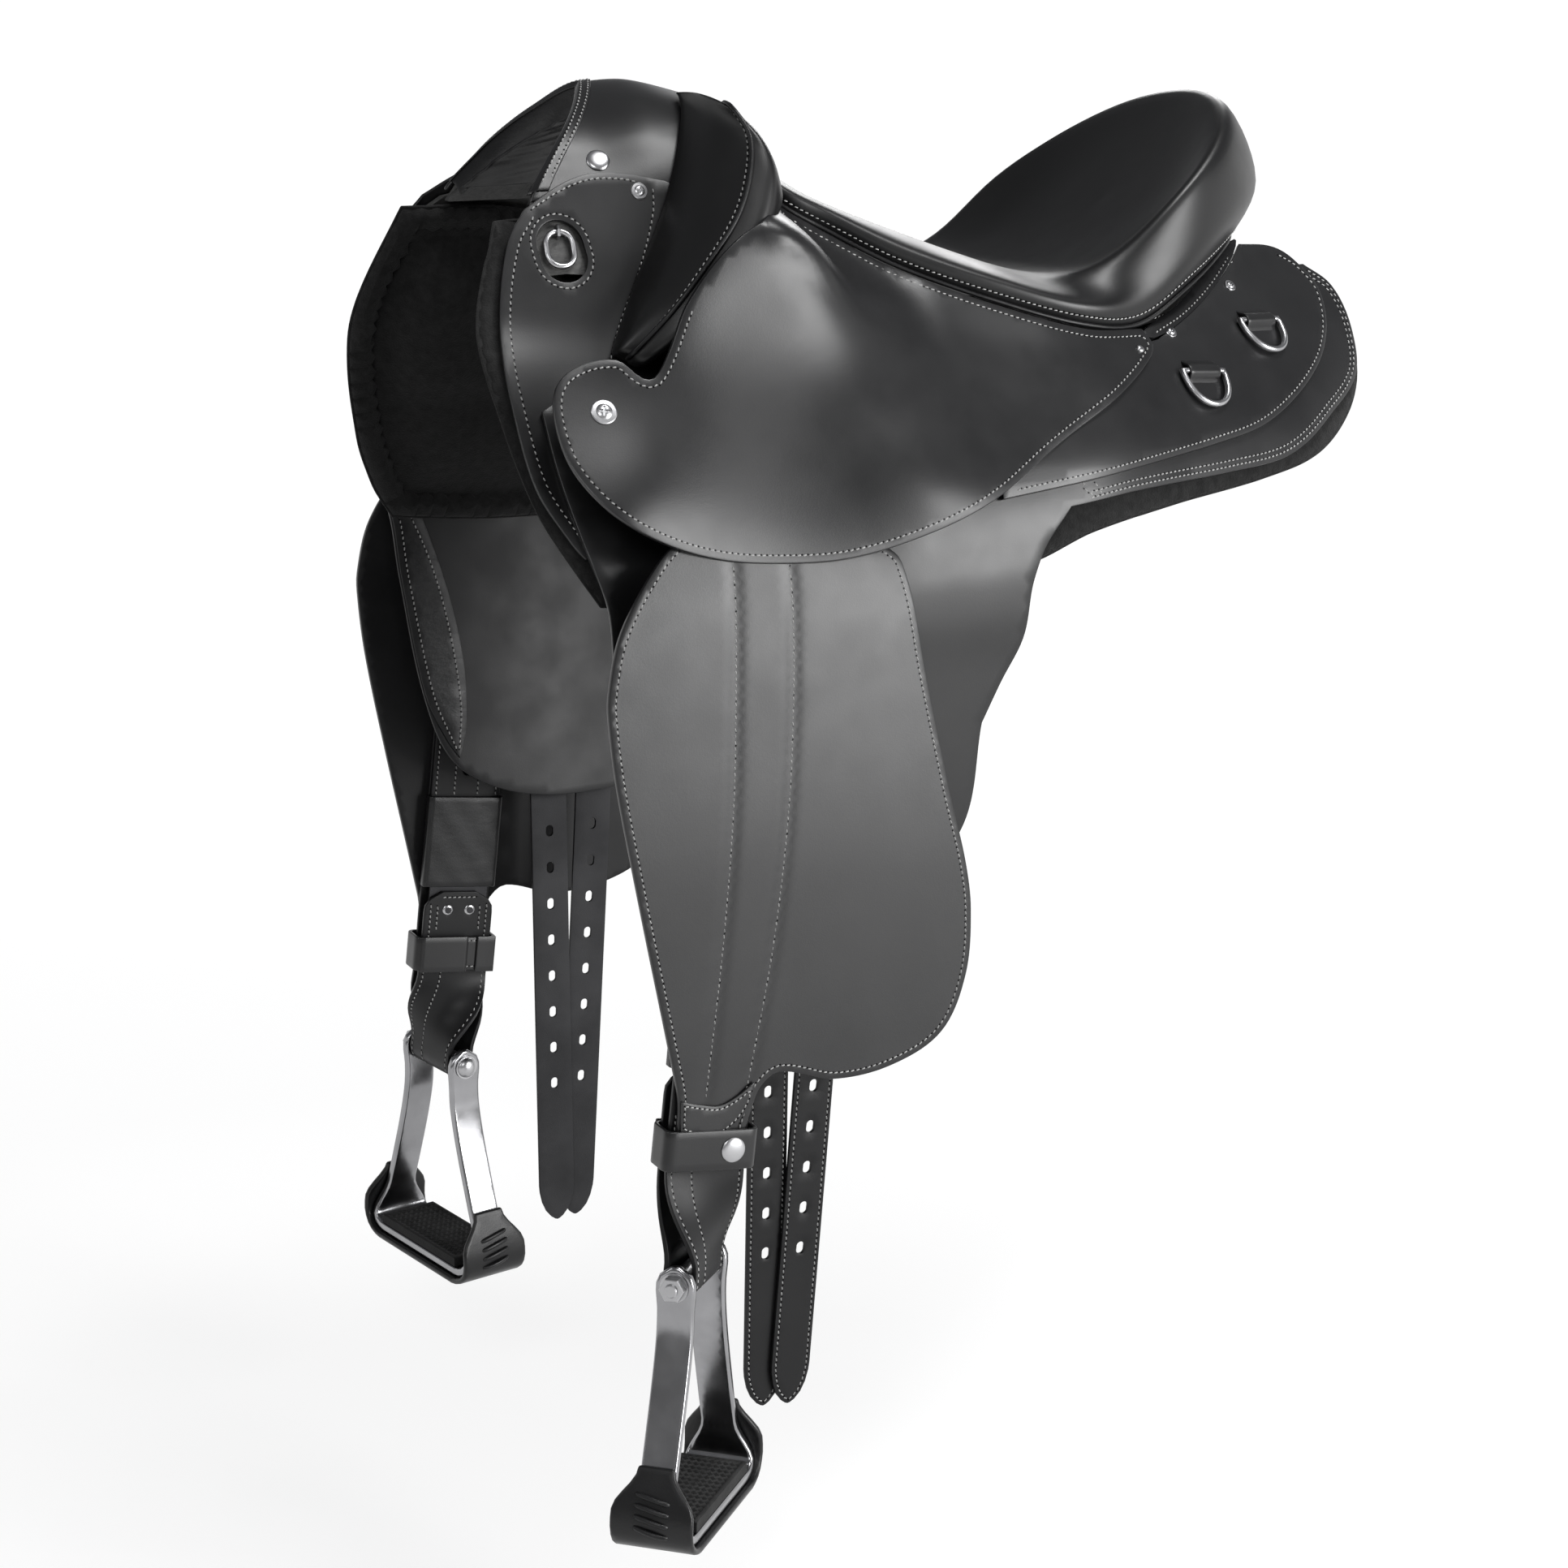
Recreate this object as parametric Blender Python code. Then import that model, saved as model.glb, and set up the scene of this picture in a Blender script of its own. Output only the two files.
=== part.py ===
"""Half breed saddle: stock saddle seat and knee pads with swinging fenders.

Sizes are in millimetres and become metres where a mesh is made.
X runs from pommel to cantle, -Y is the near (left) side, +Z is up.
The origin is on the centre plane, on the axis of the two hanger bolts.
"""
import math
from bisect import bisect_right

import bmesh
import bpy
from mathutils import Vector
from mathutils.geometry import delaunay_2d_cdt

MM = 0.001
GAP = 0.4
LAYER_GAP = 0.8
ARCH_GAP = 0.95
SIDES = {"left": -1, "right": 1}

# Leather, felt and metal thicknesses
FACING_T = 2.6
FLAP_T = 2.6
REAR_SKIRT_T = 3.5
JOCKEY_T = 4.0
FENDER_T = 4.0
STRAP_T = 3.0
GIRTH_T = 2.5
COVER_T = 3.0
TREE_T = 8.0
PLATE_T = 3.0
LINING_T = 2.0
SEAT_COVER_T = 3.0
SEAT_FOAM_T = 9.0
TREE_SEAT_T = 5.0
PANEL_SLACK = 0.2
PANEL_EDGE = 11.0
PANEL_CROWN = 14.0
PANEL_CROWN_WIDTH = 45.0

# Straps, stirrups and small metal
STRAP_W = 50.0
GIRTH_W = 26.0
GIRTH_HOLES = 8
GIRTH_PITCH = 26.0
GIRTH_HOLE_L = 9.0
GIRTH_HOLE_W = 6.0
BOLT_R = 4.0
ROLLER_R = 7.0
STIRRUP_DROP = 539.5
STIRRUP_BAR_T = 6.0
STIRRUP_BAR_W = 20.0
TREAD_L = 48.0
RUBBER_T = 7.0
TREAD_COVER_T = 4.0
RING_WIRE = 2.0
DEE_W = 34.0
DEE_H = 24.0
HANGER_BOLT_R = 5.0

# The fender hangs along a line that leans forward, and the stirrup bolts are turned out
FENDER_LEAN = math.radians(6.5)
STIRRUP_TURN = {"left": math.radians(47), "right": math.radians(78)}

# Half breadth of the panel's outer face: for each x, pairs of z and y
HALF_BREADTH = {
    -140: ((64, 80), (6, 108), (-19, 125), (-45, 139), (-80, 153), (-108, 167), (-130, 178), (-200, 186)),
    -60: ((74, 82), (40, 98), (6, 112), (-45, 139), (-80, 156), (-108, 170), (-130, 180), (-200, 188)),
    0: ((60, 86), (30, 100), (0, 116), (-30, 133), (-60, 150), (-90, 166), (-125, 181), (-200, 190)),
    100: ((50, 78), (20, 102), (0, 118), (-30, 142), (-60, 163), (-90, 180), (-125, 191), (-200, 195)),
    200: ((40, 70), (20, 92), (0, 112), (-30, 140), (-60, 162), (-90, 180), (-125, 190), (-200, 194)),
    300: ((40, 42), (20, 66), (0, 88), (-30, 118), (-60, 142), (-90, 160), (-125, 172), (-200, 178)),
    400: ((40, 20), (20, 46), (0, 66), (-30, 95), (-60, 118), (-90, 135), (-125, 146), (-200, 154)),
    480: ((30, 16), (20, 28), (0, 46), (-30, 70), (-60, 88), (-90, 102), (-125, 112), (-200, 120)),
    540: ((30, 8), (20, 18), (0, 34), (-30, 54), (-60, 68), (-90, 80), (-125, 90), (-200, 98)),
}
# Distance of the fender's outer face from the centre plane, along its length from the hanger bolt
FENDER_LINE = ((0, 139), (30, 153.5), (60, 175), (90, 194.5), (120, 209.5), (150, 215.5), (200, 218.5),
               (300, 221.5), (400, 222), (600, 223))
# Half breadth of the sweat flap where it hangs free below the panel, and of the girth points outside it
FLAP_BEND = ((-345, -20), (-300, -14.5), (-250, -9), (-200, -3.5), (-165, 0.6), (-145, 1.4), (-130, 0))
FLAP_BEND_Z = -130.0
# Half breadth of each girth point's middle, from its tip up to the web
GIRTH_LINES = {
    "front": ((-655, 168.4), (-500, 172.4), (-400, 174.7), (-345, 176.4), (-330, 178), (-300, 181.1),
              (-250, 185.8), (-225, 188.2), (-200, 190.6), (-175, 193.4), (-150, 194.4), (-135, 193.8),
              (-125, 192.4), (-116, 190.9)),
    "rear": ((-655, 171.9), (-500, 175.9), (-400, 178.3), (-345, 180.3), (-330, 182.1), (-300, 185.5),
             (-250, 190.7), (-225, 193.3), (-200, 196), (-175, 199.1), (-150, 200.3), (-135, 199.8),
             (-125, 198.6), (-116, 197.5)),
}

# Radius of the pommel arch about the line y = 0, z = ARCH_Z, by x and by angle from level
ARCH_Z = 60.0
ARCH_RADIUS = {
    -100: ((0, 77), (30, 66), (60, 66), (90, 73)),
    -50: ((0, 83), (30, 71), (60, 69), (90, 74)),
    -10: ((0, 86), (30, 78), (60, 75), (90, 77)),
    25: ((0, 87), (30, 79), (60, 72), (90, 70)),
    50: ((0, 86), (30, 74), (60, 60), (90, 58)),
}


def through(knots, x):
    """Monotone cubic through (position, value) pairs, straight beyond the ends."""
    xs = [k[0] for k in knots]
    ys = [k[1] for k in knots]
    if x <= xs[0]:
        return ys[0] + (x - xs[0]) * (ys[1] - ys[0]) / (xs[1] - xs[0])
    if x >= xs[-1]:
        return ys[-1] + (x - xs[-1]) * (ys[-1] - ys[-2]) / (xs[-1] - xs[-2])

    def chord(k):
        return (ys[k + 1] - ys[k]) / (xs[k + 1] - xs[k])

    def slope(k):
        if k == 0:
            return chord(0)
        if k == len(xs) - 1:
            return chord(k - 1)
        before, after = chord(k - 1), chord(k)
        return 0.0 if before * after <= 0 else 2 * before * after / (before + after)

    i = bisect_right(xs, x) - 1
    width = xs[i + 1] - xs[i]
    t = (x - xs[i]) / width
    return (ys[i] * (1 + 2 * t) * (1 - t) ** 2 + slope(i) * width * t * (1 - t) ** 2
            + ys[i + 1] * t * t * (3 - 2 * t) + slope(i + 1) * width * t * t * (t - 1))


def ease(low, high, x):
    t = max(0.0, min(1.0, (x - low) / (high - low)))
    return t * t * (3 - 2 * t)


STATIONS = [(x, sorted(HALF_BREADTH[x])) for x in sorted(HALF_BREADTH)]
ARCH_STATIONS = sorted(ARCH_RADIUS.items())


def body(x, z):
    return through([(station, through(knots, z)) for station, knots in STATIONS], x)


def stretch(surface, x, z, step=2.0):
    """How much further apart two faces lie along Y than square to the surface."""
    along = (surface(x + step, z) - surface(x - step, z)) / (2 * step)
    down = (surface(x, z + step) - surface(x, z - step)) / (2 * step)
    return math.sqrt(1 + along * along + down * down)


def layer(offset, surface=body):
    """The surface moved out by an offset, square to itself."""
    return lambda x, z: surface(x, z) + offset * stretch(surface, x, z)


# Layers from the panel out
FACING_IN = LAYER_GAP
FACING_OUT = FACING_IN + FACING_T
FLAP_IN = FACING_OUT + LAYER_GAP
FLAP_OUT = FLAP_IN + FLAP_T
REAR_SKIRT_IN = FLAP_OUT + LAYER_GAP
REAR_SKIRT_OUT = REAR_SKIRT_IN + REAR_SKIRT_T
JOCKEY_CLEAR = FLAP_OUT + LAYER_GAP
TREE_OUT = -0.3
TREE_IN = TREE_OUT - TREE_T
PANEL_RECESS = -TREE_IN + LAYER_GAP


def fender_line(length):
    return through(FENDER_LINE, length)


def along_fender(x, z):
    return -x * math.sin(FENDER_LEAN) - z * math.cos(FENDER_LEAN)


def jockey_inner(x, z):
    """Lies on the flap, and bulges over everything that the swinging fender sweeps."""
    clear = JOCKEY_CLEAR + (REAR_SKIRT_OUT - FLAP_OUT) * ease(112, 142, x)
    base = layer(clear)(x, z)
    reach = math.hypot(x, z)
    dome = fender_line(reach) + 2 * GAP
    share = ease(0.35, 0.9, -z / (abs(x) + 0.001)) if z < 0 else 0.0
    share = max(share, 1 - ease(50, 85, reach)) * (1 - ease(150, 250, abs(x)))
    rise = dome - base
    soft = 4.0
    return base + share * 0.5 * (rise + math.sqrt(rise * rise + soft * soft))


def jockey_outer(x, z):
    return jockey_inner(x, z) + JOCKEY_T * stretch(jockey_inner, x, z)


def arch_radius(x, angle):
    return through([(station, through(knots, angle)) for station, knots in ARCH_STATIONS], x)


def arch_point(x, angle, offset=0.0):
    """A point on the pommel arch; the angle is in degrees from level, 90 on the centre plane."""
    a = math.radians(angle)
    r = arch_radius(x, angle) + offset
    return Vector((x, r * math.cos(a), ARCH_Z + r * math.sin(a)))


def arch_front(angle):
    """X of the arch's slanting front edge."""
    return through(((0, -99), (12, -91), (30, -76), (50, -59), (70, -45), (90, -34)), angle)


# Materials, meshes and objects

def remove_all():
    for old in list(bpy.data.objects):
        bpy.data.objects.remove(old, do_unlink=True)


FINISHES = {
    "smooth_leather": ((0.030, 0.030, 0.032), 0.38, 0.0),
    "grained_leather": ((0.014, 0.014, 0.015), 0.55, 0.0),
    "serge": ((0.010, 0.010, 0.011), 0.95, 0.0),
    "bright_steel": ((0.62, 0.62, 0.63), 0.25, 1.0),
    "aluminium": ((0.70, 0.71, 0.72), 0.30, 1.0),
    "rubber": ((0.015, 0.015, 0.015), 0.85, 0.0),
    "fibreglass": ((0.05, 0.05, 0.05), 0.6, 0.0),
    "foam": ((0.10, 0.10, 0.10), 0.95, 0.0),
}


def material(name, finish):
    colour, roughness, metallic = FINISHES[finish]
    made = bpy.data.materials.new(name)
    made.use_nodes = True
    shader = made.node_tree.nodes["Principled BSDF"]
    shader.inputs["Base Color"].default_value = (*colour, 1)
    shader.inputs["Roughness"].default_value = roughness
    shader.inputs["Metallic"].default_value = metallic
    made.diffuse_color = (*colour, 1)
    return made


def pivot(name, place):
    empty = bpy.data.objects.new(name, None)
    empty.location = Vector(place) * MM
    bpy.context.collection.objects.link(empty)
    return empty


def add(name, shapes, finish, parent=None, smooth_angle=35):
    """One named object from (points, faces) shapes; a parent empty carries its place."""
    origin = parent.location if parent else Vector((0, 0, 0))
    bm = bmesh.new()
    for points, faces in shapes:
        verts = [bm.verts.new(Vector(p) * MM - origin) for p in points]
        for face in faces:
            corners = list(dict.fromkeys(face))
            if len(corners) > 2:
                bm.faces.new([verts[i] for i in corners])
    bmesh.ops.recalc_face_normals(bm, faces=bm.faces)
    mesh = bpy.data.meshes.new(name)
    bm.to_mesh(mesh)
    bm.free()
    mesh.shade_smooth()
    mesh.set_sharp_from_angle(angle=math.radians(smooth_angle))
    mesh.materials.append(material(name, finish))
    made = bpy.data.objects.new(name, mesh)
    bpy.context.collection.objects.link(made)
    if parent:
        made.parent = parent
    return made


def mirrored(shapes):
    return [([(p[0], -p[1], p[2]) for p in points], [tuple(reversed(f)) for f in faces])
            for points, faces in shapes]


def pair(name, shapes, finish, parents=None):
    """The near side piece, and the off side piece as its mirror image."""
    for side, sign in SIDES.items():
        parent = parents[side] if parents else None
        add(f"{name}_{side}", shapes if sign < 0 else mirrored(shapes), finish, parent)


# Outlines and sheets

def curve(points, step=17.0, closed=True):
    """Smooth line through points; a point with a final True is a corner."""
    corner = [len(p) > 2 and p[-1] is True for p in points]
    pos = [Vector(p[:-1] if c else p) for p, c in zip(points, corner)]
    count = len(pos)
    line = []
    for i in range(count if closed else count - 1):
        a, b = pos[i], pos[(i + 1) % count]
        run = (b - a).length
        before = pos[i - 1] if closed or i else a
        after = pos[(i + 2) % count] if closed or i + 2 < count else b
        lead = (b - a) if corner[i] else (b - before).normalized() * run
        trail = (b - a) if corner[(i + 1) % count] else (after - a).normalized() * run
        steps = max(1, round(run / step))
        for k in range(steps):
            t = k / steps
            line.append(a * (1 + 2 * t) * (1 - t) ** 2 + lead * t * (1 - t) ** 2
                        + b * t * t * (3 - 2 * t) + trail * t * t * (t - 1))
    if not closed:
        line.append(pos[-1])
    return line


def oval(x, z, length, width, sides=10, lean=0.0):
    """Round ended hole, long along its own Z, turned by lean."""
    straight = (length - width) / 2
    ring = []
    for k in range(sides):
        a = 2 * math.pi * k / sides
        u, v = width / 2 * math.sin(a), width / 2 * math.cos(a)
        v += straight if v > 0 else -straight
        ring.append(Vector((x + u * math.cos(lean) + v * math.sin(lean),
                            z - u * math.sin(lean) + v * math.cos(lean))))
    return ring


def circle(x, z, radius, sides=12):
    return oval(x, z, 2 * radius, 2 * radius, sides)


def inside(p, loop):
    odd = False
    for a, b in zip(loop, loop[1:] + loop[:1]):
        if (a.y > p.y) != (b.y > p.y) and p.x < (b.x - a.x) * (p.y - a.y) / (b.y - a.y) + a.x:
            odd = not odd
    return odd


def edge_distance(p, loop):
    best = 1e9
    for a, b in zip(loop, loop[1:] + loop[:1]):
        d = b - a
        t = max(0.0, min(1.0, (p - a).dot(d) / max(d.dot(d), 1e-9)))
        best = min(best, (p - a - d * t).length)
    return best


def filled(loop, holes, grid, extra=(), rims=()):
    """Triangles that fill an outline; grid is the spacing of the points inside it, across and up."""
    points = list(loop)
    edges = [(i, (i + 1) % len(loop)) for i in range(len(loop))]
    for ring in list(holes) + list(rims):
        first = len(points)
        points += ring
        edges += [(first + i, first + (i + 1) % len(ring)) for i in range(len(ring))]
    points += [Vector(p) for p in extra if inside(Vector(p), loop) and edge_distance(Vector(p), loop) > 3]
    wide, tall = grid
    columns = range(math.ceil(min(p.x for p in loop) / wide), math.ceil(max(p.x for p in loop) / wide))
    rows = range(math.ceil(min(p.y for p in loop) / tall), math.ceil(max(p.y for p in loop) / tall))
    for i in columns:
        for j in rows:
            p = Vector((i * wide, j * tall))
            clear = inside(p, loop) and edge_distance(p, loop) > 0.4 * tall
            if clear and all(not inside(p, h) and edge_distance(p, h) > 0.3 * tall for h in holes):
                points.append(p)
    verts, _, faces, *_ = delaunay_2d_cdt(points, edges, [], 1, 1e-5)

    def solid(face):
        middle = sum((verts[i] for i in face), Vector((0, 0))) / len(face)
        return not any(inside(middle, hole) for hole in holes)

    return verts, [f for f in faces if solid(f)]


def slab(loop, inner, outer, holes=(), grid=(40, 13), place=None, extra=(), rims=()):
    """A closed sheet between two surfaces over an outline; place turns (a, b, depth) into x, y, z.

    Holes go through it, rims are rings of edges where a boss starts, extra points refine the mesh.
    """
    place = place or (lambda a, b, depth: (a, -depth, b))
    verts, faces = filled(loop, holes, grid, extra, rims)
    count = len(verts)
    points = [place(v.x, v.y, outer(v.x, v.y)) for v in verts]
    points += [place(v.x, v.y, inner(v.x, v.y)) for v in verts]
    shell = list(faces) + [tuple(i + count for i in reversed(f)) for f in faces]
    used = {}
    for f in faces:
        for a, b in zip(f, f[1:] + f[:1]):
            used[(a, b)] = True
    for a, b in used:
        if (b, a) not in used:
            shell.append((b, a, a + count, b + count))
    return points, shell


def loft(rings, closed=True, cap=True):
    """Skin over rings of equal count; open lines are joined edge to edge."""
    count = len(rings[0])
    points = [p for ring in rings for p in ring]
    faces = []
    for r in range(len(rings) - 1):
        for k in range(count if closed else count - 1):
            a, b = r * count + k, r * count + (k + 1) % count
            faces.append((a, b, b + count, a + count))
    if closed and cap:
        faces.append(tuple(reversed(range(count))))
        faces.append(tuple(range(len(points) - count, len(points))))
    return points, faces


def shell_between(outer, inner):
    """Closed shell from two grids of open lines, with a wall round all four edges."""
    rows, columns = len(outer), len(outer[0])
    rings = [list(o) + list(reversed(i)) for o, i in zip(outer, inner)]
    assert rows > 1 and columns > 1
    return loft(rings)


def disc(centre, normal, profile, sides=16, start=Vector((0, 0, 1))):
    """Turned piece from (height, radius) pairs along a normal; radius 0 ends close it."""
    n = Vector(normal).normalized()
    u = start - n * start.dot(n)
    u.normalize()
    v = n.cross(u)
    rings = []
    for height, radius in profile:
        rings.append([Vector(centre) + n * height + (u * math.cos(2 * math.pi * k / sides)
                      + v * math.sin(2 * math.pi * k / sides)) * radius for k in range(sides)])
    return loft(rings)


def wire_ring(path, radius, normal, sides=8):
    """Closed ring of round wire along a flat path of points."""
    n = Vector(normal).normalized()
    rings = []
    for i, p in enumerate(path):
        run = (path[(i + 1) % len(path)] - path[i - 1]).normalized()
        out = run.cross(n)
        rings.append([p + (out * math.cos(2 * math.pi * k / sides) + n * math.sin(2 * math.pi * k / sides))
                      * radius for k in range(sides)])
    points, faces = loft(rings, cap=False)
    last = len(points) - sides
    faces += [(last + k, last + (k + 1) % sides, (k + 1) % sides, k) for k in range(sides)]
    return points, faces


def surface_frame(surface, x, z, sign):
    """Point, outward normal and downhill direction of a side surface."""
    step = 2.0
    y = surface(x, z)
    dx = Vector((2 * step, sign * (surface(x + step, z) - surface(x - step, z)), 0)).normalized()
    dz = Vector((0, sign * (surface(x, z + step) - surface(x, z - step)), 2 * step)).normalized()
    normal = dx.cross(dz)
    if normal.y * sign < 0:
        normal.negate()
    return Vector((x, sign * y, z)), normal.normalized(), -dz


# The panels, facings, flaps and skirts on each side

def tree_zone(x, z):
    """1 where the tree lies against the panel, 0 where the panel keeps its full face."""
    return ease(-120, -104, x) * (1 - ease(320, 360, x)) * ease(-65, -52, z)


PANEL_OUTLINE = ((-118, 60, True), (-139, 6), (-140, -28), (-127, -89), (-111, -124), (-97, -146, True),
                 (-20, -152), (80, -150), (173, -140), (218, -125), (285, -115), (364, -107), (423, -97),
                 (463, -77), (483, -54), (487, -25), (478, 2), (455, 16), (400, 6), (350, -14), (290, -22),
                 (220, -20), (150, -8), (90, 16), (40, 34), (-20, 52), (-70, 60))
FACING_OUTLINE = ((-106, 64, True), (-117, 49), (-129, 6), (-133, -28), (-127, -80), (-112, -111),
                  (-106, -119, True), (-60, -112), (0, -108), (100, -104), (180, -98), (260, -92), (340, -86),
                  (405, -80), (450, -60), (472, -40), (472, -10), (455, 12), (400, 12), (345, -4), (290, -14),
                  (230, -12), (170, 2), (110, 26), (60, 50), (0, 68), (-22, 72, True), (-52, 76.5),
                  (-80, 74, True))
SLOT_CENTRE = (-85, 44)
SLOT_L = 34.0
SLOT_W = 28.0
SLOT_LEAN = math.radians(-8)
# Centre, length and width of the facing's cut out under the jockey, where the hanger swings
HANGER_WINDOW = (12, -18, 84, 72)
FLAP_OUTLINE = ((-117, -40, True), (-115, -63), (-111, -89), (-104, -122), (-96, -150), (-92, -190),
                (-80, -270), (-62, -315), (-25, -338), (30, -346), (90, -338), (132, -300), (141, -234, True),
                (152, -210), (165, -184), (170, -150), (180, -128), (198, -108, True), (248, -103),
                (332, -99), (385, -94), (434, -74), (472, -53), (482, -24), (479, 1), (461, 15, True),
                (400, 14), (345, -1), (290, -16), (230, -34), (150, -60), (90, -58), (52, -62), (0, -64),
                (-52, -62), (-80, -40), (-100, -34))
REAR_SKIRT_OUTLINE = ((150, -100, True), (186, -96), (248, -89), (320, -81), (366, -73), (414, -53),
                      (446, -31), (461, -2), (452, 16), (436, 27), (407, 30, True), (380, 13), (340, -4),
                      (300, -20, True), (240, -28), (180, -45), (150, -80, True))
JOCKEY_OUTLINE = ((-81, -11), (-106, -15), (-119, -27), (-122, -50), (-117, -70), (-101, -90), (-74, -107),
                  (-39, -119), (0, -124), (40, -124), (84, -115), (142, -95), (192, -72), (250, -46),
                  (281, -30), (289, -22), (285, -12.8, True), (238, -9.8), (181, 6.2), (127, 26.2),
                  (86, 48.2), (44, 68.7, True), (10, 36), (-19, 9), (-43, -9), (-58, -22), (-67, -22))


def free_flap(x, z):
    """Half breadth of the sweat flap's inner face: on the facing above, hanging free below."""
    on_panel = layer(FLAP_IN)(x, max(z, FLAP_BEND_Z))
    return on_panel + (through(FLAP_BEND, z) if z < FLAP_BEND_Z else 0.0)


def panel_outer(x, z):
    return body(x, z) - (PANEL_SLACK + PANEL_RECESS * tree_zone(x, z)) * stretch(body, x, z)


def make_panels():
    loop = curve(PANEL_OUTLINE, 16)

    def inner(x, z):
        crown = ease(0, PANEL_CROWN_WIDTH, edge_distance(Vector((x, z)), loop))
        depth = PANEL_EDGE + PANEL_CROWN * crown
        return body(x, z) - (depth + 0.7 * PANEL_RECESS * tree_zone(x, z)) * stretch(body, x, z)

    step_line = [(-104, z) for z in range(-52, 60, 13)]
    pair("panel", [slab(loop, inner, panel_outer, extra=step_line)], "serge")


def make_side_leather():
    slot = oval(*SLOT_CENTRE, SLOT_L, SLOT_W, sides=16, lean=SLOT_LEAN)
    window = oval(*HANGER_WINDOW, sides=16)
    pair("panel_facing", [slab(curve(FACING_OUTLINE), layer(FACING_IN), layer(FACING_OUT),
                               holes=[slot, window])], "smooth_leather")
    pair("sweat_flap", [slab(curve(FLAP_OUTLINE), free_flap,
                             lambda x, z: free_flap(x, z) + FLAP_T * stretch(free_flap, x, z))],
         "smooth_leather")
    pair("rear_skirt", [slab(curve(REAR_SKIRT_OUTLINE), layer(REAR_SKIRT_IN), layer(REAR_SKIRT_OUT))],
         "smooth_leather")
    pair("jockey", [slab(curve(JOCKEY_OUTLINE, 10), jockey_inner, jockey_outer, grid=(20, 14))],
         "smooth_leather")


# The pommel: cover, tree fork, gullet plate and lining

ARCH_ANGLES = (12, 24, 38, 52, 66, 78, 90)
ARCH_STEPS = 8


def arch_shell(inner, outer, back, low, front_set_back=0.0):
    """Closed arch between two offsets, from the slanting front edge to a back line."""
    angles = [low] + [a for a in ARCH_ANGLES if a > low + 4]
    half = len(angles)

    def grid(offset):
        lines = []
        for k in range(ARCH_STEPS + 1):
            u = k / ARCH_STEPS
            side = []
            for a in angles:
                front = arch_front(a) + front_set_back
                side.append(arch_point(front + (back(a) - front) * u, a, offset))
            other = [Vector((p.x, -p.y, p.z)) for p in side[:half - 1]]
            lines.append(other + list(reversed(side)))
        return lines

    return shell_between(grid(outer), grid(inner))


TREE_SIDE_OUTLINE = ((-101, 60, True), (-101, 30, True), (-66, 30), (-40, 12), (-30, -30, True), (30, -26),
                     (86, -16), (127, -26), (181, -40), (238, -42), (310, -42, True), (310, -22, True),
                     (285, -22), (238, -18), (181, -2), (127, 18), (86, 33), (50, 42), (28, 56),
                     (20, 68, True), (-60, 71), (-92, 66))
FORK_FOOT = 3.0


def make_tree():
    """Moulded head and side bars in one piece, with holes for the hanger bolts."""
    fork_out = -COVER_T - ARCH_GAP
    fork = arch_shell(fork_out - TREE_T, fork_out, lambda a: cover_back(a) - 3, FORK_FOOT, front_set_back=4)
    tree = add("tree", [fork], "fibreglass")
    hole = circle(0, 0, HANGER_BOLT_R + GAP)
    side = slab(curve(TREE_SIDE_OUTLINE), layer(TREE_IN), layer(TREE_OUT), holes=[hole])
    pair("tree_side_guide", [side], "fibreglass")
    for name in SIDES:
        guide = bpy.data.objects[f"tree_side_guide_{name}"]
        guide.hide_render = True
        guide.display_type = "WIRE"
        join = tree.modifiers.new(f"join_{name}", "BOOLEAN")
        join.operation = "UNION"
        join.object = guide


def cover_back(angle):
    """X of the pommel cover's rear edge."""
    return 14 + 26 * ease(20, 90, angle)


def make_pommel():
    add("pommel_cover", [arch_shell(-COVER_T, 0, cover_back, 13)], "smooth_leather")
    fork_in = -COVER_T - ARCH_GAP - TREE_T
    plate_in = fork_in - ARCH_GAP - PLATE_T
    add("gullet_plate", [arch_shell(plate_in, fork_in - ARCH_GAP, lambda a: 5, 16, front_set_back=8)],
        "bright_steel")
    lining_in = plate_in - ARCH_GAP - LINING_T
    add("gullet_lining", [arch_shell(lining_in, plate_in - ARCH_GAP, lambda a: 8, 14)], "grained_leather")


# The knee pads

PAD_FRONT = ((17, 129), (16, 127), (2, 107), (-12, 81), (-26, 58), (-42, 34), (-56, 10), (-67, -10),
             (-66, -14))
PAD_PIPING = ((15, 100, 125), (13, 118, 122), (18, 131, 106), (12, 142, 84), (0, 150, 62), (-20, 156, 39),
              (-42, 157, 14), (-60, 147, -8), (-63, 137, -15))
PAD_RIM = ((22, 104, 118), (24, 127, 110), (27, 141, 92), (20, 151, 70), (6, 159, 50), (-15, 164, 30),
           (-36, 164, 6), (-57, 151, -13), (-62, 137, -17))
PAD_BACK = ((32, 80, 112), (37, 88, 104), (38, 112, 86), (35, 124, 71), (9, 138, 45), (-12, 144, 25),
            (-35, 144, 4), (-56, 137, -13), (-61, 134, -16))
PAD_REAR = ((34, 118), (38, 114), (38, 96), (36, 72), (11, 44), (-10, 24), (-33, 3), (-54, -13), (-60, -16))
PAD_LIFT = GAP + 0.9
PAD_STEPS = 3


def pad_seat(x, z, lift):
    """What the pad rests on: the pommel cover above, the facing below."""
    low = layer(FACING_OUT + lift)(x, z)
    if z < 72:
        return Vector((x, -low, z))
    angle = 45.0
    for _ in range(40):
        radius = arch_radius(x, angle) + lift
        wanted = min(0.999, (z - ARCH_Z) / radius)
        angle += 0.5 * (math.degrees(math.asin(wanted)) - angle)
    high = arch_point(x, angle, lift)
    share = ease(72, 82, z)
    return Vector((x, -(low * (1 - share) + high.y * share), z))


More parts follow.
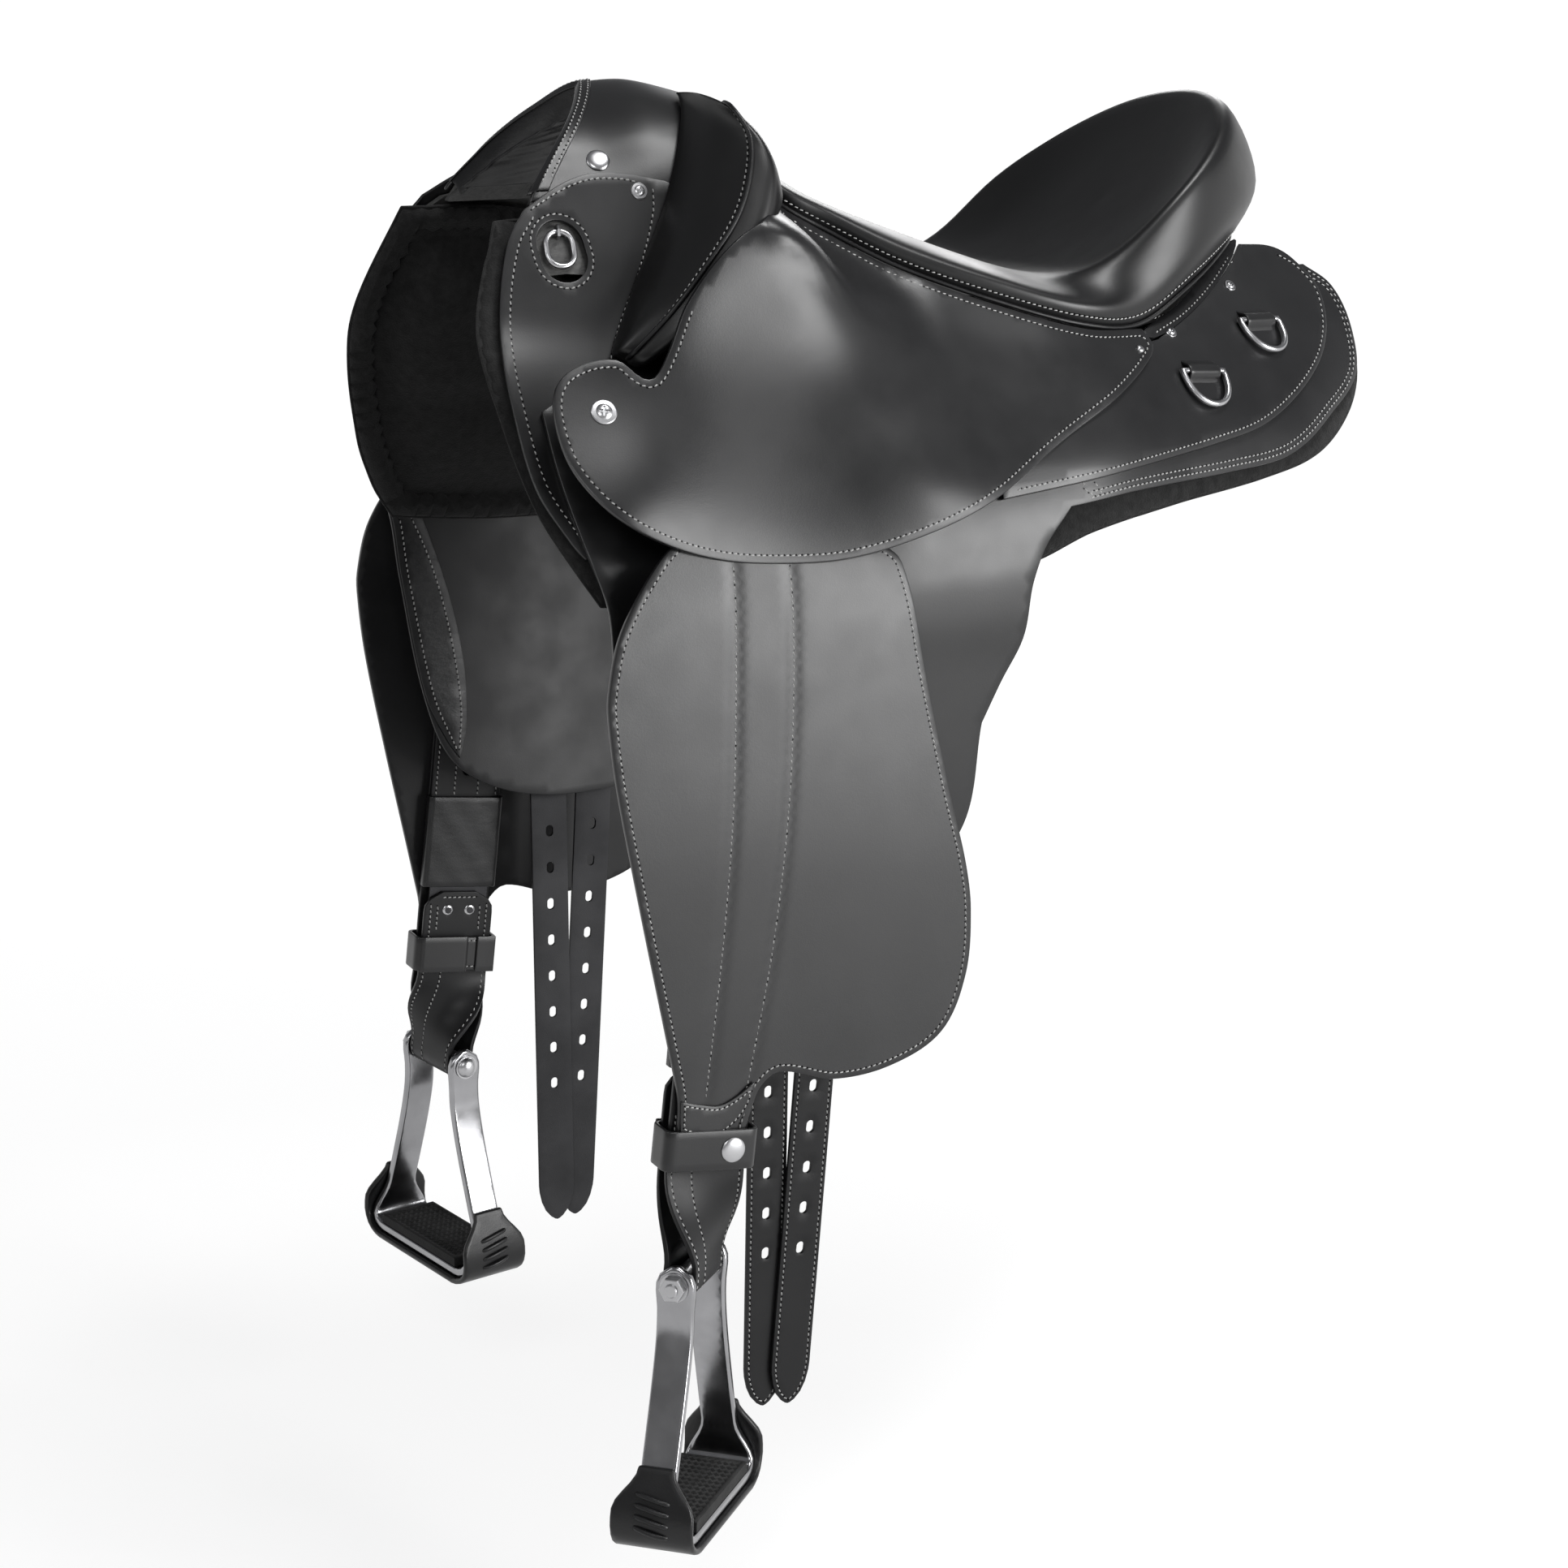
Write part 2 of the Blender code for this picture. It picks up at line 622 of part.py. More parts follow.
def between(table, at):
    """Catmull-Rom through a table of points at a position counted in entries."""
    i = min(int(at), len(table) - 2)
    t = at - i
    p0, p1 = Vector(table[max(i - 1, 0)]), Vector(table[i])
    p2, p3 = Vector(table[i + 1]), Vector(table[min(i + 2, len(table) - 1)])
    return 0.5 * ((2 * p1) + (p2 - p0) * t + (2 * p0 - 5 * p1 + 4 * p2 - p3) * t * t
                  + (3 * p1 - p0 - 3 * p2 + p3) * t ** 3)


def pad_ring(at):
    front, rear = between(PAD_FRONT, at), between(PAD_REAR, at)
    outer = []
    for table in (PAD_PIPING, PAD_RIM, PAD_BACK):
        x, y, z = between(table, at)
        outer.append(Vector((x, -y, z)))
    piping, rim, back = outer
    first, last = pad_seat(front.x, front.y, PAD_LIFT), pad_seat(rear.x, rear.y, PAD_LIFT)
    crown = (first + piping) / 2 + Vector((-3.0, -4.0, 3.0))
    shoulder = (rim + back) / 2 + Vector((1.5, -4.0, -1.5))
    base = [pad_seat(*rear.lerp(front, share), PAD_LIFT) for share in (0.2, 0.4, 0.6, 0.8)]
    return [first, crown, piping, rim, shoulder, back, last] + base


def make_knee_pads():
    count = (len(PAD_FRONT) - 1) * PAD_STEPS
    rings = [pad_ring(k / PAD_STEPS) for k in range(count + 1)]
    pair("knee_pad", [loft(rings)], "grained_leather")


# The seat: cover, foam and moulded tree seat

SEAT_BASE = ((50, 0, 90), (50, 30, 88), (50, 60, 80), (58, None, 66), (86, None, 50), (127, None, 28),
             (181, None, 8), (238, None, -8), (285, None, -11), (330, 108, 9), (372, 80, 27), (402, 45, 36),
             (416, 0, 39))
SEAT_ROLL = ((46, 0, 98), (47, 32, 95), (48, 62, 87), (58, None, 76), (86, None, 61), (127, None, 40),
             (181, None, 21), (238, None, 6), (287, None, 8), (338, 115, 38), (385, 88, 60), (421, 48, 71),
             (438, 0, 76))
SEAT_RIM = ((53, 0, 101), (55, 28, 96), (60, 52, 87), (74, 72, 74), (98, 82, 62), (135, 91, 47),
            (182, 99, 30), (228, 104, 18), (272, 113, 31), (318, 114, 68), (358, 95, 97), (389, 55, 119),
            (402, 0, 127))
SEAT_INNER = ((62, 0, 90), (66, 20, 85), (76, 38, 75), (95, 52, 65), (120, 60, 55), (152, 65, 44),
              (192, 69, 31), (235, 76, 17), (275, 84, 17), (310, 86, 38), (342, 72, 68), (365, 38, 92),
              (374, 0, 101))
SEAT_CENTRE = ((82, 0, 71), (88, 6, 68), (98, 9, 63), (115, 10, 57), (135, 10, 51), (160, 10, 43),
               (192, 10, 32), (225, 12, 20), (256, 14, 14), (282, 12, 18), (302, 10, 30), (314, 6, 39),
               (318, 0, 42))
SEAT_ROLL_OUT = 3.0
SEAT_AROUND = 20
SEAT_ACROSS = 2


def jockey_middle(x, z):
    return (jockey_inner(x, z) + jockey_outer(x, z)) / 2


def seat_half(points, out):
    """Half ring with its seam points set over the jockey's top edge."""
    placed = []
    for (x, y, z), (_, _, seam_z) in zip(points, SEAT_BASE):
        placed.append(Vector((x, y if y is not None else jockey_middle(x, seam_z) + out, z)))
    return placed


def smooth_half(points, count):
    """Even points along a half ring that meets the centre plane squarely."""
    mirror_a = Vector((points[1].x, -points[1].y, points[1].z))
    mirror_b = Vector((points[-2].x, -points[-2].y, points[-2].z))
    full = [mirror_a] + list(points) + [mirror_b]
    fine = []
    for i in range(1, len(full) - 2):
        p0, p1, p2, p3 = full[i - 1:i + 3]
        for k in range(8):
            t = k / 8
            fine.append(0.5 * ((2 * p1) + (p2 - p0) * t + (2 * p0 - 5 * p1 + 4 * p2 - p3) * t * t
                               + (3 * p1 - p0 - 3 * p2 + p3) * t ** 3))
    fine.append(points[-1].copy())
    picked = []
    for k in range(count + 1):
        at = k / count * (len(fine) - 1)
        i = min(int(at), len(fine) - 2)
        picked.append(fine[i].lerp(fine[i + 1], at - i))
    return picked


def full_ring(half):
    return half + [Vector((p.x, -p.y, p.z)) for p in reversed(half[1:-1])]


def seat_rings():
    """Rings of the seat's upper face, from the seam in to the centre."""
    halves = [seat_half(SEAT_BASE, 0.0), seat_half(SEAT_ROLL, SEAT_ROLL_OUT), seat_half(SEAT_RIM, 0.0),
              seat_half(SEAT_INNER, 0.0), seat_half(SEAT_CENTRE, 0.0)]
    halves = [smooth_half(h, SEAT_AROUND) for h in halves]
    rings = []
    for i in range(len(halves) - 1):
        for k in range(SEAT_ACROSS):
            t = k / SEAT_ACROSS
            h0, h1 = halves[max(i - 1, 0)], halves[i]
            h2, h3 = halves[i + 1], halves[min(i + 2, len(halves) - 1)]
            rings.append([0.5 * ((2 * b) + (c - a) * t + (2 * a - 5 * b + 4 * c - d) * t * t
                                 + (3 * b - a - 3 * c + d) * t ** 3)
                          for a, b, c, d in zip(h0, h1, h2, h3)])
    rings.append(halves[-1])
    return [full_ring(r) for r in rings]


def ring_normals(rings):
    """Upward or outward direction at each point of the ring grid."""
    count = len(rings[0])
    normals = []
    for r, ring in enumerate(rings):
        row = []
        for k in range(count):
            around = ring[(k + 1) % count] - ring[k - 1]
            across = rings[min(r + 1, len(rings) - 1)][k] - rings[max(r - 1, 0)][k]
            row.append(around.cross(across).normalized())
        normals.append(row)
    middle = normals[len(rings) - 2][count // 4]
    if middle.z < 0:
        normals = [[-n for n in row] for row in normals]
    return normals


def seat_sheet(upper, lower):
    """Closed sheet between two ring grids, open at neither the middle nor the rim."""
    count = len(upper[0])
    half = count // 2
    rows = len(upper)
    points = [p for ring in upper + lower for p in ring]
    faces = []
    for side, turn in ((0, 1), (rows * count, -1)):
        sheet = []
        for r in range(rows - 1):
            for k in range(count):
                a, b = side + r * count + k, side + r * count + (k + 1) % count
                sheet += [(a, b, b + count), (a, b + count, a + count)]
        last = side + (rows - 1) * count
        for k in range(half):
            mirror = last + (count - k) % count
            sheet += [(last + k, last + k + 1, last + count - k - 1), (last + k, last + count - k - 1, mirror)]
        faces += [f[::turn] for f in sheet if len(set(f)) == 3]
    low = rows * count
    faces += [((k + 1) % count, k, low + k, low + (k + 1) % count) for k in range(count)]
    return points, faces


def make_seat():
    """Stitched cover over foam, over the moulded tree seat; each follows the one above."""
    rings = seat_rings()
    normals = ring_normals(rings)
    rim = 2 * SEAT_ACROSS + 1

    def dropped(depth, first):
        rows = []
        for r in range(first, len(rings)):
            row = []
            for p, n in zip(rings[r], normals[r]):
                if r < rim:
                    row.append(p - n * depth)
                else:
                    row.append(p - Vector((0, 0, depth / max(n.z, 0.5))))
            rows.append(row)
        return rows

    add("seat_cover", [seat_sheet(rings, dropped(SEAT_COVER_T, 0))], "smooth_leather", smooth_angle=50)
    foam_top = SEAT_COVER_T + GAP
    foam_low = foam_top + SEAT_FOAM_T
    add("seat_foam", [seat_sheet(dropped(foam_top, rim), dropped(foam_low, rim))], "foam")
    seat_top = foam_low + GAP
    add("tree_seat", [seat_sheet(dropped(seat_top, rim), dropped(seat_top + TREE_SEAT_T, rim))],
        "fibreglass")


# The girth webs and girth points

GIRTH_WEB_OUTLINE = ((50, -44, True), (76, -44, True), (78, -80), (76, -114.5, True), (-4, -114.5, True),
                     (-4, -102), (4, -94), (30, -88), (48, -70))
GIRTH_WEB_T = 2.0
GIRTH_PLACES = {"front": ((10, -116), (6, -655)), "rear": ((60, -116), (21, -655))}
GIRTH_FIRST_HOLE = 256.0


def girth_face(which, z):
    """Half breadth of a girth point's middle."""
    return through(GIRTH_LINES[which], z)


def make_girth(parents):
    web_in, web_out = FLAP_OUT + LAYER_GAP, FLAP_OUT + LAYER_GAP + GIRTH_WEB_T
    pair("girth_web", [slab(curve(GIRTH_WEB_OUTLINE), lambda x, z: free_flap(x, z) + web_step(web_in, x, z),
                            lambda x, z: free_flap(x, z) + web_step(web_out, x, z), grid=(30, 14))],
         "smooth_leather")
    for which, (top, low) in GIRTH_PLACES.items():
        lean = math.atan2(low[0] - top[0], top[1] - low[1])
        length = math.hypot(low[0] - top[0], top[1] - low[1])
        half = GIRTH_W / 2
        drops = [0, 6, 12, 19, 27, 36, 50, 65, 85, 110, 140, 185, 230, 304, 384, length - 25]
        outline = [(half, -drop) for drop in drops]
        outline += [(half * 0.85, -length + 14), (half * 0.45, -length + 4), (0, -length),
                    (-half * 0.45, -length + 4), (-half * 0.85, -length + 14)]
        outline += [(-half, -drop) for drop in reversed(drops)]

        def placed(u, v, depth, lean=lean, top=top):
            x = top[0] + u * math.cos(lean) - v * math.sin(lean)
            z = top[1] + u * math.sin(lean) + v * math.cos(lean)
            return (x, -(girth_face(which, z) + depth), z)

        holes = [oval(0, -GIRTH_FIRST_HOLE - k * GIRTH_PITCH, GIRTH_HOLE_L, GIRTH_HOLE_W, 6)
                 for k in range(GIRTH_HOLES)]
        shape = slab([Vector(p) for p in outline], lambda u, v: -GIRTH_T / 2, lambda u, v: GIRTH_T / 2,
                     holes=holes, grid=(900, 900), place=placed)
        pair(f"girth_point_{which}", [shape], "smooth_leather", parents[which])


def web_step(offset, x, z):
    return (offset - FLAP_IN) * stretch(free_flap, x, z)


# The fender, hanger, stirrup leather and its buckle, keeper and loop

FENDER_OUTLINE = ((-50, -99, True), (-76, -118), (-101, -154), (-110, -189), (-110, -207), (-106, -244),
                  (-94, -311), (-75, -409), (-72, -429), (-74, -454, True), (-33, -459, True), (-26, -440),
                  (-20, -427), (-8, -420), (28, -430), (66, -427), (99, -411), (115, -378), (118, -338),
                  (114, -308), (104, -268), (88, -194), (76, -129), (66, -119), (40, -104, True), (0, -93))
HANGER_LINE = ((-14, 131.5), (0, 131.5), (9, 131.5), (15, 134.0), (34, 150.2), (44, 157.0), (54, 164.2))
HANGER_T = 3.0
HANGER_OUTLINE = ((-11, -2), (-8, 8), (0, 11.5), (8, 8), (11, -2), (16, -14), (33, -27, True), (33, -50, True),
                  (-33, -50, True), (-33, -27, True), (-16, -14))
HANGER_SLOT = ((-26.5, -31), (26.5, -31), (26.5, -42), (-26.5, -42))
STRAP_HOLE_R = 3.6
STRAP_HOLES = (257, 282.5, 308, 333.5, 359, 384.5)
BUCKLE_STUDS = (359, 384.5)
INNER_END = 412.0
LOWER_END = 419.0
LOOP_TOP = 446.0
SLEEVE_SPAN = (BUCKLE_STUDS[0] - 7, 416)
HOBBLE_SPAN = (451, 475)
HOBBLE_T = 2.5
WRAP_R = ROLLER_R + GAP + STRAP_T / 2


def fender_depth(length, depth):
    """Half breadth at a depth below the fender's outer face."""
    slope = (fender_line(length + 1) - fender_line(length - 1)) / 2
    return fender_line(length) - depth * math.sqrt(1 + slope * slope)


def under_fender(depth):
    return lambda x, z: fender_depth(along_fender(x, z), depth)


class Lane:
    """Directions along, across and out of the strap on one side."""

    def __init__(self, side):
        self.sign = SIDES[side]
        self.turn = STIRRUP_TURN[side]
        self.down = Vector((-math.sin(FENDER_LEAN), 0, -math.cos(FENDER_LEAN)))
        self.across = Vector((math.cos(FENDER_LEAN), 0, -math.sin(FENDER_LEAN)))
        self.out = Vector((0, self.sign, 0))

    def at(self, length, u, depth):
        return self.down * length + self.across * u + self.out * fender_depth(length, depth)

    def normal(self, length):
        slope = (fender_line(length + 1) - fender_line(length - 1)) / 2
        return (self.out - self.down * slope).normalized()

    def twist(self, length):
        """Width direction and outward direction of the strap below the buckle."""
        a = self.turn * ease(478, 532, length)
        width = -self.across * math.cos(a) + self.out * math.sin(a)
        return width, self.out * math.cos(a) + self.across * math.sin(a)

    def loop_middle(self, length):
        depth = LOOP_DEPTH - (LOOP_DEPTH - PIN_DEPTH) * ease(LOOP_TOP, 530, length)
        return self.down * length + self.out * (fender_line(length) - depth)

    def pin(self):
        return self.loop_middle(STIRRUP_DROP)

    def bolt_axis(self):
        return self.twist(STIRRUP_DROP)[0]


LEATHER_RIVET = 432.0
BUCKLE_T = 1.6
SLEEVE_T = 1.2
HOBBLE_FACE = -GAP - HOBBLE_T / 2
OUTER_LEG = FENDER_T + LAYER_GAP + STRAP_T / 2
INNER_LEG = OUTER_LEG + STRAP_T + 2 * GAP + SLEEVE_T
PLATE_IN = INNER_LEG + STRAP_T / 2 + GAP
PLATE_OUT = PLATE_IN + BUCKLE_T
LOWER_LEG = PLATE_OUT + GAP + STRAP_T / 2
LOOP_HALF_TOP = (LOWER_LEG - OUTER_LEG) / 2
LOOP_DEPTH = (LOWER_LEG + OUTER_LEG) / 2
PIN_DEPTH = 7.8
LOOP_HALF = ((440, LOOP_HALF_TOP), (474, LOOP_HALF_TOP - 0.4), (492, 5.8), (516, 7.9), (539.5, WRAP_R))


def inner_depth(length):
    """Depth of the strap's inner leg, moved in to leave room for the sleeve."""
    at_hanger = 7.6 + GAP + STRAP_T / 2
    return at_hanger + (INNER_LEG - at_hanger) * ease(180, 290, length)


def outer_depth(length):
    at_hanger = 0.4 + STRAP_T / 2
    return at_hanger + (OUTER_LEG - at_hanger) * ease(55, 80, length)


def leather_frames(lane):
    """Middle line of the strap: inner leg up, over the hanger, down, round the roller and up."""
    frames = []

    def leg(lengths, depth, face):
        for length in lengths:
            frames.append((lane.at(length, 0, depth(length)), lane.across, lane.normal(length) * face))

    inner = [INNER_END, 408, 396, 370, 340, 300, 260, 220, 190, 165, 145, 130, 118, 106, 94, 82, 70, 60, 50]
    leg(inner, inner_depth, -1)
    top = 42.0
    face_in, face_out = inner_depth(top), outer_depth(top)
    middle, radius = (face_in + face_out) / 2, (face_in - face_out) / 2
    for k in range(7):
        a = math.pi * k / 6
        point = lane.at(top, 0, middle) - lane.normal(top) * radius * math.cos(a)
        tangent = lane.normal(top).cross(lane.across)
        if tangent.dot(lane.down) > 0:
            tangent.negate()
        point += tangent * radius * math.sin(a)
        frames.append((point, lane.across, (-lane.normal(top) * math.cos(a) + tangent * math.sin(a))))
    outer = [50, 58, 66, 74, 82, 94, 106, 118, 130, 145, 165, 190, 220, 260, 310, 360, 410, LOOP_TOP]
    leg(outer, outer_depth, 1)
    turning = [454, 462, 470, 477, 484, 491, 498, 505, 512, 519, 526, 533]
    for length in turning:
        width, normal = lane.twist(length)
        half = through(LOOP_HALF, length)
        frames.append((lane.loop_middle(length) + normal * half, -width, normal))
    width, normal = lane.twist(STIRRUP_DROP)
    for k in range(11):
        a = math.pi * k / 10
        face = normal * math.cos(a) + lane.down * math.sin(a)
        frames.append((lane.pin() + face * WRAP_R, -width, face))
    for length in reversed(turning):
        width, normal = lane.twist(length)
        half = through(LOOP_HALF, length)
        frames.append((lane.loop_middle(length) - normal * half, -width, -normal))
    for length in (LOOP_TOP, 436, 428, 424, 421, LOWER_END):
        frames.append((lane.at(length, 0, LOWER_LEG), lane.across, -lane.normal(length)))
    return frames


def strap_sheet(frames, half_widths, thickness, holes=()):
    """Closed strap through frames of (middle, width direction, face direction)."""
    stations = [0.0]
    for a, b in zip(frames, frames[1:]):
        stations.append(stations[-1] + (b[0] - a[0]).length)
    loop = [Vector((-w, s)) for w, s in zip(half_widths, stations)]
    loop += [Vector((w, s)) for w, s in reversed(list(zip(half_widths, stations)))]

    def placed(u, s, depth):
        i = max(0, min(bisect_right(stations, s) - 1, len(stations) - 2))
        t = (s - stations[i]) / (stations[i + 1] - stations[i])
        middle, width, face = (a.lerp(b, t) for a, b in zip(frames[i], frames[i + 1]))
        return middle + width * u + face.normalized() * depth

    cut = [[Vector((u + dx, stations[0] + s + dy)) for dx, dy in ring] for u, s, ring in holes]
    return slab(loop, lambda u, s: -thickness / 2, lambda u, s: thickness / 2, holes=cut, grid=(900, 900),
                place=placed)


def flat_ring(path, axis, width, thickness):
    """Closed band round a path: width along the axis, thickness square to the path."""
    n = Vector(axis).normalized()
    rings = []
    for i, p in enumerate(path):
        run = (path[(i + 1) % len(path)] - path[i - 1]).normalized()
        out = run.cross(n)
        rings.append([p + out * (thickness / 2) * a + n * (width / 2) * b
                      for a, b in ((-1, -1), (1, -1), (1, 1), (-1, 1))])
    points, faces = loft(rings, cap=False)
    last = len(points) - 4
    faces += [(last + k, last + (k + 1) % 4, (k + 1) % 4, k) for k in range(4)]
    return points, faces


def rounded_box(half_a, half_b, radius, steps=3):
    """Corner-rounded rectangle as (a, b) pairs."""
    corners = []
    for qa, qb, start in ((1, 1, 0), (-1, 1, 90), (-1, -1, 180), (1, -1, 270)):
        for k in range(steps + 1):
            a = math.radians(start + 90 * k / steps)
            corners.append((qa * (half_a - radius) + radius * math.cos(a),
                            qb * (half_b - radius) + radius * math.sin(a)))
    return corners


def make_fenders(parents, sleeves):
    bend_rows = [(x, z) for z in range(-166, -95, 6) for x in range(-60, 61, 30)]
    fender = slab(curve(FENDER_OUTLINE), under_fender(FENDER_T), under_fender(0), grid=(60, 26),
                  extra=bend_rows)
    pair("fender", [fender], "smooth_leather", parents)
    hanger = slab(curve(HANGER_OUTLINE, 6), lambda x, z: through(HANGER_LINE, -z) - HANGER_T / 2,
                  lambda x, z: through(HANGER_LINE, -z) + HANGER_T / 2,
                  holes=[circle(0, 0, HANGER_BOLT_R + GAP), [Vector(p) for p in HANGER_SLOT]],
                  grid=(24, 6), place=hanger_place)
    pair("hanger", [hanger], "bright_steel", parents)
    for side in SIDES:
        make_strap(side, parents[side], sleeves[side])


def hanger_place(u, v, depth):
    x = u * math.cos(FENDER_LEAN) + v * math.sin(FENDER_LEAN)
    z = -u * math.sin(FENDER_LEAN) + v * math.cos(FENDER_LEAN)
    return (x, -depth, z)


def make_strap(side, parent, sleeve_parent):
    lane = Lane(side)
    frames = leather_frames(lane)
    widths = [STRAP_W / 2] * len(frames)
    widths[0], widths[1] = 18.0, 24.0
    widths[-1], widths[-2], widths[-3] = 14.0, 20.0, 23.5
    ring = [(p.x, p.y) for p in circle(0, 0, STRAP_HOLE_R, 8)]
    travel = sum((b[0] - a[0]).length for a, b in zip(frames, frames[1:]))
    holes = [(0, INNER_END - length, ring) for length in STRAP_HOLES]
    small = [(0.84 * a, 0.84 * b) for a, b in ring]
    holes += [(u, travel - (LEATHER_RIVET - LOWER_END), small) for u in (-8, 8)]
    add(f"stirrup_leather_{side}", [strap_sheet(frames, widths, STRAP_T, holes)], "smooth_leather", parent)

    add(f"buckle_{side}", [buckle_plate(lane)], "bright_steel", parent)

    sleeve_mid = (SLEEVE_SPAN[0] + SLEEVE_SPAN[1]) / 2
    near = INNER_LEG - STRAP_T / 2 - GAP
    far = PLATE_OUT + GAP
    wall = SLEEVE_T
    path = [lane.at(sleeve_mid, a, (near + far) / 2 + b)
            for a, b in rounded_box(STRAP_W / 2 + 0.5 + wall / 2, (far - near + wall) / 2, 1.5)]
    add(f"buckle_sleeve_{side}", [flat_ring(path, lane.down, SLEEVE_SPAN[1] - SLEEVE_SPAN[0], wall)],
        "grained_leather", sleeve_parent)

    low_face = HOBBLE_FACE
    middle = (HOBBLE_SPAN[0] + HOBBLE_SPAN[1]) / 2
    deep = LOWER_LEG + STRAP_T / 2 + GAP + HOBBLE_T / 2
    path = [lane.at(middle, a, (low_face + deep) / 2 + b)
            for a, b in rounded_box(STRAP_W / 2 + 2.0 + HOBBLE_T / 2, (deep - low_face) / 2, 4.5)]
    add(f"hobble_strap_{side}", [flat_ring(path, lane.down, HOBBLE_SPAN[1] - HOBBLE_SPAN[0], HOBBLE_T)],
        "smooth_leather", parent)


def buckle_plate(lane):
    """Plate inside the sleeve: studs that enter the strap's holes, and rivets through its end."""
    low, high, half = BUCKLE_STUDS[0] - 3, LEATHER_RIVET + 9, 21
    middle = (low + high) / 2
    loop = [Vector((u, v)) for u, v in ((-half, low - middle), (half, low - middle), (half, high - middle),
                                        (-half, high - middle))]
    studs = [(0, stud - middle) for stud in BUCKLE_STUDS]
    rivets = [(u, LEATHER_RIVET - middle) for u in (-8, 8)]
    rims = [circle(u, v, r, 8) for spots in (studs, rivets) for u, v in spots for r in (2.4, 2.6)]

    def near(spots, u, v):
        return any(math.hypot(u - a, v - b) < 2.5 for a, b in spots)

    def face_out(u, v):
        return PLATE_IN - (STRAP_T * 0.9 if near(studs, u, v) else 0.0)

    def face_in(u, v):
        return PLATE_OUT + (STRAP_T + 2 * GAP + 0.8 if near(rivets, u, v) else 0.0)

    return slab(loop, face_out, face_in, grid=(900, 900), rims=rims,
                place=lambda u, v, depth: lane.at(middle + v, u, depth))


# The stirrups

STIRRUP_PATH = ((30, -12), (30, 0), (29.5, 14), (30.5, 30), (37, 55), (49, 90), (58, 115), (61.5, 129),
                (60.5, 138), (52, 143))
STIRRUP_FLAT_S = 143.0
EYE_R = 12.0
NUT_R = 7.6
BRANCH_HALF = 11.0
COVER_HALF = 25.0


class Stirrup:
    """Stirrup frame on one side: across its bolt, down, and through."""

    def __init__(self, side):
        lane = Lane(side)
        self.pin = lane.pin()
        self.wide = lane.bolt_axis()
        fall = Vector((0, 0, -1))
        self.fall = (fall - self.wide * fall.dot(self.wide)).normalized()
        self.through = self.wide.cross(self.fall)

    def at(self, w, s, t):
        return self.pin + self.wide * w + self.fall * s + self.through * t


def stirrup_line(first, outset):
    """Half of the U from a height down, moved outward, then mirrored to the other side."""
    fine = curve(STIRRUP_PATH, 9, closed=False)
    half = []
    for i, p in enumerate(fine):
        run = (fine[min(i + 1, len(fine) - 1)] - fine[max(i - 1, 0)]).normalized()
        if i == len(fine) - 1:
            run = Vector((-1, 0))
        out = Vector((run.y, -run.x))
        if p.y >= first:
            half.append((p + out * outset, out))
    flat = [(Vector((w, STIRRUP_FLAT_S + outset)), Vector((0, 1))) for w in (30, 0, -30)]
    other = [(Vector((-p.x, p.y)), Vector((-o.x, o.y))) for p, o in reversed(half)]
    return half + flat + other


def make_stirrups(parents):
    for side in SIDES:
        stirrup = Stirrup(side)
        parent = parents[side]

        def frames(line):
            return [(stirrup.at(p.x, p.y, 0), stirrup.through,
                     (stirrup.wide * o.x + stirrup.fall * o.y)) for p, o in line]

        line = stirrup_line(-100, 0)
        widths = []
        for p, _ in line:
            if p.y < 0:
                widths.append(max(3.0, math.sqrt(max(0.0, EYE_R ** 2 - p.y ** 2))))
            else:
                widths.append(BRANCH_HALF + (EYE_R - BRANCH_HALF) * (1 - ease(0, 16, p.y))
                              + (COVER_HALF - 3 - BRANCH_HALF) * ease(112, 140, p.y))
        total = sum((b[0] - a[0]).length for a, b in zip(line, line[1:]))
        eye = [((BOLT_R + GAP) * math.cos(math.pi * k / 6), (BOLT_R + GAP) * math.sin(math.pi * k / 6))
               for k in range(12)]
        shape = strap_sheet(frames(line), widths, STIRRUP_BAR_T,
                            [(0, EYE_R, eye), (0, total - EYE_R, eye)])
        add(f"stirrup_frame_{side}", [shape], "aluminium", parent)

        outset = STIRRUP_BAR_T / 2 + GAP + TREAD_COVER_T / 2 + 0.2
        line = stirrup_line(102, outset)
        widths = [10 + (COVER_HALF - 10) * ease(0, 0.55, min(p.y - 102, 40) / 40) for p, _ in line]
        add(f"tread_cover_{side}", [strap_sheet(frames(line), widths, TREAD_COVER_T)], "grained_leather",
            parent)

        top = STIRRUP_FLAT_S - STIRRUP_BAR_T / 2 - GAP - RUBBER_T
        points = [stirrup.at(w, s, t) for w in (-TREAD_L, TREAD_L) for s in (top, top + RUBBER_T)
                  for t in (-COVER_HALF + 4, COVER_HALF - 4)]
        faces = [(0, 1, 3, 2), (4, 6, 7, 5), (0, 4, 5, 1), (2, 3, 7, 6), (0, 2, 6, 4), (1, 5, 7, 3)]
        add(f"tread_pad_{side}", [(points, faces)], "rubber", parent)

        eye_face = 30 + STIRRUP_BAR_T / 2 + GAP
        sleeve = STRAP_W / 2 + 0.8
        round_part = ((-eye_face - 5, 3.0), (-eye_face - 3.6, 6.4), (-eye_face, 7.0), (-eye_face, BOLT_R),
                      (-sleeve, BOLT_R), (-sleeve, ROLLER_R), (sleeve, ROLLER_R), (sleeve, BOLT_R),
                      (eye_face, BOLT_R))
        nut_part = ((eye_face, NUT_R), (eye_face + 5.5, NUT_R), (eye_face + 5.5, BOLT_R),
                    (eye_face + 7.5, BOLT_R))
        add(f"stirrup_bolt_{side}", [bolt_with_nut(stirrup, round_part, nut_part)], "bright_steel", parent)


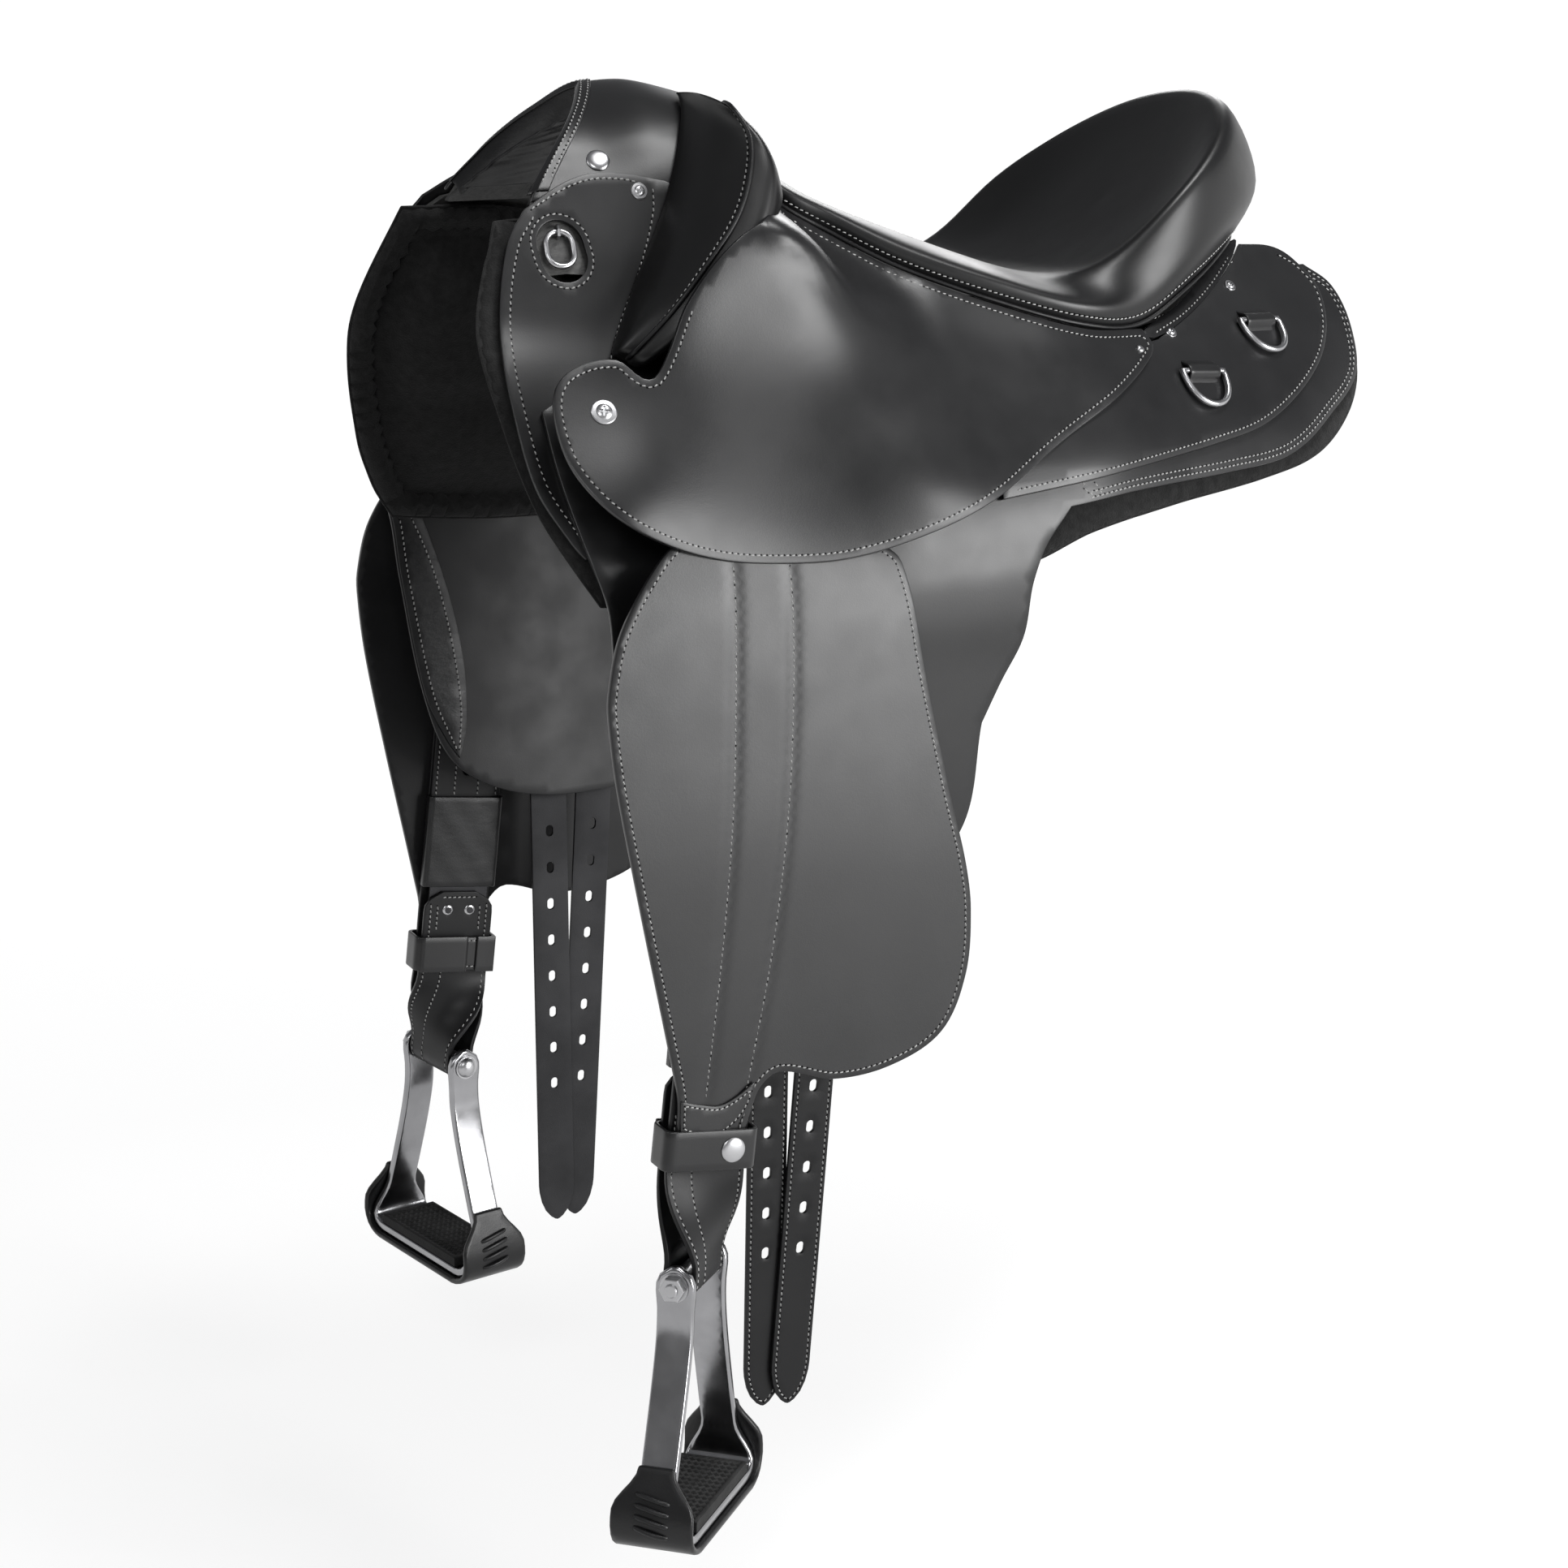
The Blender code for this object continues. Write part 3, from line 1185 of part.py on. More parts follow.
def bolt_with_nut(stirrup, round_part, nut_part):
    """Turned bolt with its spacer sleeve, ending in a six sided nut."""
    rings = []
    for part, flat in ((round_part, False), (nut_part, True)):
        for w, radius in part:
            ring = []
            for k in range(12):
                a = 2 * math.pi * k / 12
                reach = radius * math.cos(math.pi / 6) if flat and k % 2 and radius > BOLT_R else radius
                ring.append(stirrup.at(w, reach * math.cos(a), reach * math.sin(a)))
            rings.append(ring)
    return loft(rings)


# Rings, their keepers, and the hanger bolts

DEES = {"front": ((323, -41), -4), "rear": ((388.5, -15.5), -2)}
DEE_ARM = 30.0
RING_HALF_W = 8.0
RING_HALF_H = 10.5
RING_LIFT = 2.6


def on_layer(offset, x, z, sign=-1):
    return surface_frame(layer(offset), x, z, sign)


def dee_place(which):
    """Middle of the bar, outward, downhill and bar directions on the near side."""
    (x, z), _ = DEES[which]
    centre, normal, fall = on_layer(REAR_SKIRT_OUT, x, z)
    slope = {"front": (30, -2), "rear": (27, -1)}[which]
    ahead, _, _ = on_layer(REAR_SKIRT_OUT, x + slope[0], z + slope[1])
    bar = (ahead - centre)
    bar = (bar - normal * bar.dot(normal)).normalized()
    fall = normal.cross(bar)
    if fall.z > 0:
        fall.negate()
    return centre + normal * (GAP + RING_WIRE), normal, fall, bar


def make_rings(dee_parents, ring_parents):
    for which in DEES:
        centre, normal, fall, bar = dee_place(which)
        half = DEE_W / 2
        path = [centre + bar * half * k / 2 for k in (2, 1, 0, -1, -2)]
        path += [centre - bar * half * math.cos(a) + fall * DEE_H * math.sin(a) ** 0.8
                 for a in (math.pi * k / 12 for k in range(1, 12))]
        shape = wire_ring(path, RING_WIRE, normal, 6)
        pair(f"dee_{which}", [shape], "bright_steel", dee_parents[which])
    for which in DEES:
        centre, normal, fall, bar = dee_place(which)
        lift = GAP + RING_WIRE
        inner = ((-DEE_ARM, 0.0), (-14, 0.0), (-6.5, 0.2), (-3.4, lift), (-2.0, lift + 2.2), (0, lift + 2.6),
                 (2.0, lift + 2.2), (3.4, lift), (5.5, 0.2), (8.5, 0.0))
        outer = ((-DEE_ARM, 2.2), (-14, 2.2), (-7.6, 2.6), (-5.0, lift + 1.4), (-3.2, lift + 3.9),
                 (0, lift + 4.9), (3.2, lift + 3.9), (5.0, lift + 1.4), (7.2, 2.4), (8.5, 2.2))
        foot = centre - normal * lift

        def line(profile, share):
            row = []
            for along, high in profile:
                flat = foot + fall * along + bar * 10 * share
                x, z = flat.x, flat.z
                base, n, _ = on_layer(REAR_SKIRT_OUT, x, z)
                row.append(base + n * (high + GAP))
            return row

        shares = (-1, 0, 1)
        keeper = shell_between([line(outer, s) for s in shares], [line(inner, s) for s in shares])
        pair(f"dee_keeper_{which}", [keeper], "smooth_leather")
    centre, normal, fall, level = front_ring_place()
    path = []
    for a, b in rounded_box(RING_HALF_H, RING_HALF_W, RING_HALF_W - 0.2, 4):
        path.append(centre + fall * (RING_HALF_H + a) + level * b)
    pair("front_ring", [wire_ring(path, 1.7, normal, 6)], "bright_steel", ring_parents)


def front_ring_place():
    """Top bar of the ring in the facing's slot."""
    centre, normal, fall = on_layer(-GAP, SLOT_CENTRE[0], SLOT_CENTRE[1] + RING_HALF_H - 1)
    ahead, _, _ = on_layer(-GAP, SLOT_CENTRE[0] + 4, SLOT_CENTRE[1] + RING_HALF_H - 1)
    level = ahead - centre
    level = (level - normal * level.dot(normal)).normalized()
    fall = normal.cross(level)
    if fall.z > 0:
        fall.negate()
    return centre + normal * RING_LIFT, normal, fall, level


def staple():
    """Wire arch that holds the ring's top bar against the tree."""
    centre, normal, fall, level = front_ring_place()
    reach = 1.7 + GAP + 1.1
    path = [centre - normal * (RING_LIFT - GAP) - fall * reach]
    path += [centre + (normal * math.sin(a) - fall * math.cos(a)) * reach
             for a in (math.pi * k / 6 for k in range(7))]
    path += [centre - normal * (RING_LIFT - GAP) + fall * reach]
    rings = []
    for i, p in enumerate(path):
        run = (path[min(i + 1, len(path) - 1)] - path[max(i - 1, 0)]).normalized()
        out = run.cross(level)
        rings.append([p + (out * math.cos(2 * math.pi * k / 6) + level * math.sin(2 * math.pi * k / 6)) * 1.1
                      for k in range(6)])
    return loft(rings)


def make_bolts():
    """Ring staples, and the bolts that the hangers swing on."""
    pair("ring_staple", [staple()], "bright_steel")
    head = HANGER_LINE[1][1] + HANGER_T / 2 + GAP
    washer = HANGER_LINE[1][1] - HANGER_T / 2 - GAP
    profile = [(body(0, 0) - 5.5, HANGER_BOLT_R), (washer - 4.6, HANGER_BOLT_R), (washer - 4.6, 7.0),
               (washer, 7.0), (washer, HANGER_BOLT_R), (head, HANGER_BOLT_R), (head, 8.2), (head + 3.2, 7.2)]
    pair("hanger_bolt", [disc(Vector((0, 0, 0)), Vector((0, -1, 0)), profile, sides=14)], "bright_steel")


def side_pivots(name, place):
    x, y, z = place
    return {"left": pivot(f"{name}_left", (x, -abs(y), z)), "right": pivot(f"{name}_right", (x, abs(y), z))}


def main():
    remove_all()
    make_panels()
    make_side_leather()
    make_tree()
    make_pommel()
    make_knee_pads()
    make_seat()
    girths = {which: side_pivots(f"girth_{which}_pivot", (top[0], girth_face(which, top[1]), top[1]))
              for which, (top, _) in GIRTH_PLACES.items()}
    make_girth(girths)
    fenders = side_pivots("fender_pivot", (0, HANGER_LINE[1][1], 0))
    sleeve_mid = (SLEEVE_SPAN[0] + SLEEVE_SPAN[1]) / 2
    sleeves = {side: pivot(f"sleeve_pivot_{side}", Lane(side).at(sleeve_mid, 0, inner_depth(sleeve_mid)))
               for side in SIDES}
    make_fenders(fenders, sleeves)
    stirrups = {side: pivot(f"stirrup_pivot_{side}", Lane(side).pin()) for side in SIDES}
    make_stirrups(stirrups)
    dees = {which: side_pivots(f"dee_{which}_pivot", dee_place(which)[0]) for which in DEES}
    rings = side_pivots("front_ring_pivot", front_ring_place()[0])
    make_rings(dees, rings)
    make_bolts()


main()
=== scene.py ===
# %% [markdown]
# Half breed saddle
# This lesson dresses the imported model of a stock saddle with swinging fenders.
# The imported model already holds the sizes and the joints, so each cell below only adds looks:
# finer leather sheets, stuffed pads, stitching, metal fittings, and the finishes on them.
# Lengths and tables are in millimetres, as on a saddler's bench; Blender gets metres.

# %% Load the fixed frame
import math

import bmesh
import bpy
import numpy as np
from mathutils import Matrix, Vector
from mathutils.geometry import delaunay_2d_cdt


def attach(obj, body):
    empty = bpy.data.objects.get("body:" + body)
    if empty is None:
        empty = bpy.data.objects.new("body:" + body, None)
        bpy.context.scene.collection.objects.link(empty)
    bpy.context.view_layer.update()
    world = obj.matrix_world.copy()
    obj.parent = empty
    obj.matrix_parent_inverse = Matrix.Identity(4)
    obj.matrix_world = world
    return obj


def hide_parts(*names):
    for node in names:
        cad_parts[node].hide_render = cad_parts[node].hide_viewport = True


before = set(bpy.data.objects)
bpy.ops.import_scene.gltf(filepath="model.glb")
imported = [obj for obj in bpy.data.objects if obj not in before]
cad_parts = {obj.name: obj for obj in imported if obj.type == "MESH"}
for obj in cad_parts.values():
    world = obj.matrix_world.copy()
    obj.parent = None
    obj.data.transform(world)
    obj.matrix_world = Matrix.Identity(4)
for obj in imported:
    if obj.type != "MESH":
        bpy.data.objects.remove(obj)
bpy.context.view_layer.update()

MM = 0.001
SIDES = {"left": -1, "right": 1}

# %% [markdown]
# The camera stands where the photographer stood: ahead of the saddle, on its near side, a little above.
# A long lens 2 m away gives the photograph's mild perspective.

# %% Camera
AZIMUTH, ELEVATION, DISTANCE = math.radians(-26), math.radians(14), 2.0
TARGET = Vector((0.103, 0.0, -0.310))
LENS_MM = 36 * 3800 / 1932

back = Vector((math.sin(AZIMUTH) * math.cos(ELEVATION), -math.cos(AZIMUTH) * math.cos(ELEVATION),
               math.sin(ELEVATION)))
camera_data = bpy.data.cameras.new("camera")
camera_data.lens = LENS_MM
camera = bpy.data.objects.new("camera", camera_data)
bpy.context.collection.objects.link(camera)
camera.location = TARGET + back * DISTANCE
camera.rotation_euler = back.to_track_quat("Z", "Y").to_euler()
bpy.context.scene.camera = camera
bpy.context.scene.view_settings.view_transform = "Standard"
print("camera at", [round(c, 3) for c in camera.location])

# %% [markdown]
# Black leather shows its shape only by what it reflects, so the lamps are large soft panels: a broad
# one beside the near side, a small one below it, one above, and three weak ones from the camera's
# left, from the front and from behind. The camera, metal and glass see floor and wall as white.

# %% Lamps, floor and sky
FLOOR_Z, STUDIO_R = -0.80, 4.2


def panel_lamp(name, place, aim, size, power):
    data = bpy.data.lights.new(name, "AREA")
    data.shape = "RECTANGLE"
    data.size, data.size_y = size
    data.energy = power
    lamp = bpy.data.objects.new(name, data)
    bpy.context.collection.objects.link(lamp)
    lamp.location = place
    lamp.rotation_euler = (Vector(place) - Vector(aim)).to_track_quat("Z", "Y").to_euler()
    lamp.visible_camera = False


for lamp in (("side_panel", (1.5, -2.0, 0.35), (0.05, -0.15, -0.15), (1.1, 1.1), 56),
             ("low_panel", (1.15, -2.4, -0.35), (0.0, -0.2, -0.3), (0.7, 0.6), 20),
             ("top_panel", (0.7, -0.8, 2.3), (0.15, -0.1, 0), (1.3, 0.6), 46),
             ("left_panel", (-1.5, -2.1, 1.3), (0, -0.1, -0.2), (0.8, 0.8), 18),
             ("front_panel", (-2.4, -0.2, 0.9), (0, 0, -0.1), (0.5, 1.2), 8),
             ("back_panel", (1.8, 2.0, 1.0), (0.1, 0, -0.2), (0.8, 0.8), 12)):
    panel_lamp(*lamp)


def new_finish(name, base, roughness, metallic=0.0, specular=0.5):
    paint = bpy.data.materials.new(name)
    paint.use_nodes = True
    shader = paint.node_tree.nodes["Principled BSDF"]
    shader.inputs["Base Color"].default_value = (*base, 1)
    shader.inputs["Roughness"].default_value = roughness
    shader.inputs["Metallic"].default_value = metallic
    shader.inputs["Specular IOR Level"].default_value = specular
    place = paint.node_tree.nodes.new("ShaderNodeTexCoord")
    return paint, paint.node_tree, shader, place.outputs["Object"]


def new_node(tree, kind, inputs, output=0, operation=None):
    """New node, its inputs set to a number or linked to a socket; returns one of its outputs."""
    node = tree.nodes.new(kind)
    if operation:
        node.operation = operation
    for name, value in inputs.items():
        if isinstance(value, bpy.types.NodeSocket):
            tree.links.new(value, node.inputs[name])
        else:
            node.inputs[name].default_value = value
    return node.outputs[output]


def seen_white(tree, place, near_level, far_level, mirrored):
    """Emission for the camera and for what metal and glass show, growing as the lamps fade with distance."""
    rays = tree.nodes.new("ShaderNodeLightPath").outputs
    seen = rays["Is Camera Ray"]
    for name in ("Is Glossy Ray", "Is Transmission Ray"):
        shown = new_node(tree, "ShaderNodeMath", {0: rays[name], 1: mirrored}, operation="MULTIPLY")
        seen = new_node(tree, "ShaderNodeMath", {0: seen, 1: shown}, operation="MAXIMUM")
    reach = new_node(tree, "ShaderNodeVectorMath", {0: place}, "Value", "LENGTH")
    level = new_node(tree, "ShaderNodeMapRange", {"Value": reach, "From Min": 0.9, "From Max": 3.0,
                                                  "To Min": near_level, "To Max": far_level}, "Result")
    return new_node(tree, "ShaderNodeMath", {0: seen, 1: level}, operation="MULTIPLY")


def background_paint(name, colour, near_level, far_level, mirrored=1.0):
    paint, tree, shader, place = new_finish(name, (colour, colour, colour), 0.95, specular=0.0)
    shader.inputs["Emission Color"].default_value = (1, 1, 1, 1)
    tree.links.new(seen_white(tree, place, near_level, far_level, mirrored), shader.inputs["Emission Strength"])
    return paint


world = bpy.data.worlds.new("studio")
bpy.context.scene.world = world
world.use_nodes = True
sky = world.node_tree.nodes["Background"].inputs
sky["Color"].default_value, sky["Strength"].default_value = (0.86, 0.87, 0.9, 1), 0.22

bpy.ops.mesh.primitive_circle_add(vertices=96, radius=STUDIO_R, fill_type="NGON", location=(0, 0, FLOOR_Z))
floor = bpy.context.object
floor.name = "floor"
floor.data.materials.append(background_paint("floor_white", 0.30, 0.74, 0.97))

WALL_SPAN, WALL_TOP, WALL_R, WALL_STEPS = math.radians(92), 1.1, 4.19, 96


def backdrop(name, middle, half_span, mirrored):
    """Part of a round white wall."""
    turns = np.linspace(middle - half_span, middle + half_span, WALL_STEPS + 1)
    points = [(WALL_R * math.cos(t), WALL_R * math.sin(t), z) for z in (FLOOR_Z, WALL_TOP) for t in turns]
    mesh = bpy.data.meshes.new(name)
    mesh.from_pydata(points, [], [(k, k + 1, k + len(turns) + 1, k + len(turns)) for k in range(WALL_STEPS)])
    mesh.materials.append(background_paint(name + "_white", 0.10, 0.99, 0.99, mirrored))
    wall = bpy.data.objects.new(name, mesh)
    bpy.context.collection.objects.link(wall)
    return wall


backdrop("backdrop", AZIMUTH + math.pi / 2, WALL_SPAN, 1.0)
backdrop("backdrop_front", AZIMUTH - math.pi / 2, math.pi - WALL_SPAN, 0.25)
print("lamps:", len(bpy.data.lights))

# %% [markdown]
# Every finish is procedural and reads Object coordinates, so its grain has a real size in metres.
# Leather has three scales: a slow change of tone, the pores, and fine creases between them.

# %% Finishes
def noise(tree, place, scale, detail, stretch=None):
    if stretch:
        place = new_node(tree, "ShaderNodeMapping", {"Vector": place, "Scale": stretch})
    return new_node(tree, "ShaderNodeTexNoise", {"Vector": place, "Scale": scale, "Detail": detail}, "Fac")


def pores(tree, place, scale):
    return new_node(tree, "ShaderNodeTexVoronoi", {"Vector": place, "Scale": scale}, "Distance")


def spread(tree, value, low, high, stops=(0.3, 0.7)):
    """A value turned into a colour or a grey between two ends."""
    ramp = tree.nodes.new("ShaderNodeValToRGB")
    for element, stop, tone in zip(ramp.color_ramp.elements, stops, (low, high)):
        element.position = stop
        element.color = (*((tone,) * 3 if isinstance(tone, float) else tone), 1)
    tree.links.new(value, ramp.inputs["Fac"])
    return ramp.outputs["Color"]


def bump(tree, shader, heights):
    """Chain of bumps; heights are (value, strength, distance in mm)."""
    below = {}
    for value, strength, distance in heights:
        below["Normal"] = new_node(tree, "ShaderNodeBump", {"Strength": strength, "Distance": distance * MM,
                                                            "Height": value, **below}, "Normal")
    tree.links.new(below["Normal"], shader.inputs["Normal"])


def leather(name, dark, light, gloss, pore_size, pore_depth, specular, crease=0.0):
    paint, tree, shader, place = new_finish(name, dark, gloss[0], specular=specular)
    tree.links.new(spread(tree, noise(tree, place, 14, 5), dark, light), shader.inputs["Base Color"])
    tree.links.new(spread(tree, noise(tree, place, 40, 6), *gloss, (0.35, 0.65)), shader.inputs["Roughness"])
    heights = [(noise(tree, place, 55, 6, (1, 1, 2.2)), 0.5, crease)] if crease else []
    bump(tree, shader, heights + [(pores(tree, place, 1000 / pore_size), 0.3, pore_depth),
                                  (noise(tree, place, 300, 5), 0.2, 0.08)])
    return paint


SOFT_DARK, SOFT_LIGHT = (0.003, 0.003, 0.0033), (0.006, 0.006, 0.0065)
HARNESS, STRAP, FLESH, SEATING, LINING, WRAP = (leather(*numbers) for numbers in (
    ("black_harness_leather", (0.0055, 0.0055, 0.006), (0.011, 0.011, 0.0115), (0.33, 0.37), 0.9, 0.05, 0.42),
    ("black_strap_leather", (0.0035, 0.0035, 0.004), (0.007, 0.007, 0.0075), (0.40, 0.48), 0.8, 0.06, 0.25),
    ("dyed_flesh_side", (0.018, 0.018, 0.019), (0.042, 0.042, 0.044), (0.8, 0.92), 0.7, 0.2, 0.2),
    ("soft_seat_leather", (0.002, 0.002, 0.0022), (0.0035, 0.0035, 0.0038), (0.36, 0.40), 0.8, 0.03, 0.42),
    ("soft_lining_leather", SOFT_DARK, SOFT_LIGHT, (0.36, 0.46), 1.3, 0.08, 0.32, 1.2),
    ("stirrup_wrap_leather", SOFT_DARK, SOFT_LIGHT, (0.32, 0.40), 1.0, 0.08, 0.35, 0.4)))


def metal(name, colour, gloss, brushed=0.0):
    paint, tree, shader, place = new_finish(name, colour, gloss[0], 1.0)
    tree.links.new(spread(tree, noise(tree, place, 60, 6), *gloss), shader.inputs["Roughness"])
    dull = tuple(0.8 * c for c in colour)
    tree.links.new(spread(tree, noise(tree, place, 35, 6), dull, colour), shader.inputs["Base Color"])
    if brushed:
        bump(tree, shader, [(noise(tree, place, 120, 4, (1, 1, 12)), 0.15, brushed)])
    return paint


def grainy(name, grey, roughness, specular, tone, heights):
    """A dull finish; tone is (scale, detail, dark, light, stretch), heights are (grain, its numbers, bump)."""
    paint, tree, shader, place = new_finish(name, (grey, grey, grey), roughness, specular=specular)
    scale, detail, dark, light, *stretch = tone
    tree.links.new(spread(tree, noise(tree, place, scale, detail, *stretch), dark, light),
                   shader.inputs["Base Color"])
    bump(tree, shader, [(grain(tree, place, *numbers), *depth) for grain, numbers, depth in heights])
    return paint


SERGE = grainy("black_wool_serge", 0.006, 0.95, 0.2, (160, 6, 0.004, 0.013),
               [(noise, (38, 5, (1.6, 1, 0.8)), (0.6, 2.4)), (noise, (900, 8), (0.7, 0.8))])
fuzz = SERGE.node_tree.nodes["Principled BSDF"].inputs
fuzz["Sheen Weight"].default_value, fuzz["Sheen Roughness"].default_value = 0.06, 0.6
THREAD = grainy("grey_waxed_thread", 0.36, 0.55, 0.4, (700, 3, 0.24, (0.44, 0.44, 0.43)),
                [(noise, (2600, 2), (0.5, 0.15))])
RUBBER = grainy("tread_rubber", 0.012, 0.8, 0.3, (90, 5, 0.008, 0.022), [(pores, (900,), (0.4, 0.3))])
MOULDING = grainy("moulded_fibreglass", 0.03, 0.55, 0.5, (220, 8, 0.02, (0.05, 0.05, 0.048), (1, 4, 1)),
                  [(noise, (500, 6, (1, 5, 1)), (0.5, 0.4))])
FOAM = grainy("grey_foam", 0.10, 0.95, 0.2, (120, 4, 0.07, 0.12), [(pores, (1300,), (0.8, 0.5))])
STEEL = metal("plated_steel", (0.46, 0.46, 0.47), (0.26, 0.34))
# Painted reflection: the polished aluminium's colour is kept dark to stand in for the dark surroundings it
# would reflect.
ALUMINIUM = metal("polished_aluminium", (0.33, 0.33, 0.34), (0.16, 0.26), 0.01)
# Buckle steel painted near black, so the plate that shows between sleeve and strap end reads dark.
DARK_STEEL = metal("near_black_buckle_steel", (0.04, 0.04, 0.042), (0.35, 0.45))
# Painted shade: the awl holes are flat black grains that stand in for the shade inside each hole.
AWL_HOLE_SHADE = new_finish("awl_hole_painted_shade", (0.001, 0.001, 0.001), 0.9, specular=0.1)[0]
print("finishes:", [m.name for m in bpy.data.materials][-12:])

# %% [markdown]
# The side leathers lie on one shared body shape, given by half breadths of the saddle at nine stations.
# A smooth curve through those numbers gives the surface anywhere, and each layer of leather is the
# same surface moved out by what lies under it.

# %% Smooth curves through the bench numbers
def hermite(t, start, lead, end, trail):
    """Cubic from start to end that leaves along lead and arrives along trail."""
    return (start * (1 + 2 * t) * (1 - t) ** 2 + lead * t * (1 - t) ** 2
            + end * t * t * (3 - 2 * t) + trail * t * t * (t - 1))


def through(knots_x, knots_y, x):
    """Monotone cubic through knots; knots_y may hold one row of values per knot."""
    x = np.atleast_1d(np.asarray(x, float))
    xs = np.asarray(knots_x, float)
    ys = np.asarray(knots_y, float)
    if ys.ndim == 1:
        ys = np.repeat(ys[:, None], len(x), 1)
    gap = np.diff(xs)[:, None]
    chord = np.diff(ys, axis=0) / gap
    slope = np.empty_like(ys)
    slope[0], slope[-1] = chord[0], chord[-1]
    before, after = chord[:-1], chord[1:]
    total = np.where(np.abs(before + after) < 1e-12, 1.0, before + after)
    slope[1:-1] = np.where(before * after <= 0, 0.0, 2 * before * after / total)
    i = np.clip(np.searchsorted(xs, x, "right") - 1, 0, len(xs) - 2)
    n = np.arange(len(x))
    width = xs[i + 1] - xs[i]
    t = (x - xs[i]) / width
    y0, y1, m0, m1 = ys[i, n], ys[i + 1, n], slope[i, n] * width, slope[i + 1, n] * width
    inner = hermite(t, y0, m0, y1, m1)
    low = ys[0, n] + (x - xs[0]) * chord[0][n]
    high = ys[-1, n] + (x - xs[-1]) * chord[-1][n]
    return np.where(x < xs[0], low, np.where(x > xs[-1], high, inner))


def floats(*values):
    """Numbers or arrays as arrays of one shape."""
    return np.broadcast_arrays(*(np.atleast_1d(v).astype(float) for v in values))


def unit(vectors):
    """Rows of vectors made 1 long."""
    return vectors / (np.linalg.norm(vectors, axis=-1, keepdims=True) + 1e-12)


def ease(low, high, x):
    t = np.clip((x - low) / (high - low), 0, 1)
    return t * t * (3 - 2 * t)


def smooth_line(points, step=4.0, closed=True):
    """Smooth line through points; a point with a final True is a corner."""
    corner = [len(p) > 2 and p[-1] is True for p in points]
    pos = [Vector(p[:-1] if c else p) for p, c in zip(points, corner)]
    count = len(pos)
    line = []
    for i in range(count if closed else count - 1):
        a, b = pos[i], pos[(i + 1) % count]
        run = (b - a).length
        before = pos[i - 1] if closed or i else a
        after = pos[(i + 2) % count] if closed or i + 2 < count else b
        lead = (b - a) if corner[i] else (b - before).normalized() * run
        trail = (b - a) if corner[(i + 1) % count] else (after - a).normalized() * run
        steps = max(1, round(run / step))
        for k in range(steps):
            line.append(hermite(k / steps, a, lead, b, trail))
    if not closed:
        line.append(pos[-1])
    return line


def open_line(points, step=4):
    return smooth_line(points, step, False)


# %% The saddle's side surface and its layers
HALF_BREADTH = {
    -140: ((64, 80), (6, 108), (-19, 125), (-45, 139), (-80, 153), (-108, 167), (-130, 178), (-200, 186)),
    -60: ((74, 82), (40, 98), (6, 112), (-45, 139), (-80, 156), (-108, 170), (-130, 180), (-200, 188)),
    0: ((60, 86), (30, 100), (0, 116), (-30, 133), (-60, 150), (-90, 166), (-125, 181), (-200, 190)),
    100: ((50, 78), (20, 102), (0, 118), (-30, 142), (-60, 163), (-90, 180), (-125, 191), (-200, 195)),
    200: ((40, 70), (20, 92), (0, 112), (-30, 140), (-60, 162), (-90, 180), (-125, 190), (-200, 194)),
    300: ((40, 42), (20, 66), (0, 88), (-30, 118), (-60, 142), (-90, 160), (-125, 172), (-200, 178)),
    400: ((40, 20), (20, 46), (0, 66), (-30, 95), (-60, 118), (-90, 135), (-125, 146), (-200, 154)),
    480: ((30, 16), (20, 28), (0, 46), (-30, 70), (-60, 88), (-90, 102), (-125, 112), (-200, 120)),
    540: ((30, 8), (20, 18), (0, 34), (-30, 54), (-60, 68), (-90, 80), (-125, 90), (-200, 98)),
}
STATIONS = [(x, *zip(*sorted(rows))) for x, rows in sorted(HALF_BREADTH.items())]
ARCH_Z, LAYER_GAP = 60.0, 0.8
FACING_T, FLAP_T, REAR_SKIRT_T, JOCKEY_T, FENDER_T = 2.6, 2.6, 3.5, 4.0, 4.0
FACING_OUT = LAYER_GAP + FACING_T
FLAP_IN = FACING_OUT + LAYER_GAP
FLAP_OUT = FLAP_IN + FLAP_T
REAR_SKIRT_OUT = FLAP_OUT + LAYER_GAP + REAR_SKIRT_T
FENDER_LEAN = math.radians(6.5)
FENDER_LINE = ((0, 139), (30, 153.5), (60, 175), (90, 194.5), (120, 209.5), (150, 215.5), (200, 218.5),
    (300, 221.5), (400, 222), (600, 223))
FLAP_BEND = ((-345, -20), (-300, -14.5), (-250, -9), (-200, -3.5), (-165, 0.6), (-145, 1.4), (-130, 0))


def body(x, z):
    x, z = floats(x, z)
    return through([s[0] for s in STATIONS], np.array([through(s[1], s[2], z) for s in STATIONS]), x)


def stretch(surface, x, z, step=2.0):
    """How much further apart two faces lie sideways than square to the surface."""
    along, down = surface(x + step, z) - surface(x - step, z), surface(x, z + step) - surface(x, z - step)
    return np.sqrt(1 + (along * along + down * down) / (4 * step * step))


def layer(offset, surface=body):
    return lambda x, z: surface(x, z) + offset * stretch(surface, x, z)


def free_flap(x, z):
    bend = np.where(z < -130, through(*zip(*FLAP_BEND), z), 0.0)
    return layer(FLAP_IN)(x, np.maximum(z, -130)) + bend


def fender_line(length):
    return through(*zip(*FENDER_LINE), length)


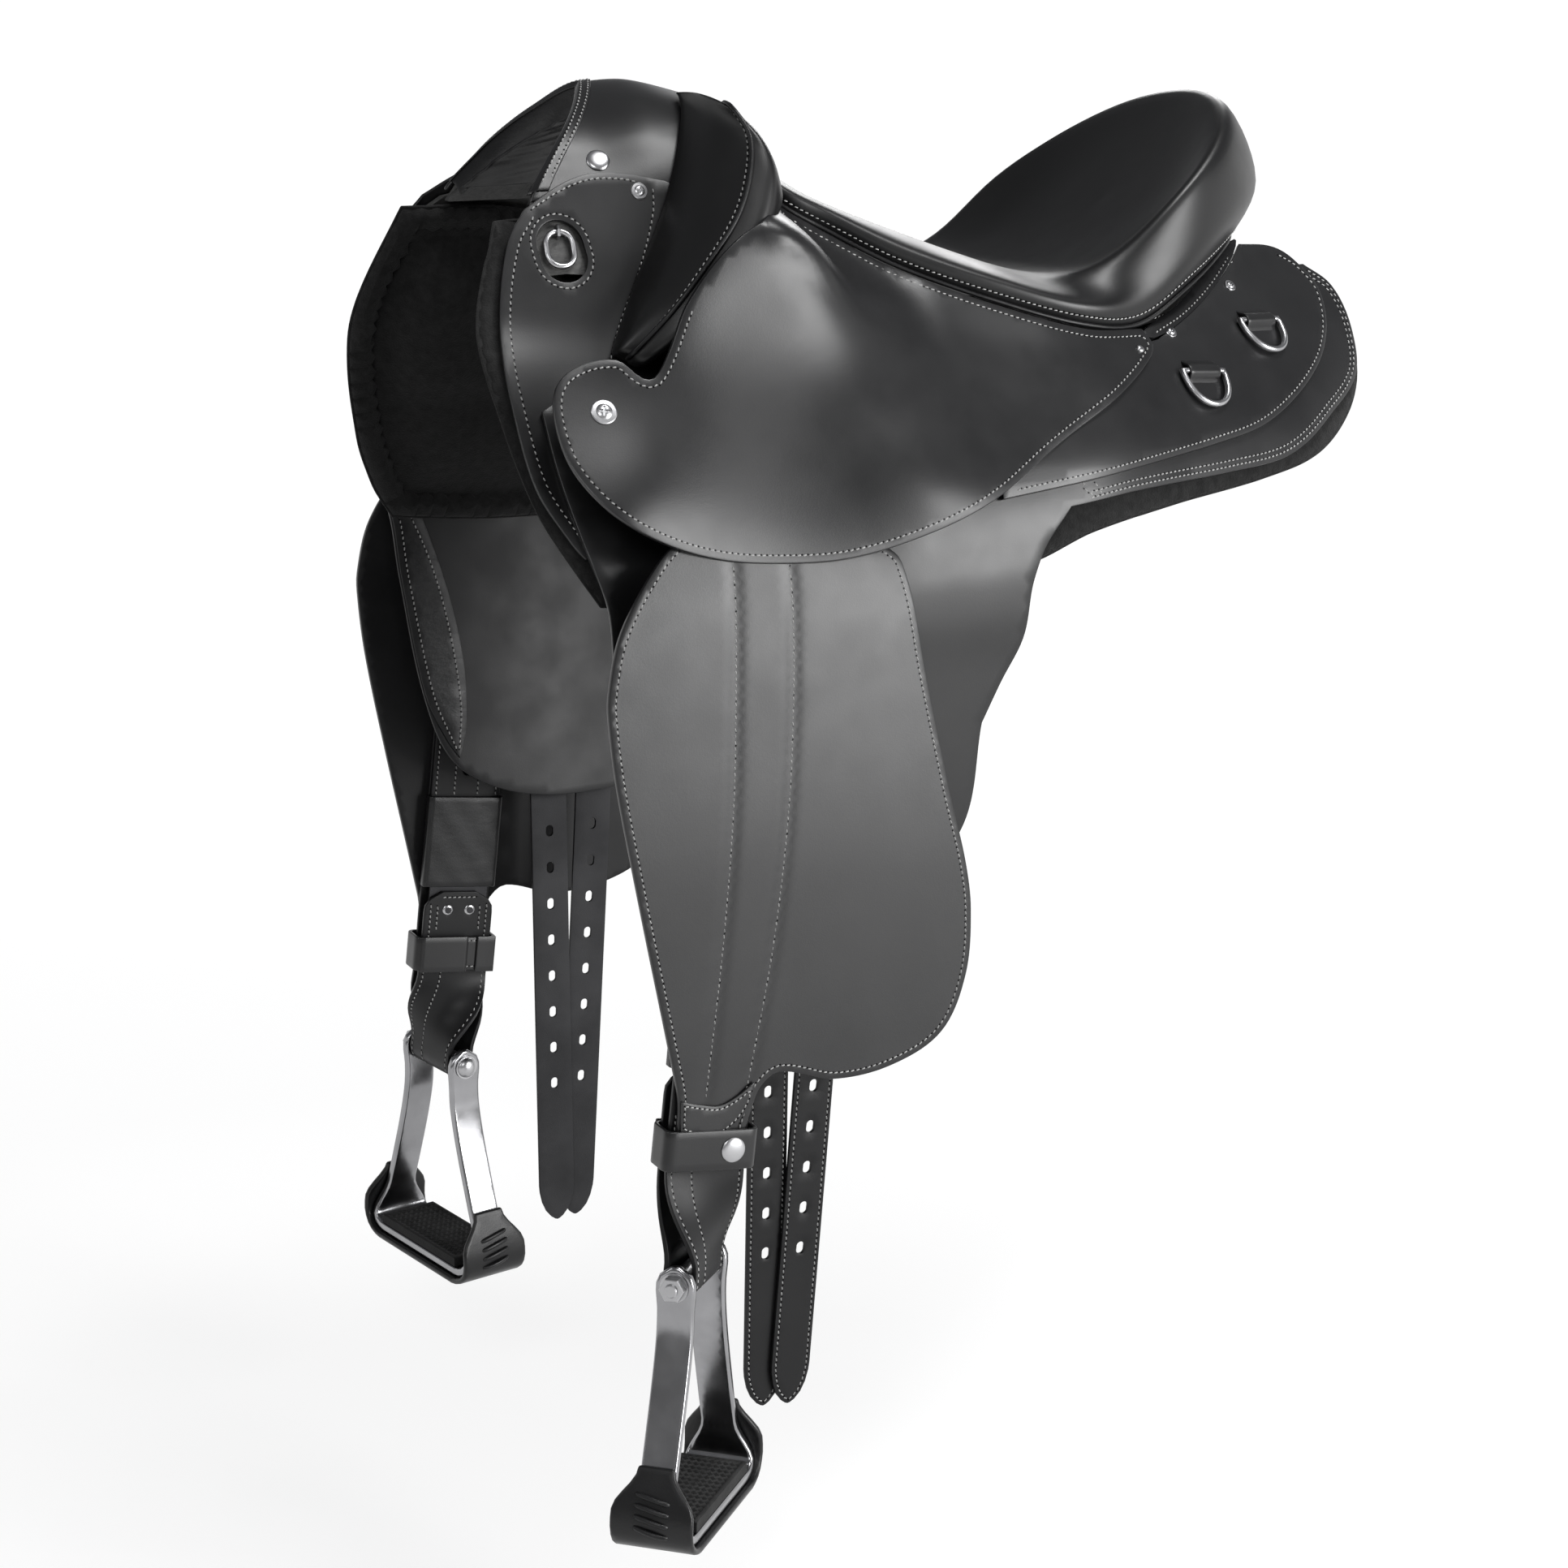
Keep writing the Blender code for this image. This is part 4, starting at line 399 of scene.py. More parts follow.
def jockey_inner(x, z):
    """Lies on the flap, and bulges over everything that the swinging fender sweeps."""
    clear = FLAP_OUT + LAYER_GAP + (REAR_SKIRT_OUT - FLAP_OUT) * ease(112, 142, x)
    base = body(x, z) + clear * stretch(body, x, z)
    reach = np.hypot(x, z)
    rise = fender_line(reach) + 0.8 - base
    share = np.where(z < 0, ease(0.35, 0.9, -z / (np.abs(x) + 0.001)), 0.0)
    share = np.maximum(share, 1 - ease(50, 85, reach)) * (1 - ease(150, 250, np.abs(x)))
    return base + share * 0.5 * (rise + np.sqrt(rise * rise + 16.0))


def jockey_outer(x, z):
    return jockey_inner(x, z) + JOCKEY_T * stretch(jockey_inner, x, z)


def blurred(grid, width):
    reach = int(3 * width) + 1
    kernel = np.exp(-0.5 * (np.arange(-reach, reach + 1) / width) ** 2)
    kernel /= kernel.sum()
    for axis in (0, 1):
        padded = np.pad(grid, [(reach, reach) if a == axis else (0, 0) for a in (0, 1)], mode="edge")
        grid = np.apply_along_axis(lambda line: np.convolve(line, kernel, "valid"), axis, padded)
    return grid


JOCKEY_STEP = 3.0
JOCKEY_X = np.arange(-135, 306, JOCKEY_STEP)
JOCKEY_Z = np.arange(-140, 85, JOCKEY_STEP)


def settled_jockey(fixed_line):
    """The jockey's face after wet leather has settled over what it covers: hollows fill, ridges round off.
    Along the fixed line, where it joins the seat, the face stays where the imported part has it."""
    x, z = np.meshgrid(JOCKEY_X, JOCKEY_Z, indexing="ij")
    cad = jockey_outer(x.ravel(), z.ravel()).reshape(x.shape)
    face = cad
    for width in (16, 14, 12, 10, 8):
        face = np.maximum(cad - 2.5, blurred(face, width))
    face = blurred(face, 6)
    fixed = np.array([tuple(p) for p in fixed_line])
    spots = np.stack([x.ravel(), z.ravel()], 1)
    away = np.linalg.norm(spots[:, None] - fixed[None], axis=2).min(1).reshape(x.shape)
    free = ease(2, 42, away) * (1 - ease(205, 250, x))
    return cad + (face - cad) * free


def jockey_face(x, z):
    x, z = floats(x, z)
    i = np.clip((x - JOCKEY_X[0]) / JOCKEY_STEP, 0, len(JOCKEY_X) - 1.001)
    j = np.clip((z - JOCKEY_Z[0]) / JOCKEY_STEP, 0, len(JOCKEY_Z) - 1.001)
    i0, j0 = i.astype(int), j.astype(int)
    u, v = i - i0, j - j0
    return ((1 - u) * (1 - v) * JOCKEY_FACE[i0, j0] + u * (1 - v) * JOCKEY_FACE[i0 + 1, j0]
            + (1 - u) * v * JOCKEY_FACE[i0, j0 + 1] + u * v * JOCKEY_FACE[i0 + 1, j0 + 1])


def fender_outer(x, z):
    return fender_line(-x * math.sin(FENDER_LEAN) - z * math.cos(FENDER_LEAN))


print("half breadth at the hanger bolts:", round(float(body(0, 0)[0]), 1), "mm")

# %% [markdown]
# A sheet of leather is cut from its outline, laid on its surface, given its thickness with Solidify
# and its slightly rounded cut edge with Bevel. Cutting a free outline with holes into even small
# triangles is a job for a Delaunay fill, which keeps the shading smooth where the leather bends.

# %% Helpers that cut, lay and finish a sheet
def as_arrays(loop):
    return np.array([[p.x, p.y] for p in loop])


def inside(points, loop):
    a = as_arrays(loop)
    b = np.roll(a, -1, 0)
    px, py = points[:, 0:1], points[:, 1:2]
    crosses = (a[:, 1] > py) != (b[:, 1] > py)
    rise = np.where(b[:, 1] == a[:, 1], 1e-9, b[:, 1] - a[:, 1])
    return (crosses & (px < (b[:, 0] - a[:, 0]) * (py - a[:, 1]) / rise + a[:, 0])).sum(1) % 2 == 1


def edge_distance(points, loop):
    a = as_arrays(loop)
    d = np.roll(a, -1, 0) - a
    best = np.full(len(points), 1e9)
    for (ax, ay), (dx, dy) in zip(a, d):
        t = np.clip(((points[:, 0] - ax) * dx + (points[:, 1] - ay) * dy) / max(dx * dx + dy * dy, 1e-9), 0, 1)
        best = np.minimum(best, np.hypot(points[:, 0] - ax - t * dx, points[:, 1] - ay - t * dy))
    return best


def triangulated(points, edges):
    verts, _, faces, *_ = delaunay_2d_cdt(points, edges, [], 1, 1e-5)
    return as_arrays(verts), [tuple(f) for f in faces]


def filled(loop, holes=(), grid=7.0):
    """Small even triangles over an outline with holes."""
    rings = [list(loop)] + [list(h) for h in holes]
    points, edges = [], []
    for ring in rings:
        first = len(points)
        points += ring
        edges += [(first + i, first + (i + 1) % len(ring)) for i in range(len(ring))]
    low, high = as_arrays(loop).min(0), as_arrays(loop).max(0)
    row_gap, free = 0.87 * grid, 0.45 * grid
    seeds = []
    for row in np.arange(math.ceil(low[1] / row_gap), math.ceil(high[1] / row_gap)):
        xs = (np.arange(math.floor(low[0] / grid), math.ceil(high[0] / grid) + 1) + 0.5 * (row % 2)) * grid
        seeds.append(np.stack([xs, np.full(len(xs), row * row_gap)], 1))
    seeds = np.concatenate(seeds)
    keep = inside(seeds, loop) & (edge_distance(seeds, loop) > free)
    for hole in holes:
        keep &= ~inside(seeds, hole) & (edge_distance(seeds, hole) > free)
    points += [Vector(p) for p in seeds[keep]]
    flat, tris = triangulated(points, edges)
    if holes:
        middles = np.array([flat[list(f)].mean(0) for f in tris])
        solid = np.ones(len(tris), bool)
        for hole in holes:
            solid &= ~inside(middles, hole)
        tris = [f for f, s in zip(tris, solid) if s]
    return flat, tris


def new_piece(name, points, faces, finish):
    mesh = bpy.data.meshes.new(name)
    mesh.from_pydata([tuple(p) for p in np.asarray(points, float) * MM], [], faces)
    mesh.validate()
    mesh.materials.append(finish)
    piece = bpy.data.objects.new(name, mesh)
    bpy.context.collection.objects.link(piece)
    return piece


def only(piece):
    bpy.ops.object.select_all(action="DESELECT")
    piece.select_set(True)
    bpy.context.view_layer.objects.active = piece


def joined(first, *others):
    only(first)
    for other in others:
        other.select_set(True)
    bpy.ops.object.join()
    return first


def welded(piece, gap=2e-6, recalculate=True):
    """Points that coincide become one, and the normals of a closed shape agree and point out."""
    bm = bmesh.new()
    bm.from_mesh(piece.data)
    bmesh.ops.remove_doubles(bm, verts=bm.verts, dist=gap)
    if recalculate:
        bmesh.ops.recalc_face_normals(bm, faces=bm.faces)
    bm.to_mesh(piece.data)
    bm.free()
    return piece


def turned_to(piece, wanted):
    """A sheet whose faces look the wanted way, given as a function of the place."""
    if sum(p.normal.dot(wanted(p.center)) for p in piece.data.polygons) < 0:
        piece.data.flip_normals()
    return piece


def finish_mesh(piece, *steps, angle=38):
    """Adds modifiers from (type, settings), applies them, and shades smooth by angle."""
    only(piece)
    for kind, settings in steps:
        modifier = piece.modifiers.new(kind.lower(), kind)
        for key, value in settings.items():
            setattr(modifier, key, value)
        bpy.ops.object.modifier_apply(modifier=modifier.name)
    bpy.ops.object.shade_smooth_by_angle(angle=math.radians(angle))
    return piece


def rounded(width, segments=2, angle=50):
    return ("BEVEL", {"width": width * MM, "segments": segments, "limit_method": "ANGLE",
                      "angle_limit": math.radians(angle)})


def thickened(piece, thickness, edge, segments=2, corner=50, angle=38):
    """Thickness added behind a face, and its cut edge rounded."""
    return finish_mesh(piece, ("SOLIDIFY", {"thickness": thickness * MM, "offset": -1.0}),
                       rounded(edge, segments, corner), angle=angle)


def dress(piece, body_name, slot_name=None, *nodes):
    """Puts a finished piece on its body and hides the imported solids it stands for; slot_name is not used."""
    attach(piece, body_name)
    if nodes:
        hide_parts(*nodes)
    return piece


def mirror_copy(piece, name):
    """The off side twin of a near side piece, with its own mesh."""
    twin = piece.copy()
    twin.data = piece.data.copy()
    twin.name = name
    twin.data.name = name
    bpy.context.collection.objects.link(twin)
    twin.data.transform(Matrix.Scale(-1, 4, (0, 1, 0)))
    twin.data.flip_normals()
    return twin


def lay_on(surface):
    """Places on the near side of a surface given as half breadths."""
    def place(x, z):
        return np.stack([x, -surface(x, z), z], 1)
    return place


def normals_of(place, a, b, step=1.5):
    da = place(a + step, b) - place(a - step, b)
    db = place(a, b + step) - place(a, b - step)
    return unit(np.cross(da, db))


def sheet(name, loop, place, thickness, finish, holes=(), grid=7.0, edge=0.7):
    """A leather sheet whose outer face is at place(a, b); its thickness goes inward."""
    flat, tris = filled(loop, holes, grid)
    points = place(flat[:, 0], flat[:, 1])
    a, b, c = (points[list(k)] for k in zip(*tris))
    facing = np.cross(b - a, c - a).sum(0)
    wanted = normals_of(place, flat[:, 0], flat[:, 1]).sum(0)
    if facing @ wanted < 0:
        tris = [f[::-1] for f in tris]
    return thickened(new_piece(name, points, tris, finish), thickness, edge)


# %% [markdown]
# Stitching is real geometry: one short grain of waxed thread for each stitch, half sunk in the
# leather and slanted a little against its row, as a saddler's awl sets it. A row is an outline moved
# in from its edge, or a line of its own, stepped off at the pitch of the stitches.

# %% Helpers for rows of stitches
STITCH_PITCH, STITCH_L, STITCH_W, STITCH_H, SLANT = 3.6, 2.35, 1.0, 0.45, 0.22
HOLE = (1.15, 1.25, 0.07)


def travelled(points):
    """Distance along a line at each of its points."""
    return np.concatenate([[0], np.cumsum(np.linalg.norm(np.diff(points, axis=0), axis=1))])


def inset_line(line, distance, closed=True):
    """Line moved sideways; positive goes to the inside of a closed outline."""
    p = as_arrays(line)
    if closed:
        run = np.roll(p, -1, 0) - np.roll(p, 1, 0)
        area = 0.5 * np.sum(p[:, 0] * np.roll(p[:, 1], -1) - np.roll(p[:, 0], -1) * p[:, 1])
    else:
        run = np.gradient(p, axis=0)
        area = 1.0
    side = unit(run)[:, ::-1] * (-1, 1) * (1 if area > 0 else -1)
    moved = p + side * distance
    if closed:
        moved = moved[edge_distance(moved, line) > abs(distance) * 0.93]
    return [Vector(q) for q in moved]


def stepped(line, pitch, closed):
    """Points at an even pitch along a line, and the line's direction at each."""
    p = as_arrays(line)
    if closed:
        p = np.vstack([p, p[:1]])
    along = travelled(p)
    count = max(2, int(along[-1] / pitch))
    at = (np.arange(count) + 0.5) * along[-1] / count
    here, ahead, behind = (np.stack([np.interp(at + reach, along, axis) for axis in p.T])
                           for reach in (0, 0.8, -0.8))
    return (*here, *unit((ahead - behind).T).T)


GRAIN = ((-1, 0, 0), (-0.6, -0.8, 0.1), (-0.6, 0, 1), (-0.6, 0.8, 0.1), (0.6, -0.8, 0.1), (0.6, 0, 1),
    (0.6, 0.8, 0.1), (1, 0, 0))
GRAIN_FACES = ((0, 2, 1), (0, 3, 2), (1, 2, 5, 4), (2, 3, 6, 5), (4, 5, 7), (5, 6, 7), (0, 1, 4, 7),
    (0, 7, 6, 3))


class Stitching:
    """Collects the stitches of one piece, then makes them one mesh."""

    def __init__(self, away_from_arch=False):
        self.points, self.faces, self.is_hole, self.count = [], [], [], 0
        self.away_from_arch = away_from_arch

    def grains(self, places, normals, runs, length=STITCH_L):
        """A stitch at each place, and ahead of it a black grain that paints the shade in the awl's hole."""
        runs = unit(runs)
        turned = runs * math.cos(SLANT) + np.cross(normals, runs) * math.sin(SLANT)
        side = np.cross(normals, turned)
        for p, n, r, s in zip(places, normals, turned, side):
            self.grain(p, n, r, s, (length, STITCH_W, STITCH_H), False)
            self.grain(p + r * (length + HOLE[0] + 0.09) / 2, n, r, s, HOLE, True)
            self.count += 1

    def grain(self, p, n, r, s, size, is_hole):
        start, (length, width, height) = len(self.points), size
        self.points += [p + r * (length / 2 * u) + s * (width / 2 * v) + n * (height * w + 0.02)
                        for u, v, w in GRAIN]
        self.faces += [tuple(i + start for i in f) for f in GRAIN_FACES]
        self.is_hole += [is_hole] * len(GRAIN_FACES)

    def row(self, line, place, closed=False, pitch=STITCH_PITCH):
        a, b, da, db = stepped(line, pitch, closed)
        here, normals = place(a, b), normals_of(place, a, b)
        if self.away_from_arch:
            out = (here - (0, 0, ARCH_Z)) * (0, 1, 1)
            normals *= np.sign((normals * out).sum(1))[:, None]
        self.grains(here, normals, place(a + da, b + db) - here, pitch * STITCH_L / STITCH_PITCH)

    def make(self, name):
        piece = new_piece(name, np.array(self.points), self.faces, THREAD)
        # The hole grains take the black finish, which is painted shade in the awl holes.
        piece.data.materials.append(AWL_HOLE_SHADE)
        piece.data.polygons.foreach_set("material_index", [int(h) for h in self.is_hole])
        return finish_mesh(welded(piece), angle=60)


def stitch_pair(name, stitching, body_name="saddle"):
    """One mesh of thread on each side."""
    print(name, "stitches:", stitching.count)
    both_sides(name, stitching.make(name + "_left"), None, body_name, ())


def stitched(name, place, *lines, body_name="saddle", **options):
    """Rows on one surface, as a pair of meshes."""
    rows = Stitching()
    for line in lines:
        rows.row(line, place, **options)
    stitch_pair(name, rows, body_name)


def both_sides(name, near, slot_name, body_name="saddle", nodes=None):
    """A near side piece and its off side twin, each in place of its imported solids, if it has any."""
    pair = near, mirror_copy(near, name + "_right")
    for piece, side in zip(pair, SIDES):
        dress(piece, body_name.format(side), slot_name,
              *(f"{n}_{side}" for n in ((name,) if nodes is None else nodes)))
    print(name, "triangles:", len(near.data.polygons))
    return pair


def darken_inside(piece, finish):
    """The inner face of a near side sheet takes a finish of its own; on the sweat flap that darker finish is
    painted shade.
    """
    piece.data.materials.append(finish)
    for polygon in piece.data.polygons:
        polygon.material_index = int(polygon.normal.y > 0.4)


def oval(x, z, length, width, sides=24, lean=0.0):
    ring = []
    for a in np.linspace(0, 2 * math.pi, sides, endpoint=False):
        u, v = width / 2 * math.sin(a), width / 2 * math.cos(a)
        v += math.copysign((length - width) / 2, v)
        ring.append(Vector((x + u * math.cos(lean) + v * math.sin(lean),
                            z - u * math.sin(lean) + v * math.cos(lean))))
    return ring

# %% [markdown]
# The side leathers in the order a saddler lays them: facing, sweat flap, rear skirt, jockey and fender.
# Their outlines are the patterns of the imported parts, drawn with a smooth line instead of short chords.

# %% Patterns of the side leathers
FACING_OUTLINE = ((-103, 67, True), (-116, 49), (-129, 6), (-133, -28), (-127, -80), (-112, -111),
    (-106, -119, True), (-60, -112), (0, -108), (100, -104), (180, -98), (260, -92), (340, -86),
    (405, -80), (450, -60), (472, -40), (472, -10), (455, 12), (400, 12), (345, -4), (290, -14),
    (230, -12), (170, 2), (110, 26), (60, 50), (6, 72), (-14, 81, True), (-38, 85.5), (-60, 86), (-80, 80))
RING_SLOT = oval(-85, 44, 34, 28, 40, math.radians(-8))
HANGER_WINDOW = oval(12, -18, 84, 72, 40)
FLAP_OUTLINE = ((-117, -40, True), (-115, -63), (-111, -89), (-104, -122), (-96, -150), (-92, -190),
    (-80, -270), (-62, -315), (-25, -338), (30, -346), (90, -338), (132, -300), (141, -234, True),
    (152, -210), (165, -184), (170, -150), (180, -128), (198, -108, True), (248, -103), (332, -99),
    (385, -94), (434, -74), (472, -53), (482, -24), (479, 1), (461, 15, True), (400, 14), (345, -1),
    (290, -16), (230, -34), (150, -60), (90, -58), (52, -62), (0, -64), (-52, -62), (-80, -40), (-100, -34))
REAR_SKIRT_OUTLINE = ((150, -100, True), (186, -96), (248, -89), (320, -81), (366, -73), (414, -53),
    (446, -31), (461, -2), (452, 16), (436, 27), (407, 30, True), (380, 13), (340, -4), (300, -20, True),
    (240, -28), (180, -45), (150, -80, True))
JOCKEY_OUTLINE = ((-81, -11), (-106, -15), (-119, -27), (-122, -50), (-117, -70), (-101, -90), (-74, -107),
    (-39, -119), (0, -124), (40, -124), (84, -115), (142, -95), (192, -72), (250, -46), (281, -30),
    (289, -22), (285, -12.8, True), (238, -9.8), (181, 6.2), (127, 26.2), (86, 48.2), (52, 67),
    (36, 73, True), (-6, 51), (-36, 20), (-51, -8), (-61, -21), (-68, -21))
FENDER_OUTLINE = ((-50, -99, True), (-76, -118), (-101, -154), (-110, -189), (-110, -207), (-106, -244),
    (-94, -311), (-75, -409), (-72, -429), (-74, -454, True), (-33, -459, True), (-26, -440), (-20, -427),
    (-8, -420), (28, -430), (66, -427), (99, -411), (115, -378), (118, -338), (114, -308), (104, -268),
    (88, -194), (76, -129), (66, -119), (40, -104, True), (0, -93))


def facing_surface(x, z):
    """On the panel below; its top edge laps over the pommel cover."""
    low = layer(FACING_OUT)(x, z)
    forward = (x + 50) / 40
    angle = np.degrees(np.arctan2(z - 60, 80))
    radius = 86.4 + 3 * forward - (0.40 - 0.13 * forward) * angle
    high = np.sqrt(np.maximum(radius ** 2 - (z - 60) ** 2, 1.0))
    return low + np.maximum(high - low, 0) * ease(52, 70, z)


facing_place = lay_on(facing_surface)
flap_place = lay_on(lambda x, z: free_flap(x, z) + FLAP_T * stretch(free_flap, x, z))
flap_inner_place = lay_on(free_flap)
skirt_place = lay_on(layer(REAR_SKIRT_OUT))
jockey_place = lay_on(jockey_face)
fender_place = lay_on(fender_outer)

# %% [markdown]
# The facing is the sheet that the ring slot is cut through; its front edge, its top edge and its rear
# edge beside the knee pad carry a row each, and the slot has a row of its own. The window under the
# jockey stays open for the hanger.

# %% Panel facing
facing_line = smooth_line(FACING_OUTLINE)
facing = sheet("panel_facing_left", facing_line, facing_place, FACING_T, HARNESS, [RING_SLOT, HANGER_WINDOW])
both_sides("panel_facing", facing, "smooth_leather")

front_row = open_line(((-100, 65.5), (-113, 48), (-126, 6), (-129.5, -28), (-123.5, -79),
                       (-109.5, -109)))
rear_row = open_line(((-71, -14), (-62, 3), (-44, 32), (-28, 64), (-25, 78)))
top_row = open_line(((-28, 79.5), (-39, 82.3), (-60, 82.8), (-79, 77.2), (-99, 67)))
rows = Stitching()
for line in (inset_line(front_row, 3.0, False), inset_line(rear_row, -3.4, False), top_row):
    rows.row(line, facing_place)
rows.row(oval(-85, 44, 40.5, 34.5, 48, math.radians(-8)), facing_place, closed=True)
stitch_pair("facing_stitches", rows)

# %% [markdown]
# The sweat flap hangs free below the panel. On its inner face a long blocker patch is stitched along
# the front edge, and the lower skirt behind it has a double row along its edge.

# %% Sweat flap
flap_line = smooth_line(FLAP_OUTLINE)
flap = sheet("sweat_flap_left", flap_line, flap_place, FLAP_T, HARNESS)
# Painted shade: the flap's inner face takes the darker strap leather where shade falls on it.
darken_inside(flap, STRAP)
both_sides("sweat_flap", flap, "smooth_leather")

lower_skirt = open_line(((212, -104), (248, -100), (332, -96), (384, -91), (432, -71.5), (468.5, -51.5),
                         (478.8, -24), (476, 0), (462, 11)))
stitched("lower_skirt_stitches", flap_place, lower_skirt, inset_line(lower_skirt, 3.2, False),
         [Vector((214, -103)), Vector((209, -99)), Vector((207, -90))],
         [Vector((221, -103)), Vector((217, -96)), Vector((217, -90))])
flap_edge = open_line(((-108, -62), (-104.5, -89), (-98, -122), (-90, -150), (-86, -190), (-74, -268),
                       (-60, -306)))
blocker = open_line(((-97, -122), (-84, -145), (-70, -180), (-60, -225), (-55, -275), (-58, -306)))


def flap_inside(x, z):
    return flap_inner_place(x, z) + np.array([0, 1.35, 0])


inner_rows = Stitching()
for line in (flap_edge[8:], blocker):
    x, z, dx, dz = stepped(line, STITCH_PITCH, False)
    here, normals = flap_inside(x, z), normals_of(flap_inside, x, z)
    inner_rows.grains(here, normals * np.sign(normals[:, 1:2]), flap_inside(x + dx, z + dz) - here)
stitch_pair("blocker_stitches", inner_rows)

patch_line = smooth_line(((-111, -92, True), (-104, -122), (-95, -150), (-91, -190), (-79.5, -268),
                          (-66, -300), (-58, -312, True), (-52, -290), (-51, -250), (-58, -205), (-70, -162),
                          (-86, -122), (-98, -98)), 5)
patch = sheet("blocker_patch_left", patch_line,
              lay_on(lambda x, z: free_flap(x, z) - 0.1), 1.2, LINING, grid=9, edge=0.4)
both_sides("blocker_patch", patch, "grained_leather", nodes=())

# %% [markdown]
# The rear skirt carries the dees. It starts under the jockey, so only its lower edge and its back
# edge show their row of stitches.

# %% Rear skirt
skirt_line = smooth_line(REAR_SKIRT_OUTLINE)
skirt = sheet("rear_skirt_left", skirt_line, skirt_place, REAR_SKIRT_T, HARNESS)
both_sides("rear_skirt", skirt, "smooth_leather")
skirt_row = open_line(((160, -99), *REAR_SKIRT_OUTLINE[1:9], (438, 25)))
stitched("rear_skirt_stitches", skirt_place, inset_line(skirt_row, 3.4, False),
         [Vector((303, -9)), Vector((332, -4))], [Vector((370, 13.5)), Vector((394, 20))])

# %% [markdown]
# The jockey is the broad sheet under the rider's thigh. It bulges over the hanger and the swinging
# fender, and its edge has one row, set in by the width of a creasing iron, left out where the knee pad sits.

# %% Jockey
jockey_line = smooth_line(JOCKEY_OUTLINE)
JOCKEY_FACE = settled_jockey(open_line(JOCKEY_OUTLINE[16:23]))
jockey = sheet("jockey_left", jockey_line, jockey_place, JOCKEY_T, HARNESS, grid=6, edge=0.9)
both_sides("jockey", jockey, "smooth_leather")
ring = inset_line(jockey_line, 4.2)
shown = [p.x > 42 or p.x < -33 or p.y < 0 for p in ring]
start = next(i for i in range(len(ring)) if shown[i] and not shown[i - 1])
stitched("jockey_stitches", jockey_place, [ring[(start + k) % len(ring)] for k in range(sum(shown))])

# %% [markdown]
# The fender hangs from the same bolt as the stirrup leather. Two long rows from top to bottom fix the
# strap behind it; the leather sinks a little along them, which is what the photograph's light shows.

# %% Fender
FENDER_ROWS = (((-31, -112), (-33, -190), (-36, -260), (-44, -345), (-55, -429)),
               ((4, -108), (3, -190), (-1, -260), (-12, -345), (-30, -432)))


def fender_sunk(x, z):
    away = np.min([np.abs(x - through(*zip(*[(z0, x0) for x0, z0 in row[::-1]]), z)) for row in FENDER_ROWS], 0)
    return fender_outer(x, z) - 0.9 * np.exp(-(away / 2.6) ** 2)


fender_edge = smooth_line(FENDER_OUTLINE)
fender = sheet("fender_left", fender_edge, lay_on(fender_sunk), FENDER_T, HARNESS, grid=4.5, edge=0.9)
darken_inside(fender, STRAP)
both_sides("fender", fender, "smooth_leather", "fender_assembly_{}")
rows = Stitching()
rows.row(inset_line(fender_edge, 4.0), fender_place, closed=True)
for row in FENDER_ROWS:
    rows.row(open_line(row, 5), lay_on(lambda x, z: fender_sunk(x, z) + 0.1))
stitch_pair("fender_stitches", rows, "fender_assembly_{}")

# %% [markdown]
# A folded leather patch closes the fender's foot, where the strap comes out from behind it.

# %% Fender foot patch
FOOT_PATCH = ((-71, -428, True), (-58, -432), (-47, -434), (-36, -430), (-25, -423, True), (-27, -434),
    (-34, -444), (-44, -451), (-52, -454), (-62, -450), (-72, -447, True))
foot_line = smooth_line(FOOT_PATCH, 3)
foot_place = lay_on(lambda x, z: fender_outer(x, z) + 1.7)
foot = sheet("fender_foot_patch_left", foot_line, foot_place, 1.6, HARNESS, grid=5, edge=0.4)
both_sides("fender_foot_patch", foot, "smooth_leather", "fender_assembly_{}", ())
stitched("fender_foot_stitches", foot_place, inset_line(foot_line, 2.2), body_name="fender_assembly_{}",
         closed=True, pitch=3.2)

# %% [markdown]
# Under the fender the girth web holds the two girth points. Each point is a plain strap with eight oval
# holes, a pointed tip and a row along both edges.

# %% Girth web and girth points
GIRTH_WEB_OUTLINE = ((50, -44, True), (76, -44, True), (78, -80), (76, -114.5, True), (-4, -114.5, True),
    (-4, -102), (4, -94), (30, -88), (48, -70))
web_place = lay_on(lambda x, z: free_flap(x, z) + (FLAP_OUT + 2.8 - FLAP_IN) * stretch(free_flap, x, z))
web = sheet("girth_web_left", smooth_line(GIRTH_WEB_OUTLINE), web_place, 2.0, STRAP)
both_sides("girth_web", web, "smooth_leather")

GIRTH_LINES = {
    "front": ((-655, 168.4), (-500, 172.4), (-400, 174.7), (-345, 176.4), (-330, 178), (-300, 181.1),
              (-250, 185.8), (-225, 188.2), (-200, 190.6), (-175, 193.4), (-150, 194.4), (-135, 193.8),
              (-125, 192.4), (-116, 190.9)),
    "rear": ((-655, 171.9), (-500, 175.9), (-400, 178.3), (-345, 180.3), (-330, 182.1), (-300, 185.5),
             (-250, 190.7), (-225, 193.3), (-200, 196), (-175, 199.1), (-150, 200.3), (-135, 199.8),
             (-125, 198.6), (-116, 197.5)),
}
GIRTH_PLACES = {"front": ((10, -116), (6, -655)), "rear": ((60, -116), (21, -655))}
GIRTH_T, GIRTH_HALF, GIRTH_TIP_L = 2.5, 13.0, 26
GIRTH_TIP = ((12.6, 21), (11, 13.5), (8.2, 7), (4.4, 2.4), (1.6, 0.5), (0, 0))


